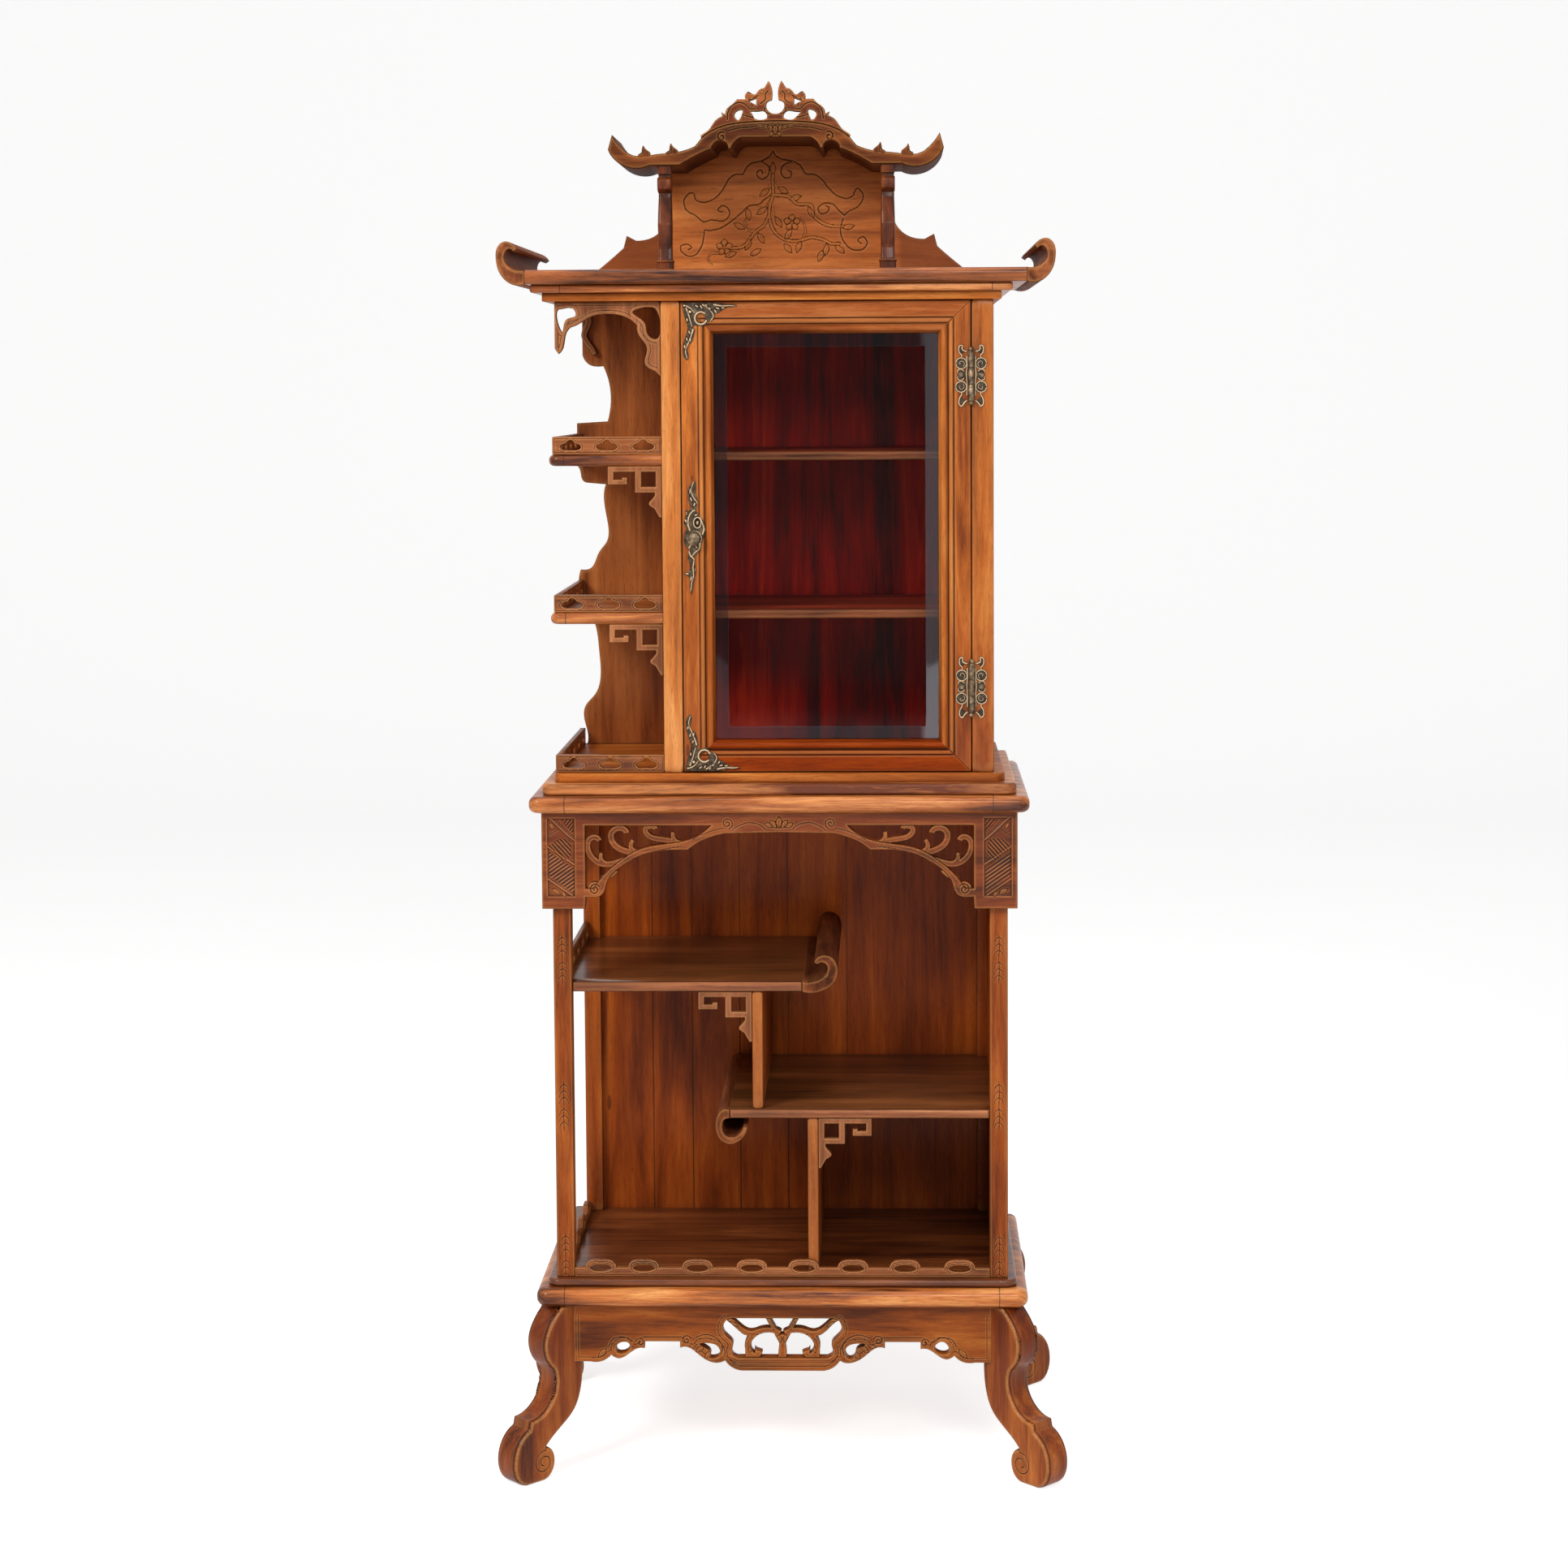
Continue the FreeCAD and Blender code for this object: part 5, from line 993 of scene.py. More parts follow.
@dataclass(frozen=True)
class WoodFinish(Finish):
    """Waxed and worn hardwood: grain, blotches, patina in hollows, painted shade in corners and
    pale arrises.

    The painted height shade is a low and a high Z with a tint for each, lighter or darker
    with height: it paints the light and shade that fall on the piece.
    The seams are distances from the middle at which boards meet, and beyond the wings,
    another such distance, it is dark.
    """
    dark: Colour
    body: Colour
    light: Colour
    # Colour of the patina in hollows and of the painted shade in corners.
    patina: Colour = (0.018, 0.008, 0.004)
    worn: Colour = (0.60, 0.27, 0.085)
    gloss: float = 0.36
    coat: float = 0.08
    figure: float = 1.0
    wear: float = 0.5
    # Weight of the soil and painted shade laid in corners.
    grime: float = 0.75
    seed: float = 0.0
    lining: bool = False
    fade: tuple | None = None
    seams: tuple = ()
    spread: float = 0.15
    wings: float = 0.0

    STRETCH = 0.07
    MIDDLE = 0.51
    ARRIS = 0.0016
    INSIDE = ((-0.1414, 0.2754), (-0.1272, 0.1755), (0.9602, 1.5953))

    def title(self, grain: Grain) -> str:
        """The material's name, one for each axis of the grain."""
        return f"{self.name}_{grain.name.lower()}"

    def shader(self, nodes: Nodes, grain: Grain) -> Socket:
        """Grain, pores and blotches, painted light and shade by height, then wear, patina and
        painted shade, under a thin coat of wax.

        Args:
            nodes: the material's nodes.
            grain: the axis that the grain runs along.

        Returns:
            The shader.
        """
        place = nodes.place()
        stretch = [1.0, 1.0, 1.0]
        stretch[grain.value] = self.STRETCH
        shift = (self.seed * 1.7, self.seed * 0.9, self.seed * 2.3)
        along, wander = (nodes.add("Mapping", {"Vector": place, "Scale": scale,
                                               "Location": shift}).outputs[0]
                         for scale in (stretch, [part**0.5 for part in stretch]))
        blotch = nodes.noise(wander, 9.0, 3.0, 0.55, 0.6)
        band = nodes.noise(along, 34.0 * self.figure, 5.0, 0.62, 1.1)
        streak = nodes.noise(along, 210.0, 6.0, 0.7, 0.4)
        pore = nodes.noise(along, 900.0, 3.0, 0.6)
        pore = nodes.math("SMOOTH_MAX", nodes.math("SUBTRACT", 0.44, pore), 0.0, 0.04)
        tone = nodes.total(-0.15, (band, 0.60), (streak, 0.24), (blotch, 0.46))
        colour = nodes.ramp(tone, [(self.MIDDLE - self.spread, self.dark),
                                   (self.MIDDLE, self.body),
                                   (self.MIDDLE + self.spread, self.light)])
        colour = nodes.over(colour, [part * 0.45 for part in self.dark], pore, 3.2)
        # Painted light and shade by height: a tint that lightens or darkens the wood from its low
        # Z to its high Z.
        if self.fade:
            low, high, under, over = self.fade
            share = nodes.span(nodes.axis(place, 2), low, high)
            colour = nodes.mix(1.0, colour, nodes.mix(share, under, over), "MULTIPLY")
        spots = nodes.add("TexVoronoi", {"Vector": wander, "Scale": 15.0, "Randomness": 1.0},
                          feature="F1").outputs["Distance"]
        colour = nodes.over(colour, self.patina, nodes.math("LESS_THAN", spots, 0.045), 0.55)
        soft = nodes.add("Bevel", {"Radius": self.ARRIS}, samples=4).outputs[0]
        worn, sunk = self.wear_and_shade(nodes, place, soft)
        colour = nodes.over(colour, self.worn, worn, 0.62)
        # Patina in carved hollows, and painted shade in corners from the occlusion term.
        colour = nodes.over(colour, self.patina, sunk, 0.88)
        colour = self.marked(nodes, place, colour)
        rough = nodes.total(self.gloss, (streak, 0.14), (sunk, 0.25), (blotch, 0.08))
        lump = nodes.total(0.0, (band, 0.35), (streak, 0.35), (pore, -1.2))
        bump = nodes.bump(lump, 0.22, 0.0008, Normal=soft)
        return nodes.add("BsdfPrincipled", {
            "Base Color": colour, "Roughness": rough, "Normal": bump, "IOR": 1.45,
            "Coat Weight": self.coat, "Coat Roughness": 0.17,
            "Specular IOR Level": 0.10}).outputs[0]

    def wear_and_shade(self, nodes: Nodes, place: Socket, soft: Socket) -> tuple[Socket, Socket]:
        """Where hands have rubbed the wood, and where it is dirty and painted with shade.

        Crests and arrises are rubbed, an arris being where the softened normal leans away
        from the true one.  Hollows are dirty, and corners that see little of the sky are darkened
        with painted shade as well as soil.

        Args:
            nodes: the material's nodes.
            place: object coordinates.
            soft: the softened normal.

        Returns:
            How rubbed it is, and how dirty and darkened by painted shade.
        """
        hollow = nodes.attribute("carve")
        sunk = nodes.math("MULTIPLY", hollow, -1.0, clamp=True)
        crest = nodes.math("MULTIPLY", hollow, 0.9 * self.wear, clamp=True)
        uneven = nodes.noise(place, 60.0, 4.0, 0.7)
        normal = nodes.add("NewGeometry").outputs["Normal"]
        lean = nodes.add("VectorMath", {0: normal, 1: soft},
                         operation="DOT_PRODUCT").outputs["Value"]
        edge = nodes.math("MULTIPLY", nodes.math("SUBTRACT", 0.995, lean), 7.0, clamp=True)
        edge = nodes.math("MULTIPLY", edge, nodes.math("MULTIPLY", uneven, self.wear * 1.3))
        # Ambient occlusion darkens corners and joints between parts: painted shade, together with
        # soil.
        sky = nodes.add("AmbientOcclusion", {"Distance": 0.013}, samples=6).outputs["AO"]
        dirt_and_shade = nodes.math("POWER", nodes.math("SUBTRACT", 1.0, sky, clamp=True), 1.7)
        dirt_and_shade = nodes.math("MULTIPLY", dirt_and_shade, nodes.math("ADD", 0.45, uneven))
        dirt_and_shade = nodes.math("MULTIPLY", dirt_and_shade, self.grime)
        return (nodes.math("MAXIMUM", crest, edge, clamp=True),
                nodes.math("MAXIMUM", sunk, dirt_and_shade, clamp=True))

    def marked(self, nodes: Nodes, place: Socket, colour: Socket) -> Socket:
        """Dark wings at both ends, a thin dark line where boards meet, and red lining.

        The lining is a stain on what lies inside the glazed cabinet, a box given by its
        low and high place along each axis.

        Args:
            nodes: the material's nodes.
            place: object coordinates.
            colour: the colour without them.

        Returns:
            The colour with them.
        """
        side = nodes.math("ABSOLUTE", nodes.axis(place, 0))
        blend, half_line = 0.008, 0.0007
        if self.wings:
            beyond = nodes.span(side, self.wings - blend, self.wings + blend, 0.0, 0.72)
            colour = nodes.mix(beyond, colour, self.dark)
        for seam in self.seams:
            off = nodes.math("ABSOLUTE", nodes.math("SUBTRACT", side, seam))
            colour = nodes.over(colour, self.patina,
                                nodes.math("LESS_THAN", off, half_line), 0.7)
        if not self.lining:
            return colour
        within = 1.0
        for number, limits in enumerate(self.INSIDE):
            along = nodes.axis(place, number)
            for test, limit in zip(("GREATER_THAN", "LESS_THAN"), limits):
                within = nodes.math("MULTIPLY", within, nodes.math(test, along, limit))
        return nodes.mix(within, colour, nodes.mix(0.86, colour, RED.body))


@dataclass(frozen=True)
class MetalFinish(Finish):
    """Aged brass: rubbed bright, with a painted highlight, on its crests, and nearly black with
    tarnish and painted shade in its hollows.
    """
    bright: Colour
    dull: Colour
    grime: Colour

    def shader(self, nodes: Nodes, grain: Grain) -> Socket:
        """Cloudy tarnish, rubbed bright with a painted highlight where it stands high, and dirty
        with painted shade where it lies low.

        Args:
            nodes: the material's nodes.
            grain: not used.

        Returns:
            The shader.
        """
        cloud = nodes.noise(nodes.place(), 130.0, 5.0, 0.65)
        fine = nodes.noise(nodes.place(), 900.0, 4.0, 0.7)
        hollow = nodes.attribute("carve")
        sunk = nodes.math("MULTIPLY", hollow, -1.6, clamp=True)
        crest = nodes.math("MULTIPLY", hollow, 1.5, clamp=True)
        soft = nodes.add("Bevel", {"Radius": 0.0006}, samples=4).outputs[0]
        colour = nodes.ramp(cloud, [(0.34, self.grime), (0.54, self.dull), (0.78, self.bright)])
        # Painted highlight on the crests, over real rubbing.
        colour = nodes.over(colour, self.bright, crest, 0.85)
        # Ambient occlusion darkens the recesses: painted shade, with tarnish.
        sky = nodes.add("AmbientOcclusion", {"Distance": 0.004}, samples=6,
                        only_local=True).outputs["AO"]
        dirt_and_shade = nodes.math("MULTIPLY", nodes.math("SUBTRACT", 1.0, sky, clamp=True), 1.2)
        sunk = nodes.math("MAXIMUM", sunk, dirt_and_shade, clamp=True)
        colour = nodes.over(colour, self.grime, sunk, 0.9)
        rough = nodes.total(0.36, (cloud, 0.22), (sunk, 0.25))
        bump = nodes.bump(fine, 0.25, 0.0003, Normal=soft)
        return nodes.add("BsdfPrincipled", {"Base Color": colour, "Roughness": rough,
                                            "Normal": bump, "Metallic": 0.5}).outputs[0]


@dataclass(frozen=True)
class GlassFinish(Finish):
    """Old clear glass with a faint smoke tint."""
    tint: Colour
    bevel_shade_tint: Colour
    mirror: float = 0.06
    sheen: float = 0.05
    # Strength of the painted glint along the bevel's ridge.
    ridge: float = 0.02
    # The span of X over which the painted sheen on the bevel rises.
    right: Point = (0.190, 0.199)

    def shader(self, nodes: Nodes, grain: Grain) -> Socket:
        """Clear where seen straight on, with painted shade on the bevel, a painted sheen at its
        right end and a painted glint on the ridge.

        Args:
            nodes: the material's nodes.
            grain: not used.

        Returns:
            The shader.
        """
        place = nodes.place()
        ripple = nodes.noise(place, 6.0, 2.0, 0.5)
        smear = nodes.noise(place, 26.0, 4.0, 0.6)
        bump = nodes.bump(ripple, 0.05, 0.002)
        slope = nodes.attribute("slope")
        # Painted shade: the bevel's tint is darker than the flat glass.
        tint = nodes.mix(slope, self.tint, self.bevel_shade_tint)
        clear = nodes.add("BsdfTransparent", {"Color": tint}).outputs[0]
        rough = nodes.total(0.015, (smear, 0.05))
        gloss = nodes.add("BsdfGlossy", {"Color": (0.9, 0.93, 1.0, 1), "Roughness": rough,
                                         "Normal": bump}).outputs[0]
        share = nodes.add("Fresnel", {"IOR": 1.42, "Normal": bump}).outputs[0]
        share = nodes.math("MULTIPLY", share, self.mirror)
        # Painted reflection: more of the glossy shader on the bevel towards the pane's right end.
        painted_sheen = nodes.span(nodes.axis(place, 0), *self.right, 0.008, self.sheen)
        share = nodes.math("ADD", share, nodes.math("MULTIPLY", slope, painted_sheen))
        # Painted glint: more of the glossy shader along the bevel's ridge, which the pane marks in
        # its carve attribute.
        ridge = nodes.math("MULTIPLY", nodes.attribute("carve"), self.ridge)
        share = nodes.math("ADD", share, ridge, clamp=True)
        return nodes.add("MixShader", {0: share, 1: clear, 2: gloss}).outputs[0]


def wood(name: str, shown: str, **more: object) -> WoodFinish:
    """A wood finish, with its dark, middle and light colours as a screen shows them."""
    return WoodFinish(name, *[linear(colour) for colour in shown.split()], **more)


# Painted light and shade by height on the door: darker low down, lighter and cooler at the top.
DOOR_HEIGHT_SHADE = (0.97, 1.50, (0.62, 0.46, 0.34), (1.10, 1.14, 1.25))
FRAME = wood("frame_wood", "7e3a10 c06a28 e89a4c", seed=1.0, coat=0.16, fade=DOOR_HEIGHT_SHADE)
POST = wood("post_wood", "58240a 964718 bc682c", seed=1.6, wear=0.6)
# Painted shade by height on the rails: the bottom one deeper red, the top one, under the cornice,
# duller and darker.
DOOR_RAIL = wood("door_rail_wood", "7e3a10 c06a28 e89a4c", seed=1.2, coat=0.0,
                 fade=(0.97, 1.50, (0.52, 0.25, 0.03), (0.70, 0.66, 0.95)))
PALE_POST = wood("pale_post_wood", "86421a c87434 e89e5a", seed=1.4, coat=0.16)
INNER = wood("inner_edge_wood", "462010 904e2c c47c4e", seed=1.9, wear=0.3, gloss=0.26, coat=0.3)
RAIL = wood("moulding_wood", "4a1e0c ac5e2b ec9c5a", seed=2.3, wear=0.8, coat=0.4, gloss=0.30,
            seams=(0.287,), spread=0.12)
# A lighter wood for the waist step: painted light over the shade that the step lies in.
LIT_STEP = wood("step_lit_wood", "6c341a d6884c f6ae6c", seed=2.7, wear=0.6, coat=0.25, spread=0.14)
# A lighter copy of the moulding wood: painted light for the base moulding, which lies low and gets
# less light.
LIT_BASE = wood("base_lit_wood", "54240d ca7234 faae64", seed=2.1, wear=0.8, coat=0.4, gloss=0.30,
            seams=(0.295,), spread=0.12)
CORNICE = wood("cornice_wood", "34160b a0582c e89656", seed=2.5, wear=0.9, coat=0.3,
               gloss=0.30, figure=0.8, spread=0.13)
DECK = wood("deck_wood", "3a1a0c 6e381a 9c582c", seed=2.9, gloss=0.3, coat=0.45)
CARVED = wood("crest_wood", "6c3214 b8662e d68646", seed=3.1, wear=0.5, spread=0.2, wings=0.161)
ROOF = wood("roof_wood", "2e1208 5c2c13 8a4c24", seed=3.7, wear=0.5, coat=0.0, gloss=0.5)
DRAGON = wood("dragon_wood", "36160b 6c3218 a85e30", seed=3.9, wear=1.0, coat=0.06)
PROP = wood("prop_wood", "2c1108 622c12 924e26", seed=3.3, wear=1.0, coat=0.2, gloss=0.26)
ARCH = wood("frieze_wood", "4a1f0c 7e3a18 aa5e2c", seed=4.0, wear=0.8, coat=0.14)
APRON = wood("apron_wood", "56260c 964a16 be702c", seed=4.2, wear=0.8, coat=0.14)
# Painted light and shade by height on the legs: lighter at the foot, darker towards the top.
LEG = wood("leg_wood", "48200c 8c4519 bc7032", seed=4.3, wear=0.9, coat=0.2, grime=0.5,
           fade=(0.02, 0.20, (1.20, 1.12, 1.0), (0.74, 0.55, 0.28)))
GALLERY = wood("gallery_wood", "542812 96542e c27c4a", seed=4.6, wear=1.0, coat=0.2)
TRIM = wood("trim_wood", "582c18 905432 b6744a", seed=4.4, wear=0.9, coat=0.2)
# Painted light and shade by height on the lower back: darker low down, lighter towards the top.
PANEL = wood("panel_wood", "602408 964111 ba5c1e", seed=5.2, figure=0.6, gloss=0.42,
             fade=(0.30, 0.75, (0.92, 0.95, 0.80), (1.22, 1.22, 0.80)))
# Painted shade by height on the back boards: darker towards the bottom of the bay.
BACK = wood("back_wood", "6c3614 a65c28 c47638", seed=8.2, figure=0.7, gloss=0.42,
            fade=(0.98, 1.14, (0.70, 0.62, 0.64), (1.03, 1.05, 1.20)))
SHELF = wood("shelf_wood", "3a1e0f 703e20 9a5c32", seed=6.6, figure=0.6, gloss=0.24, coat=0.5)
CURL = wood("curl_wood", "422011 7c4225 aa663e", seed=7.7, wear=0.6, gloss=0.50, coat=0.0)
RED = wood("red_lining", "460606 a8160e ec3e1e", patina=linear("180304"), worn=linear("ce6034"),
           seed=9.1, figure=0.45, gloss=0.38, wear=0.3, spread=0.14)
RED_SHELF = wood("red_shelf", "3a1009 822216 b8482c", seed=9.4, figure=0.5)
LINED = wood("lined_wood", "7e3a10 ba6626 e29446", seed=1.0, lining=True)
BRASS = MetalFinish("aged_brass", linear("d6b892"), linear("705c44"), linear("1a140e"))
GLASS = GlassFinish("door_glass", (0.92, 0.90, 0.88), (0.50, 0.47, 0.50))


def show(name: str, shell: Shell, finish: Finish, grain: Grain, *nodes: str,
         body: str = "cabinet", slot: str = "carved_wood", nose: Finish | None = None
         ) -> bpy.types.Object:
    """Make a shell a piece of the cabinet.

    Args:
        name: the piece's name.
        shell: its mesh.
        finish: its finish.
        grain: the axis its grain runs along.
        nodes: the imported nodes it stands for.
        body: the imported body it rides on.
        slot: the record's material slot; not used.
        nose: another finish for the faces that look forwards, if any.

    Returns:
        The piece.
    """
    mesh = shell.mesh(name)
    piece = bpy.data.objects.new(name, mesh)
    bpy.context.scene.collection.objects.link(piece)
    mesh.materials.append(finish.material(grain))
    if nose:
        mesh.materials.append(nose.material(grain))
        normals = np.empty(len(mesh.polygons) * 3, np.float32)
        mesh.polygons.foreach_get("normal", normals)
        looks_forwards = normals.reshape(-1, 3)[:, 1] < -0.3
        mesh.polygons.foreach_set("material_index", looks_forwards.astype(np.int32))
    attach(piece, body)
    if nodes:
        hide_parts(*nodes)
    LOG.info("%s: %d triangles", name, len(mesh.polygons))
    return piece


# The cabinet's parts

def work_node(name: str, node: str, finish: Finish, grain: Grain, *faces: CarvedFace,
              **way: object) -> bpy.types.Object:
    """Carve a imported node's faces and show the result in its place.

    Args:
        name: the new piece's name.
        node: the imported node.
        finish, grain: as for show.
        faces: the faces to work, in order.
        way: the body, slot and nose, as for show.

    Returns:
        The piece.
    """
    shell = Shell.of_node(node)
    for face in faces:
        shell = face.work(shell)
    return show(name, shell, finish, grain, node, **way)


@dataclass(frozen=True)
class Board:
    """How one packed board is finished: its material, grain and the faces with an arris."""
    node: str
    finish: Finish
    grain: Grain
    slot: str = "frame_wood"
    body: str = "cabinet"
    faces: tuple = ()
    arris: float = 1.2
    grid: float = 7.0
    nose: Finish | None = None
    relief: Relief | None = None


@dataclass
class Boards:
    """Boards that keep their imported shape, with eased edges and lines on the door's frame."""
    door: tuple = (-128.3, 961.7, 258.8, 1593.8)

    def door_lines(self) -> Relief:
        """A bead round the door's frame between a fine groove and a wider one."""
        relief = Relief()
        left, low, right, high = self.door
        for inset, width, depth, cut in ((22.6, 2.6, 1.3, Cut.GROOVE), (26.3, 5.0, 1.1, Cut.BEAD),
                                         (30.6, 4.2, 2.0, Cut.GROOVE)):
            x, z = (left + inset, right - inset), (low + inset, high - inset)
            for line in [((side, z[0]), (side, z[1])) for side in x] + [
                    ((x[0], level), (x[1], level)) for level in z]:
                relief.add(Stroke(line, width, depth, cut))
        return relief

    def table(self) -> list[Board]:
        """Every node that isn't carved."""
        front, lining = (FRONT,), self.door_lines()
        return [
            Board("base_moulding", LIT_BASE, Grain.X), Board("base_deck", DECK, Grain.X),
            Board("rear_posts", PANEL, Grain.Z, "panel_wood", faces=UPRIGHT),
            Board("lower_back_panel", PANEL, Grain.Z, "panel_wood"),
            Board("lower_side_panel", PANEL, Grain.Z, "panel_wood"),
            Board("left_shelf", SHELF, Grain.X, faces=front, arris=3.5, grid=1.5, nose=INNER),
            Board("right_shelf", SHELF, Grain.X, faces=front, arris=3.5, grid=1.5, nose=INNER),
            Board("left_shelf_scroll", CURL, Grain.Y, faces=front, arris=1.6, grid=1.5),
            Board("right_shelf_scroll", CURL, Grain.Y, faces=front, arris=1.6, grid=1.5),
            Board("upper_divider", POST, Grain.Z, faces=UPRIGHT, arris=2.0, nose=FRAME),
            Board("lower_divider", POST, Grain.Z, faces=UPRIGHT, arris=2.0, nose=FRAME),
            Board("waist_board", RAIL, Grain.X), Board("waist_step", LIT_STEP, Grain.X),
            Board("waist_fillet", LINED, Grain.X),
            Board("cabinet_post_left", PALE_POST, Grain.Z, faces=UPRIGHT, arris=1.8),
            Board("cabinet_post_right", FRAME, Grain.Z, faces=UPRIGHT, arris=1.8),
            Board("cabinet_sides", LINED, Grain.Z),
            Board("cabinet_back_board", BACK, Grain.Z, "red_panel", nose=RED),
            Board("cabinet_shelves", RED_SHELF, Grain.X, "red_panel", faces=front, arris=3.6,
                  grid=1.2, nose=INNER),
            Board("shelf_cleats", RED, Grain.Y, "red_panel"),
            Board("bay_back_board", BACK, Grain.Z, "panel_wood", faces=front, grid=3.0),
            Board("bay_shelves", RAIL, Grain.X),
            *[Board(node, finish, grain, body="door", faces=front, grid=1.3, relief=lining)
              for node, finish, grain in (("door_stile_left", FRAME, Grain.Z),
                                          ("door_stile_right", FRAME, Grain.Z),
                                          ("door_rails", DOOR_RAIL, Grain.X))],
            Board("door_glazing_beads", FRAME, Grain.Z, body="door"),
            Board("cornice_fillet", LINED, Grain.X), Board("cornice_bed", RAIL, Grain.X),
            Board("cornice_board", CORNICE, Grain.X),
            Board("cornice_scrolls", CURL, Grain.Y, faces=front, arris=1.8, grid=2.0),
            Board("turn_knob", BRASS, Grain.Z, "antique_brass", "latch"),
            Board("latch_tongue", BRASS, Grain.Z, "antique_brass", "latch")]

    def build(self) -> None:
        """Build every board."""
        for board in self.table():
            faces = [CarvedFace(way, grid=board.grid, arris=board.arris, relief=board.relief)
                     for way in board.faces]
            work_node(board.node + "_board", board.node, board.finish, board.grain, *faces,
                      body=board.body, slot=board.slot, nose=board.nose)


@dataclass
class Pane:
    """The door's glass, with a wide bevel all round that ends in a fine ridge.

    Each ring is its inset, its Y, how far it belongs to the slope and to the ridge.
    """
    bevel: float = 0.026
    fall: float = 0.0018
    ridge: float = 0.0006
    flat: float = 0.12

    def build(self) -> None:
        """Build the pane from nested rectangles, each set in from the pane's edge."""
        low, high = (np.asarray(corner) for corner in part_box("door_glass"))
        rings = [(self.flat, high[1], 0, 0), (0, high[1], 0, 0), (0, low[1] + self.fall, 1, 0),
                 (self.bevel - self.ridge, low[1], 1, 0), (self.bevel, low[1], 0.5, 1),
                 (self.bevel + self.ridge, low[1], 0, 0), (self.flat, low[1], 0, 0)]
        places = np.array([[(low[0] + inset, y, low[2] + inset),
                            (low[0] + inset, y, high[2] - inset),
                            (high[0] - inset, y, high[2] - inset),
                            (high[0] - inset, y, low[2] + inset)]
                           for inset, y, _, _ in rings])
        shell = grid_shell(places, True)
        # The carve attribute holds each ring's share of the ridge, which the glass paints as a
        # glint.
        shell.carve = np.repeat([float(ring[3]) for ring in rings], 4)
        shell = capped(shell, 4)
        piece = show("bevelled_pane", shell, GLASS, Grain.Z, "door_glass", body="door",
                     slot="glass")
        slope = piece.data.attributes.new("slope", "FLOAT", "POINT")
        values = np.append(np.repeat([float(ring[2]) for ring in rings], 4), [0.0, 0.0])
        slope.data.foreach_set("value", values.astype(np.float32))


@dataclass
class Posts:
    """The two front posts of the stand, each with three engraved sprigs of leaves.

    All is in millimetres but the front, which is in metres.
    """
    middle: float = 295.2
    front: float = -0.164
    sprigs: tuple = (742.0, 540.0, 330.0)

    def relief(self) -> Relief:
        """A thin stem at each height, with leaves in pairs that point down along it."""
        relief = Relief()
        for top in self.sprigs:
            for run in (0, 1):
                start = top - 34 * run
                relief.both(Stroke(((self.middle, start), (self.middle + 0.8, start - 16),
                                    (self.middle, start - 34)), 1.4, 0.8))
                for side in (-1, 1):
                    for drop in (4, 13, 22):
                        root = (self.middle, start - drop)
                        tip = (self.middle + side * 6.5, start - drop - 9.5)
                        bend = (self.middle + side * 4.6, start - drop - 3.5)
                        relief.both(Stroke((root, bend, tip), 1.9, 0.9, taper=0.4))
        return relief

    def build(self) -> None:
        """Build the two posts as one piece."""
        work_node("engraved_posts", "front_posts", POST, Grain.Z,
                  CarvedFace(FRONT, (0, self.front, 0), 0.9, 2.0, relief=self.relief()),
                  *[CarvedFace(way, grid=7.0, arris=2.0) for way in (LEFT, RIGHT, BACK_SIDE)],
                  slot="frame_wood")


@dataclass
class Legs:
    """Four scrolled legs on the diagonals, with crowned sides and a spiral in each volute."""
    x: float = 0.305
    y: float = 0.162
    pocket: float = 0.0194
    volute: Point = (45.65, 26.2)

    def build(self) -> None:
        """Build the four legs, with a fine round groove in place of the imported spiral."""
        slant = math.sqrt(0.5)
        turns = spiral(*self.volute, (16.5, 4.0), (100, -440))
        for node, side, end in (("leg_front_left", -1, -1), ("leg_front_right", 1, -1),
                                ("leg_rear_right", 1, 1), ("leg_rear_left", -1, 1)):
            across = (slant, -slant * side * end, 0.0)
            middle = (self.x * side, self.y * end, 0.0)
            shell = Shell.of_node(node)
            off = np.abs((shell.points - middle) @ across)
            sunk = (np.abs(off - self.pocket) < SAME_LEVEL)[shell.triangles].any(1)
            shell = Shell(shell.points, shell.triangles[~sunk], shell.carve)
            for way in (1, -1):
                groove = Stroke([(way * end * x, z) for x, z in turns], 2.0, 1.1)
                shell = CarvedFace(tuple(part * way for part in across), middle, 0.85, 3.4, 8.0,
                                   relief=Relief([groove]), filled=True).work(shell)
            show(node + "_carved", shell, LEG, Grain.Z, node)


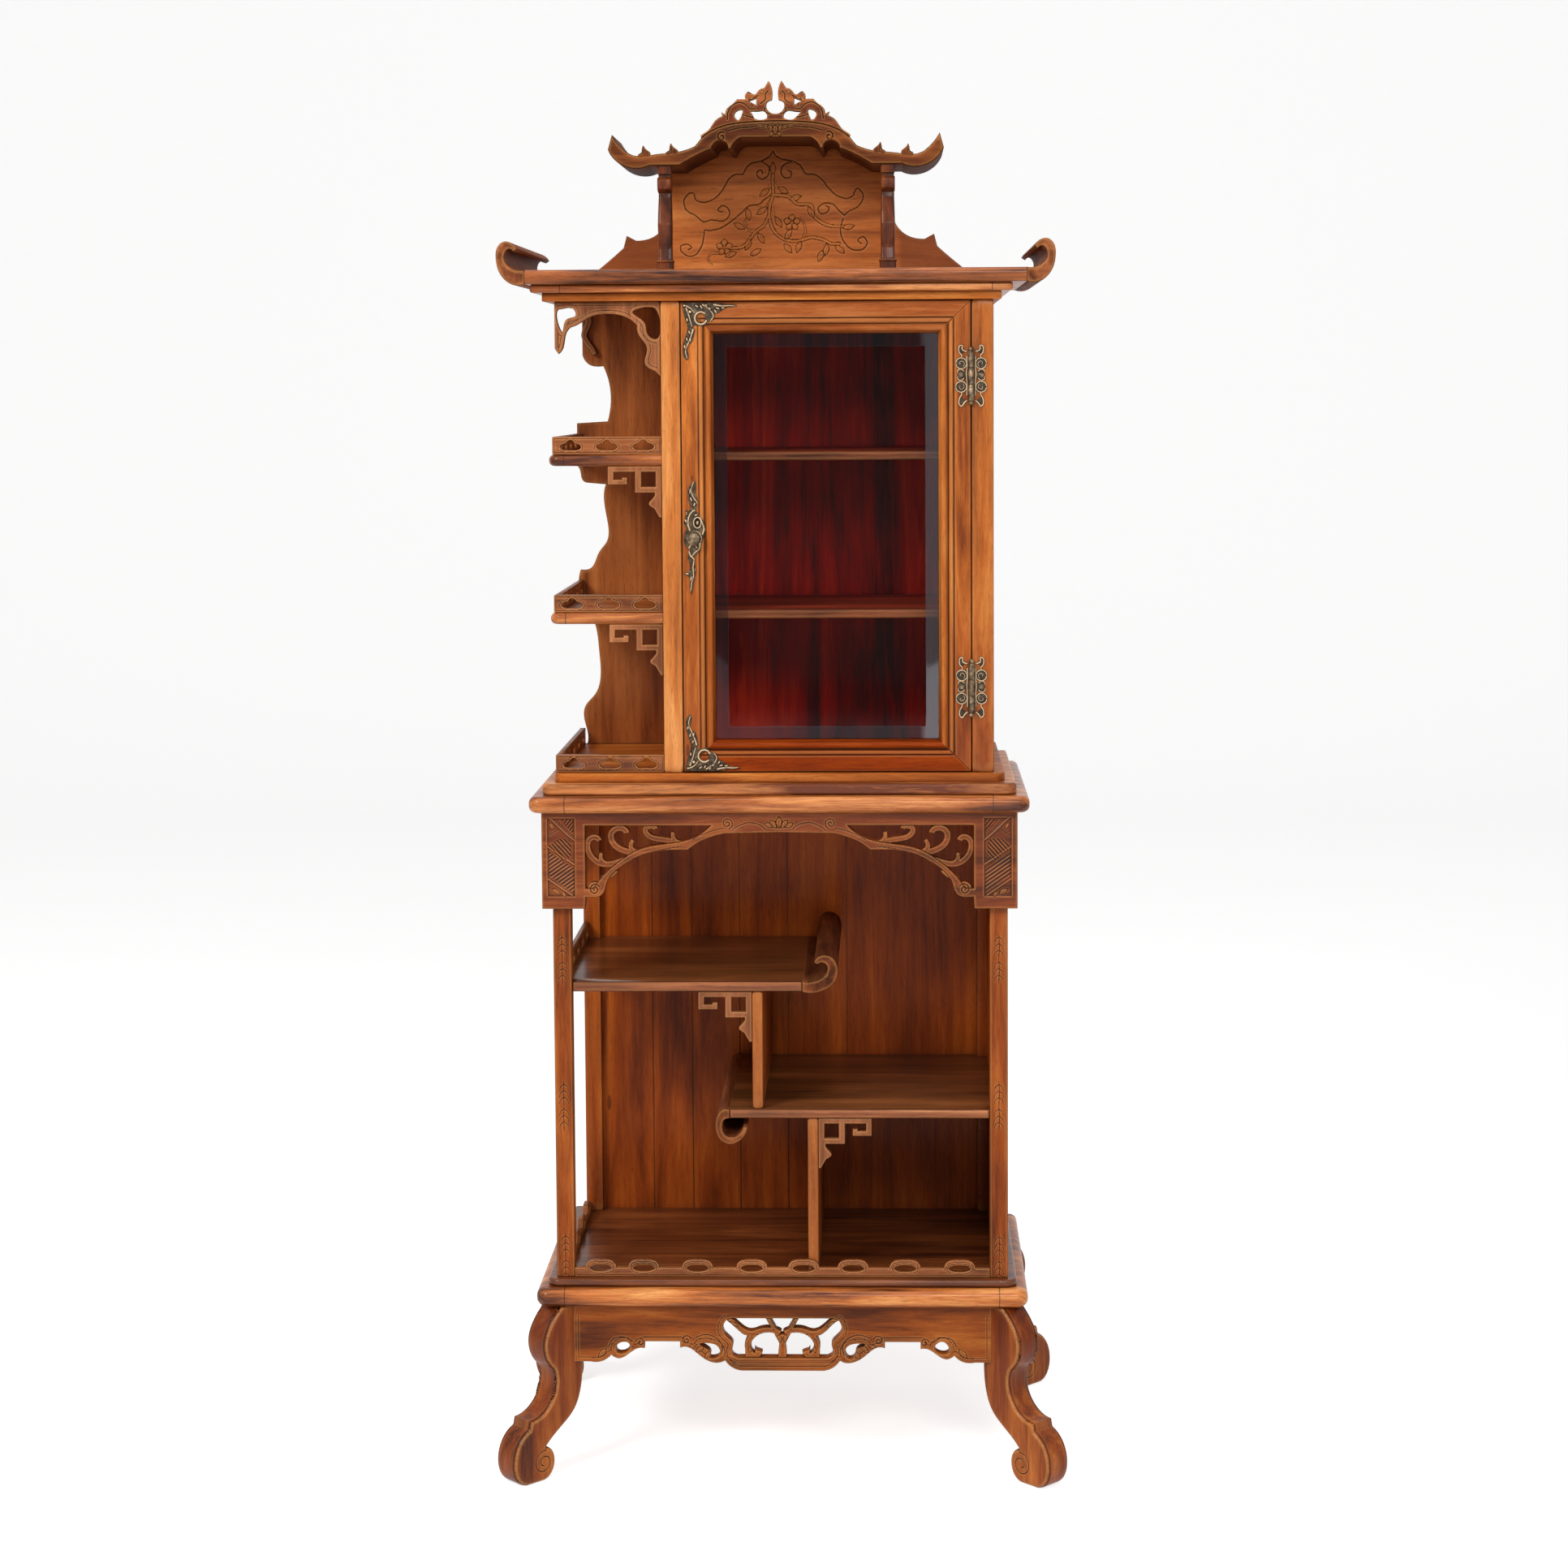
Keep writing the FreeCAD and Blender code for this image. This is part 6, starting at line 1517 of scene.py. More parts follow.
@dataclass
class Crest:
    """The engraved back panel, the curled roof, its dragons and the two shaped props.

    The shape of a prop is its half width and reach in millimetres at shares of its height.
    """
    foot: float = 1.636
    eave: float = 1.833
    roof_front: float = -0.150
    groove: float = 2.5
    depth: float = 1.4
    leaves: tuple = ((138.0, -41.5), (175.0, -44.0))
    prop_x: float = 0.1490
    prop_height: float = 0.1385
    prop_shape: tuple = (
        (0.0, 11.2, 22), (0.075, 11.2, 22), (0.08, 12.0, 24), (0.095, 12.0, 24), (0.10, 9.6, 16),
        (0.22, 9.2, 14), (0.36, 9.6, 20), (0.44, 9.8, 23), (0.56, 9.4, 19), (0.70, 8.8, 13),
        (0.745, 8.8, 12.5), (0.755, 9.6, 18), (0.78, 9.8, 25), (0.82, 9.8, 28), (0.86, 9.8, 28),
        (0.89, 9.6, 24), (0.895, 8.6, 17), (0.92, 8.6, 17), (0.925, 9.6, 22), (1.0, 9.6, 23))

    def panel_relief(self) -> Relief:
        """Scrolls round the edge, a bough with leaves, and two blossoms."""
        grooves = [
            [(-9.2, 169.2), (-14.5, 161.8), (-25.7, 155.5), (-40.6, 151.9), (-48.1, 143.6),
             (-51, 137.6), (-61.2, 137.3), (-70.6, 130.9), (-78.1, 118), (-89.4, 105.2),
             (-104.4, 99.2), (-116.5, 102.6), (-119.6, 111.8), (-126.7, 111), (-133.3, 100.8),
             (-128.8, 87.9), (-117.6, 81.3), (-106.5, 72.5), (-95.3, 74.7), (-78.5, 73.6),
             (-70, 81.9), (-72.8, 91.2), (-81.1, 94), (-85.8, 87.6), (-79.3, 85.7)],
            [(-9.2, 169.2), (-5.2, 162.7), (5, 157.5), (18, 155.1), (29.1, 148.6), (35.6, 138),
             (47.7, 136.5), (57.9, 129.9), (67.1, 117.9), (78.2, 107.6), (91.2, 103.3),
             (100.6, 106.5), (105.2, 115.7), (109.9, 115.7), (115.4, 106.4), (112.6, 97.2),
             (105.1, 89.9), (94.9, 85.3), (89.3, 79.8)],
            [(-25.7, 155.5), (-15.5, 148), (-15.6, 136.9), (-24, 130.5), (-31.4, 135.2),
             (-30.5, 141.7), (-24.9, 142.5), (-24, 137.9)],
            [(18, 155.1), (5, 149.5), (1.5, 140), (6.5, 132.5), (14, 133), (16, 139.5),
             (11, 142.5)],
            [(-13, 108.3), (-22.3, 101.9), (-29.8, 95.5), (-42.9, 93.7), (-52.3, 85.5),
             (-65.4, 74.5), (-82.3, 63.5), (-97.3, 60.2), (-104.3, 60.8), (-105.7, 52.5),
             (-108.6, 39.6), (-116.2, 27.6), (-127.4, 25.2), (-136.7, 31.4), (-137.6, 38.8),
             (-129.1, 41.6), (-122.7, 36.9), (-127.3, 34.1)],
            [(89.3, 79.8), (80, 88.2), (73.5, 95.3), (61.4, 96.7), (53, 90.3), (55.8, 82.8),
             (64.2, 83.7), (67.9, 90.2), (63.3, 93)],
            [(87.4, 75.2), (83.6, 60.5), (87.2, 45.6), (98.4, 33.5), (113.3, 32.5),
             (120.8, 41.7), (115.2, 50.1), (107.7, 45.5), (112.4, 40.8)]]
        boughs = [
            [(-9.4, 141.5), (-10.1, 125.8), (-9.6, 109.2), (-14, 94.4), (-15, 81.5),
             (-12.3, 66.7), (-4, 53.7), (9, 46.2), (25.8, 45.1), (42.6, 49.6), (59.3, 46.7),
             (70.5, 41.1), (81.6, 41)],
            [(-9.3, 108.8), (11.2, 106.3), (24.2, 96), (42.8, 94), (48.3, 77.4), (66.9, 66.1),
             (92.9, 64.1)],
            [(-15, 80.6), (-22.6, 66.7), (-33.8, 58.5), (-43.2, 46.5), (-52.6, 37.3),
             (-69.4, 35.6)]]
        twigs = [
            [(-33.8, 58.5), (-43.1, 60.4), (-48.7, 70.6), (-44.9, 79.9)],
            [(-10.1, 125.8), (-14.8, 118.5), (-18.5, 113.9)],
            [(-9.5, 127.7), (-4.5, 119.3), (2, 116.5)],
            [(-10.3, 92.6), (-8.5, 81.5), (-3.9, 74)], [(-14, 100), (-18.7, 92.6), (-22.4, 88.9)],
            [(61.2, 46.2), (62, 34.7), (57.3, 27.3)],
            [(28.6, 45.1), (35.1, 57.1), (32.4, 70.1), (25.9, 77.5)],
            [(-84.4, 29.2), (-95.6, 28.3), (-100.4, 21), (-94.8, 13.5)]]
        leaves = [(-26.4, 49.2, -60), (-34, 29.8, 30), (-44.4, 40.2, 60), (10.8, 35, -50),
                  (25.8, 36.9, -110), (11.6, 54.1, 60), (63.9, 32.8, -100), (82.6, 33.2, -40),
                  (-44, 82.2, 100), (21.4, 104.3, 20), (-56.5, 66, 150), (-68.7, 27, 200),
                  (42.9, 84.1, -60), (94.6, 64, 10), (-21.5, 112, 220), (4.5, 115, -30),
                  (-2, 71, -60), (-25, 87, 215), (-9.5, 146, 90), (56, 24, -110)]
        relief = Relief([Stroke(points, self.groove, self.depth) for points in grooves])
        relief.add(*[Stroke(points, 3.4, 1.1, Cut.STEM) for points in boughs])
        relief.add(*[Stroke(points, 2.2, 0.8, Cut.STEM, taper=0.6) for points in twigs])
        relief.add(*[Petal(x, z, 14.5, 6.6, degrees, 1.6, 0.9) for x, z, degrees in leaves])
        return relief.add(*self.blossom(16.6, 70.2, 6.4), *self.blossom(-77.3, 36.6, 6.2))

    @staticmethod
    def blossom(x: float, z: float, reach: float) -> list[Petal]:
        """Five round petals about a raised eye."""
        petals = [Petal(x + reach * math.cos(math.radians(turn)),
                        z + reach * math.sin(math.radians(turn)), 9.5, 8.0, turn, 1.7, 0.5)
                  for turn in range(90, 450, 72)]
        return petals + [Petal(x, z, 4.4, 4.4, 0, 1.8)]

    def dragon_relief(self) -> Relief:
        """Two facing dragons: eyes, manes, fins and clawed legs cut in the pierced board."""
        relief = Relief().both(Petal(-17.8, 37.5, 4.6, 3.6, 20, 1.2))
        lines = [
            [(-12.9, 50), (-15.5, 44.5), (-21.5, 43), (-26, 39)],
            [(-9.5, 39), (-13, 34), (-13, 28), (-19, 22.5)],
            [(-22.5, 33), (-28, 30.5), (-31.5, 24), (-30, 19)],
            [(-25.5, 37), (-31.5, 35.5), (-37, 37.5)], [(-24, 31), (-30, 27.5), (-35, 28)],
            [(-27, 15.5), (-33.5, 15.5), (-40, 21.5), (-48.5, 24), (-57.5, 19.5),
             (-62.5, 12), (-64, 1.5)],
            [(-47.6, 12), (-43.5, 8.5), (-36, 5.5), (-26, 3.5)],
            [(-72, 6.5), (-80.5, 0.5), (-88, -8.5), (-96, -15)],
            [(-14, 17), (-13.5, 11.5), (-7, 8.5)]]
        relief.both(*[Stroke(points, 2.1, 1.4) for points in lines])
        fins = [(-44, 31.5, 75), (-51, 31, 95), (-58, 28, 115), (-64, 22, 135), (-69, 14, 155),
                (-36.5, 27.5, 55)]
        relief.both(*[Petal(x, z, 6.5, 3.6, turn, 1.0, 0.3) for x, z, turn in fins])
        claws = [(-49, 7, 240), (-45, 5, 260), (-41, 6.5, 285), (-20, 47, 120), (-15, 49.5, 100)]
        return relief.both(*[Petal(x, z, 6.0, 2.6, turn, 0.9) for x, z, turn in claws])

    def fascia_relief(self) -> Relief:
        """The lotus and leaves at the roof's middle and the small scrolls beside it."""
        return Relief([Petal(0, -12.5, 11, 7.5, 90, 1.8, 0.4)]).both(
            Petal(-6.5, -10.5, 10, 5.5, 125, 1.5, 0.4), Petal(-12.5, -8.5, 10, 4.8, 155, 1.3, 0.4),
            Petal(-19.5, -7, 10, 4.4, 175, 1.1, 0.3), Petal(-5, -17.5, 8, 4, 235, 1.2, 0.3),
            Stroke(spiral(-71.5, -21, (6.5, 1.2), (60, 480)), 2.2, 1.8),
            Stroke(((-62, -13), (-48, -9.5), (-34, -8.5), (-27, -7.5)), 2.0, 1.0))

    def build(self) -> None:
        """Build the whole crest."""
        work_node("engraved_panel", "crest_panel", CARVED, Grain.X,
                  CarvedFace(FRONT, (0, 0.004, self.foot), 1.15, 1.4,
                             relief=self.panel_relief()),
                  CarvedFace(BACK_SIDE, grid=5.0))
        work_node("dragon_carving", "dragon_crest", DRAGON, Grain.X,
                  CarvedFace(FRONT, (0, self.roof_front, self.eave), 0.55, 1.0, 2.6,
                             relief=self.dragon_relief()),
                  CarvedFace(BACK_SIDE, grid=2.0, arris=1.0))
        work_node("curled_roof", "crest_roof", ROOF, Grain.X,
                  CarvedFace(FRONT, (0, self.roof_front, self.eave), 0.8, 2.4, 6.0,
                             relief=self.fascia_relief()),
                  CarvedFace(BACK_SIDE, grid=4.0))
        leaves = [self.leaf(side, away) for side in (-1, 1) for away in self.leaves]
        show("roof_leaves", joined(leaves), ROOF, Grain.X)
        props = [self.prop(side) for side in (-1, 1)]
        show("crest_props", joined(props), PROP, Grain.Z, "crest_brackets")

    def leaf(self, side: int, away: Point) -> Shell:
        """A small pointed leaf standing on the roof's front edge.

        Args:
            side: -1 for the left half and 1 for the right.
            away: its distance from the middle and its height above the eave line, in mm.

        Returns:
            Its shell.
        """
        edge = [(-8, -6), (8.5, -6), (8.5, 0.5), (5, 1.4), (3.6, 4.5), (3.4, 7.5), (1.6, 12.5),
                (-1.4, 8.4), (-5.2, 5.4), (-7.6, 3.4), (-8, 0.6)]
        outline = np.vstack([edge[:2], smooth_line(edge[2:], 0.9)])
        outline = outline * (side, 1) + (side * away[0], away[1])
        front, back = -0.1495, -0.1425
        vein = Stroke([(side * (away[0] + x), away[1] + z)
                       for x, z in ((0.5, -4), (0.4, 2), (1.4, 8))], 1.3, 0.7)
        face = CarvedFace(FRONT, (0, front, self.eave), 0.7, 0.9, 1.8, relief=Relief([vein]))
        return face.work(prism(outline * MM + (0, self.eave), front, back))

    def prop(self, side: int) -> Shell:
        """A prop between cornice and roof, with a curled head, a waisted shaft and a foot.

        At each height share its half width and its forward reach are read off two smooth
        lines, and its section is a rounded oblong: half width times cos(a)^0.4 across and
        reach times sin(a)^0.4 along, with the signs kept.

        Args:
            side: -1 for the left prop and 1 for the right.

        Returns:
            Its shell.
        """
        shape = np.array(self.prop_shape)
        fine = np.linspace(0, len(shape) - 1, 12 * len(shape))
        rows = np.column_stack([np.interp(fine, np.arange(len(shape)), shape[:, column])
                                for column in range(3)])
        rows[1:-1] = (rows[:-2] + 2 * rows[1:-1] + rows[2:]) / 4
        share, half, reach = rows.T
        turn = np.linspace(0, 2 * np.pi, 40, endpoint=False)
        across = np.sign(np.cos(turn)) * np.abs(np.cos(turn))**0.4
        along = np.sign(np.sin(turn)) * np.abs(np.sin(turn))**0.4
        back = -0.120
        places = np.empty((len(rows), len(turn), 3))
        places[..., 0] = side * self.prop_x + half[:, None] * MM * across
        depth = reach[:, None] * MM / 2
        places[..., 1] = back - depth + depth * along
        places[..., 2] = self.foot + share[:, None] * self.prop_height
        return capped(grid_shell(places, True), len(turn))


@dataclass
class Friezes:
    """The arched front frieze with its tendrils and hatched corners, and the end pieces."""
    top: float = 0.911
    front: float = -0.1805
    end: float = 0.320
    middle: float = 0.0115

    def corner(self, relief: Relief) -> None:
        """The sunk field in each corner block, with slanting reeds cut two ways."""
        block = ((274.5, -8), (312.5, -8), (312.5, -115), (274.5, -115))
        fan = ((276, -9), (295, -9), (276, -31))
        middle = ((279, -43), (284, -36), (298, -36), (311, -46), (311, -48), (290, -68),
                  (279, -60))
        lower = ((276, -76), (311, -52), (311, -86), (276, -112))
        relief.both(Ground(block, 1.2), Hatching(fan, 4.0, 50, 0.7),
                    Hatching(middle, 4.2, -48, 1.0), Hatching(lower, 4.4, 35, 1.1),
                    Stroke(((276, -38), (288, -28), (303, -13), (308, -9)), 2.0, 1.0, Cut.BEAD),
                    Stroke(((276, -33), (288, -23), (299, -11)), 1.8, 0.8),
                    Stroke(((276, -71), (293, -60), (311, -47)), 2.4, 1.0, Cut.BEAD),
                    Stroke(((298, -24), (311, -33)), 1.6, 0.7),
                    Stroke(((279, -113), (295, -102), (311, -91)), 2.2, 0.9, Cut.BEAD),
                    Petal(301, -108, 12, 5.5, 30, 1.2, 0.4), Petal(290, -112, 8, 4, 60, 1.0, 0.3),
                    Petal(306, -19, 8, 4, 60, 1.0, 0.3))

    def front_relief(self) -> Relief:
        """Everything cut in the front frieze."""
        relief = Relief([Petal(0, -14, 13, 7.5, 90, 1.9, 0.5)])
        self.corner(relief)
        relief.both(Stroke(spiral(248.6, -105, (7.6, 1.0), (150, -420)), 2.0, 1.3),
                    Stroke(spiral(69.5, -15.6, (7.8, 1.2), (250, -330)), 1.9, 0.9),
                    Stroke(((62.8, -24.6), (54.2, -19.2), (42.2, -14.6), (30.4, -15.9),
                            (22.5, -19.9), (18.5, -24)), 1.9, 0.9),
                    Stroke(((76, -22), (90, -25.5), (104, -31), (116, -37.5)), 1.8, 0.7),
                    Stroke(((132, -46.5), (156, -50.5), (186, -58.5), (210, -73.5),
                            (226, -93)), 1.7, 0.7),
                    Petal(7.4, -16.5, 12, 6, 50, 1.6, 0.5), Petal(13.5, -18, 11, 5, 22, 1.3, 0.4))
        return relief

    def end_relief(self) -> Relief:
        """The reeded corner blocks and a scroll at each shoulder of an end frieze."""
        inner, outer = 148.5, 170.5
        block = ((inner - 2, -8), (outer + 2, -8), (outer + 2, -115), (inner - 2, -115))
        upper = ((inner, -44), (outer - 5, -17), (outer, -17), (outer, -56), (inner, -70))
        lower = ((inner, -78), (outer, -62), (outer, -98), (inner, -112))
        return Relief().both(
            Ground(block, 1.4), Hatching(upper, 3.6, -48, 1.0), Hatching(lower, 3.6, 36, 1.0),
            Stroke(spiral(104, -30, (10, 1.4), (200, -300)), 2.2, 0.9),
            Stroke(((94, -34), (70, -20), (40, -13), (14, -16)), 2.0, 0.8))

    def build(self) -> None:
        """Build the three friezes."""
        work_node("carved_frieze", "frieze_front", ARCH, Grain.X,
                  CarvedFace(FRONT, (0, self.front, self.top), 0.95, 1.3, 2.6,
                             relief=self.front_relief()),
                  CarvedFace(BACK_SIDE, grid=3.0, arris=1.0))
        work_node("end_friezes", "frieze_sides", ARCH, Grain.Y,
                  *[CarvedFace(way, (way[0] * self.end, self.middle, self.top), 1.2, 1.3,
                               relief=self.end_relief()) for way in (LEFT, RIGHT)])


@dataclass
class Aprons:
    """The boards between the legs: the front one pierced and carved, the others plainer.

    All have a groove along their lobed lower edge, which ends a little below the top.
    """
    top: float = 0.234
    front: float = -0.172
    lobes: tuple = (6.8, 1.5, 0.9)
    lobe_span: Point = (-200, -14)

    def relief(self) -> Relief:
        """Leaf veins, hooked lines and the vine's leaves on the front apron."""
        return Relief().both(
            Stroke(((84, -70), (82, -58), (90, -47), (104, -42), (118, -46)), 2.0, 0.9),
            Stroke(((206, -52), (216, -46), (230, -48), (237, -58)), 2.0, 0.9),
            Stroke(spiral(131, -50, (7.0, 1.2), (160, -300)), 2.0, 0.9),
            Stroke(spiral(194, -53, (6.0, 1.2), (20, 460)), 2.0, 0.9),
            Petal(101, -70, 13, 6, -48, 1.3, 0.5), Petal(112, -62, 13, 5.5, -38, 1.3, 0.5),
            Petal(246, -68, 14, 6, -50, 1.3, 0.5), Petal(122, -58, 10, 4.6, -20, 1.1, 0.4),
            Petal(30, -46, 11, 5, 40, 1.2, 0.4), Petal(43, -62, 10, 5, -70, 1.2, 0.4),
            Petal(66, -28, 11, 5, 30, 1.2, 0.4), Petal(4, -48, 10, 5, 80, 1.2, 0.4))

    def build(self) -> None:
        """Build the four aprons."""
        lobed = (self.lobes, self.lobe_span)
        work_node("pierced_apron", "apron_front", APRON, Grain.X,
                  CarvedFace(FRONT, (0, self.front, self.top), 1.0, 1.5, 3.2, *lobed,
                             self.relief()),
                  CarvedFace(BACK_SIDE, grid=4.0))
        work_node("rear_apron", "apron_rear", APRON, Grain.X,
                  CarvedFace(BACK_SIDE, (0, -self.front, self.top), 2.0, 1.5, 3.0, *lobed))
        work_node("end_aprons", "apron_sides", APRON, Grain.Y,
                  *[CarvedFace(way, (0, 0, self.top), 1.8, 1.5, 3.0, *lobed)
                    for way in (LEFT, RIGHT)])


@dataclass
class Galleries:
    """Low pierced rails round the deck and the shelves, with a raised rim at each cloud."""
    rim: tuple = (2.5, 1.1, 0.55)

    def build(self) -> None:
        """Build the galleries of the deck, the left shelf and the bay."""
        for name, node, grain in (("deck_gallery", "base_galleries", Grain.X),
                                  ("shelf_gallery", "left_shelf_gallery", Grain.Y),
                                  ("bay_gallery", "bay_galleries", Grain.X)):
            work_node(name, node, GALLERY, grain,
                      *[CarvedFace(way, grid=1.2, arris=1.1, pillow=2.2, border=self.rim)
                        for way in UPRIGHT])


@dataclass
class Brackets:
    """Fretted and arched brackets under the shelves and in the open bay."""

    def build(self) -> None:
        """Build all the brackets."""
        for name, node, line in (("lower_frets", "lower_fret_brackets", None),
                                 ("bay_frets", "bay_fret_brackets", None),
                                 ("bay_arch", "bay_arch_bracket", (5.0, 1.4, 0.7)),
                                 ("rear_sprig", "bay_rear_bracket", None)):
            work_node(name, node, TRIM, Grain.Z,
                      CarvedFace(FRONT, grid=0.9, arris=1.3, pillow=3.0, border=line),
                      CarvedFace(BACK_SIDE, grid=2.5, arris=1.2))


@dataclass
class Brass:
    """The cast lock plate with its knob, the corner mounts and the hinges."""
    lock: tuple = (-0.112, -0.1545, 1.278)
    door_left: float = -0.1283
    door_ends: tuple = (0.9617, 1.5938)
    hinge: tuple = (0.2594, -0.157)
    hinge_heights: tuple = (1.075, 1.493)

    def lock_relief(self) -> Relief:
        """A ring round the knob, an oval shell above it and leaves to each tip."""
        relief = Relief([Stroke(((-3, -33), (-5.5, -41), (-4, -46)), 1.0, 0.5)])
        bead = Cut.BEAD
        ring = spiral(0.4, 0, (8.8, 8.8), (0, 330))
        oval = [(4.2 + 5.0 * math.cos(turn), 20.5 + 7.2 * math.sin(turn))
                for turn in np.linspace(0, 2 * math.pi, 12, endpoint=False)]
        relief.add(Stroke(ring, 2.6, 1.9, bead, closed=True),
                   Stroke(oval, 2.2, 1.8, bead, closed=True),
                   Ground(oval, 0.4, 1.5), Petal(4.2, 20.5, 7.5, 4.5, 80, 1.8, 0.4))
        for points in ([(-6, 10), (-8.5, 20), (-6.5, 30), (-2, 36), (3, 38), (4.5, 46),
                        (1, 52), (-2.5, 58), (-3, 68), (1.5, 80)],
                       [(11, 5), (12.8, 12), (11, 20), (8, 28)],
                       [(-5, -9), (-7.5, -16), (-5, -24), (-0.5, -29), (-2, -38),
                        (-1.5, -50), (-4, -60), (-5.5, -72)],
                       [(7.5, -7), (6, -15), (0, -20), (-3.5, -25)]):
            relief.add(Stroke(points, 2.6, 1.8, bead, taper=0.6))
        for x, z, length, degrees in ((-11.3, 23, 7, 120), (-10.5, 33, 7, 100), (0.5, 45, 8, 70),
                                      (-5, 63, 10, 80), (-10, -48, 7, 170), (1.2, -43, 8, -80),
                                      (-5, -55, 9, 250), (2.5, 31, 7, 30), (-4, 52, 8, 110),
                                      (-9, 3, 6, 95), (2.5, -12, 7, -60)):
            relief.add(Petal(x, z, length, 3.1, degrees, 1.6, 0.5))
        return relief

    def corner_relief(self, way: int) -> Relief:
        """A ring with a hooked end and leaves along both arms; way is -1 for the top one."""
        relief = Relief()
        ring = spiral(27.4, way * 21.9, (8.2, 8.2), (25 * way, 310 * way))
        relief.add(Stroke(ring, 2.7, 2.0, Cut.BEAD))
        for points in ([(7, 5), (14, 9), (19, 15)], [(8, 9), (11, 17), (13.5, 26), (15.5, 33)],
                       [(30, 4), (36, 8), (42, 14), (44, 20), (40.5, 25.5)],
                       [(45, 4), (56, 6), (66, 5.5), (74, 6.5)],
                       [(17, 37), (14, 46), (10, 56), (6.5, 65), (8.5, 75)]):
            relief.add(Stroke([(x, way * z) for x, z in points], 2.6, 1.8, Cut.BEAD,
                              taper=0.6))
        for x, z, degrees in ((22, 6, 30), (28, 7, 60), (35, 5, 40), (39, 9, 50), (50, 9, 20),
                              (57, 8.5, 10), (12, 41, 70), (8.5, 50, 75), (13, 51, 80),
                              (5.5, 60, 80), (47, 13, 60), (9, 24, 75)):
            relief.add(Petal(x, way * z, 7.2, 3.0, way * degrees, 1.5, 0.4))
        relief.add(Petal(5.2, way * 5.2, 3.6, 3.6, 0, 1.7), Petal(13, way * 13.5, 5, 5, 0, 1.8))
        return relief

    def build(self) -> None:
        """Build the plates, the hinge leaves and the hinge pins."""
        # crest is the height at which the plates are rubbed bright and given a painted highlight.
        fine, edge, crest, brass = 0.42, 0.5, 1.8, "antique_brass"
        work_node("cast_lock_plate", "lock_plate", BRASS, Grain.Z,
                  CarvedFace(FRONT, self.lock, fine, edge, 1.0, relief=self.lock_relief(),
                             polish_and_highlight=crest), body="door", slot=brass)
        low, high = self.door_ends
        shell = Shell.of_node("corner_mounts")
        upper = shell.points[:, 2] > (low + high) / 2
        halves = []
        for way, z, part in ((-1, high, upper), (1, low, ~upper)):
            own = Shell(shell.points, shell.triangles[part[shell.triangles[:, 0]]], shell.carve)
            face = CarvedFace(FRONT, (self.door_left, self.lock[1], z), fine, edge, 1.0,
                              relief=self.corner_relief(way), polish_and_highlight=crest)
            halves.append(face.work(own))
        show("cast_corner_mounts", joined(halves), BRASS, Grain.Z, "corner_mounts",
             body="door", slot=brass)
        for name, node, body, side in (
                ("post_hinge_leaves", "hinge_post_leaves", "cabinet", 1),
                ("door_hinge_leaves", "hinge_door_leaves", "door", -1)):
            leaves = [part for height in self.hinge_heights
                      for part in self.hinge_leaf(side, height)]
            show(name, joined(leaves), BRASS, Grain.Z, node, body=body, slot=brass)
        pins = [turned([(1.2, -39.2), (2.6, -38.2), (3.4, -36.6), (3.2, -35), (2.2, -33.9),
                        (1.9, -33.2), (1.9, 33.2), (2.2, 33.9), (3.2, 35), (3.4, 36.6),
                        (2.6, 38.2), (1.2, 39.2)], (*self.hinge, height))
                for height in self.hinge_heights]
        show("hinge_pin_rods", joined(pins), BRASS, Grain.Z, "hinge_pins", slot=brass)

    def hinge_leaf(self, side: int, height: float) -> list[Shell]:
        """One lacy leaf: two rings with curled eyes, a screw between them, hooks and knuckles.

        Args:
            side: 1 for the post's leaf and -1 for the door's.
            height: the height of the hinge's middle.

        Returns:
            Its parts.
        """
        origin, back = (self.hinge[0], height), -0.153
        rings = ((13.2, 16.6, (250, -60)), (13.4, -14.6, (110, 420)))
        bars = [(spiral(x, z, (7.3, 7.1), (0, 360)), 2.5, 2.4) for x, z, _ in rings]
        bars += [(spiral(x, z, (4.9, 1.2), turns), 1.5, 1.9) for x, z, turns in rings]
        bars += [([(5.6, 27), (5.4, 12), (6.2, 2), (5.4, -10), (5.8, -27)], 3.2, 2.2),
                 ([(4.6, 32.6), (9, 33.2), (12.2, 36), (11.4, 39.6), (14.4, 40.6), (16.4, 37),
                   (15.6, 31), (12.6, 27.6), (13.2, 23.6)], 2.9, 2.3),
                 ([(4.6, -32.4), (8, -34.6), (10.6, -37.8), (12.8, -40.4), (16.2, -37),
                   (15.6, -30), (12.8, -25), (13.2, -21.2)], 2.9, 2.3),
                 ([(9, 5.6), (12.4, 8.6), (17, 8.0), (18.4, 3.6)], 2.3, 2.0),
                 ([(9, -2.4), (12.4, -5.6), (17, -5.0), (18.4, -0.4)], 2.3, 2.0)]
        parts = [bar([(side * x, z) for x, z in points], width, rise, origin, back, (0.9, 0.8))
                 for points, width, rise in bars]
        for x, z, radius in ((*rings[0][:2], 7), (*rings[1][:2], 7), (11.6, 1.2, 6.6),
                             (13.2, 33.6, 4.2), (13.0, -33.0, 4.2)):
            disc = turned([(radius, 0.0), (radius, 0.5), (radius - 0.4, 0.7)],
                          (origin[0] + side * x * MM, back, height + z * MM), upright=False)
            # The discs are marked as hollow, so the metal paints them dark: tarnish and painted
            # shade.
            disc.carve[:] = -0.5
            parts.append(disc)
        screw_x, screw_z = 13.6, 1.4
        screw = [(3.9, 0.0), (3.9, 0.9), (3.4, 1.5), (2.4, 1.9), (0.9, 2.1)]
        parts.append(turned(screw, (origin[0] + side * screw_x * MM, back,
                                    height + screw_z * MM), upright=False))
        edge, gap = 11.2, 0.4
        knuckles = ((edge, 33), (-33, -edge)) if side > 0 else ((gap - edge, edge - gap),)
        for low, high in knuckles:
            parts.append(turned([(3.4, low), (3.9, low + 0.5), (3.9, high - 0.5), (3.4, high)],
                                (*self.hinge, height)))
        return parts


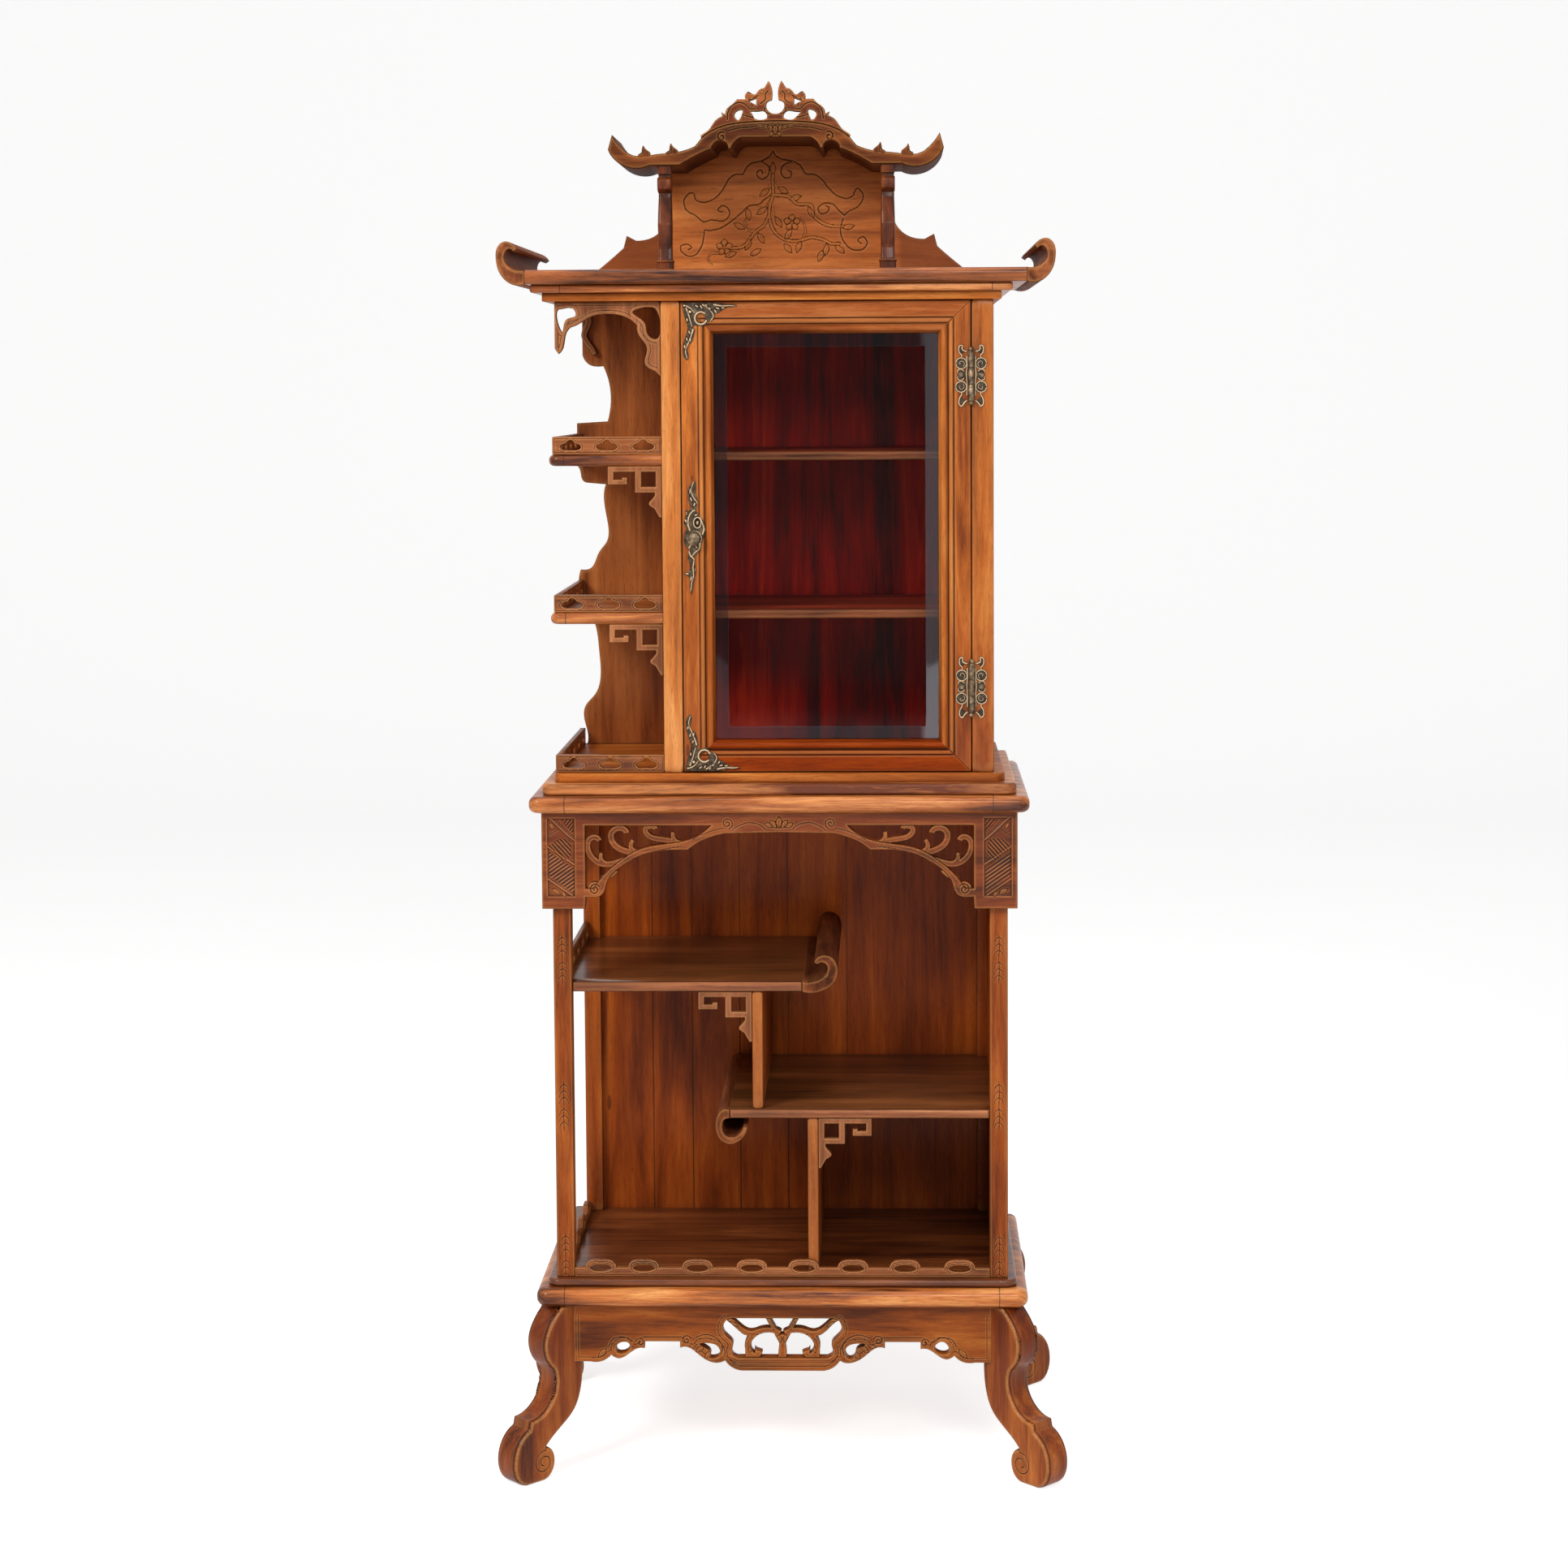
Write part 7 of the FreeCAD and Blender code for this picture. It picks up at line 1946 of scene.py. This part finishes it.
@dataclass
class Studio:
    """The pale floor and backdrop, the soft lamps and the camera.

    The camera's turns are in degrees.  Each lamp has its place, the height that it looks
    at, its width and height in metres, its watts and its colour.
    """
    lens: float = 68.04
    sensor: float = 36.0
    place: tuple = (0.14806, -4.12271, 1.47917)
    turns: tuple = (1.568, 90.0 - 4.179, -0.319)
    shift: tuple = (-0.015, -0.115)
    ambient: float = 0.20
    half_floor: float = 14.0
    bend_start: float = 6.0
    bend_radius: float = 3.0
    lamps: tuple = (
        ("key", (-2.3, -3.0, 3.3), 1.1, (1.3, 1.3), 96, (1.0, 0.98, 0.95)),
        ("front", (0.8, -3.6, 2.7), 1.0, (1.5, 0.9), 47, (1.0, 1.0, 1.0)),
        ("side", (2.9, -2.4, 1.9), 0.9, (1.4, 2.2), 18, (0.97, 0.98, 1.0)),
        ("top", (0.2, -0.5, 3.9), 1.0, (2.0, 1.4), 34, (1.0, 1.0, 1.0)),
        ("low", (0.3, -3.6, 0.35), 0.5, (2.2, 0.6), 8, (1.0, 1.0, 1.0)))

    def camera(self) -> None:
        """The camera at the photograph's place: turned about Z, then X, then its own Z."""
        data = bpy.data.cameras.new("camera")
        data.lens, data.sensor_width = self.lens, self.sensor
        data.shift_x, data.shift_y = self.shift
        data.clip_end = 60.0
        camera = bpy.data.objects.new("camera", data)
        bpy.context.scene.collection.objects.link(camera)
        about, tilt, roll = (math.radians(turn) for turn in self.turns)
        camera.matrix_world = (Matrix.Translation(self.place) @ Matrix.Rotation(about, 4, "Z")
                               @ Matrix.Rotation(tilt, 4, "X") @ Matrix.Rotation(roll, 4, "Z"))
        bpy.context.scene.camera = camera

    def lamp(self, name: str, place: tuple, target: float, size: tuple, watts: float,
             colour: Colour) -> None:
        """A soft oblong lamp that looks at the cabinet's middle.

        Args:
            name: its name.
            place: where it hangs.
            target: the height that it looks at.
            size: its width and height in metres.
            watts: its power.
            colour: its colour.
        """
        data = bpy.data.lights.new(name, "AREA")
        data.shape, data.size, data.size_y = "RECTANGLE", *size
        data.energy, data.color = watts, colour
        lamp = bpy.data.objects.new(name, data)
        bpy.context.scene.collection.objects.link(lamp)
        lamp.location = place
        look = Vector((0, 0, target)) - Vector(place)
        lamp.rotation_euler = look.to_track_quat("-Z", "Y").to_euler()

    def floor(self) -> None:
        """A floor that curves up to a backdrop far behind: a quarter circle between them."""
        along = np.linspace(-self.half_floor, self.half_floor, 9)
        start, radius = self.bend_start, self.bend_radius
        run = np.array([[-self.half_floor, 0.0], [-4, 0], [3, 0], [start, 0]])
        turn = np.radians(np.linspace(0, 90, 13))
        bend = np.column_stack([start + radius * np.sin(turn), radius - radius * np.cos(turn)])
        profile = np.vstack([run, bend[1:], [[start + radius, self.half_floor]]])
        places = np.empty((len(profile), len(along), 3))
        places[..., 0] = along[None, :]
        places[..., 1] = profile[:, :1]
        places[..., 2] = profile[:, 1:]
        shell = grid_shell(places)
        shell.triangles = shell.triangles[:, ::-1]
        mesh = shell.mesh("studio_floor")
        material = bpy.data.materials.new("studio_floor")
        nodes = Nodes(material)
        paper = nodes.add("BsdfDiffuse", {"Color": (0.78, 0.78, 0.78, 1)}).outputs[0]
        glow = nodes.add("Emission", {"Color": (1, 1, 1, 1), "Strength": 0.72}).outputs[0]
        both = nodes.add("AddShader", {0: paper, 1: glow}).outputs[0]
        nodes.close(nodes.add("MixShader", {0: nodes.seen(), 1: paper, 2: both}).outputs[0])
        mesh.materials.append(material)
        floor = bpy.data.objects.new("studio_floor", mesh)
        bpy.context.scene.collection.objects.link(floor)

    def world(self) -> None:
        """Plain light from all round, seen as white."""
        world = bpy.data.worlds.new("studio")
        bpy.context.scene.world = world
        nodes = Nodes(world)
        strength = nodes.span(nodes.seen(), 0.0, 1.0, self.ambient, 1.0)
        light = nodes.add("Background", {"Color": (1, 1, 1, 1), "Strength": strength})
        nodes.add("OutputWorld", {"Surface": light.outputs[0]})

    def build(self) -> None:
        """Set up the whole studio."""
        bpy.context.scene.view_settings.view_transform = "Standard"
        self.camera()
        self.world()
        self.floor()
        for lamp in self.lamps:
            self.lamp(*lamp)


def main() -> None:
    """Build the studio and the cabinet, and report each piece."""
    logging.basicConfig(level=logging.INFO, format="%(message)s")
    Studio().build()
    for part in (Boards(), Pane(), Posts(), Legs(), Aprons(), Galleries(), Friezes(),
                 Brackets(), Crest(), Brass()):
        part.build()


if __name__ == "__main__":
    main()
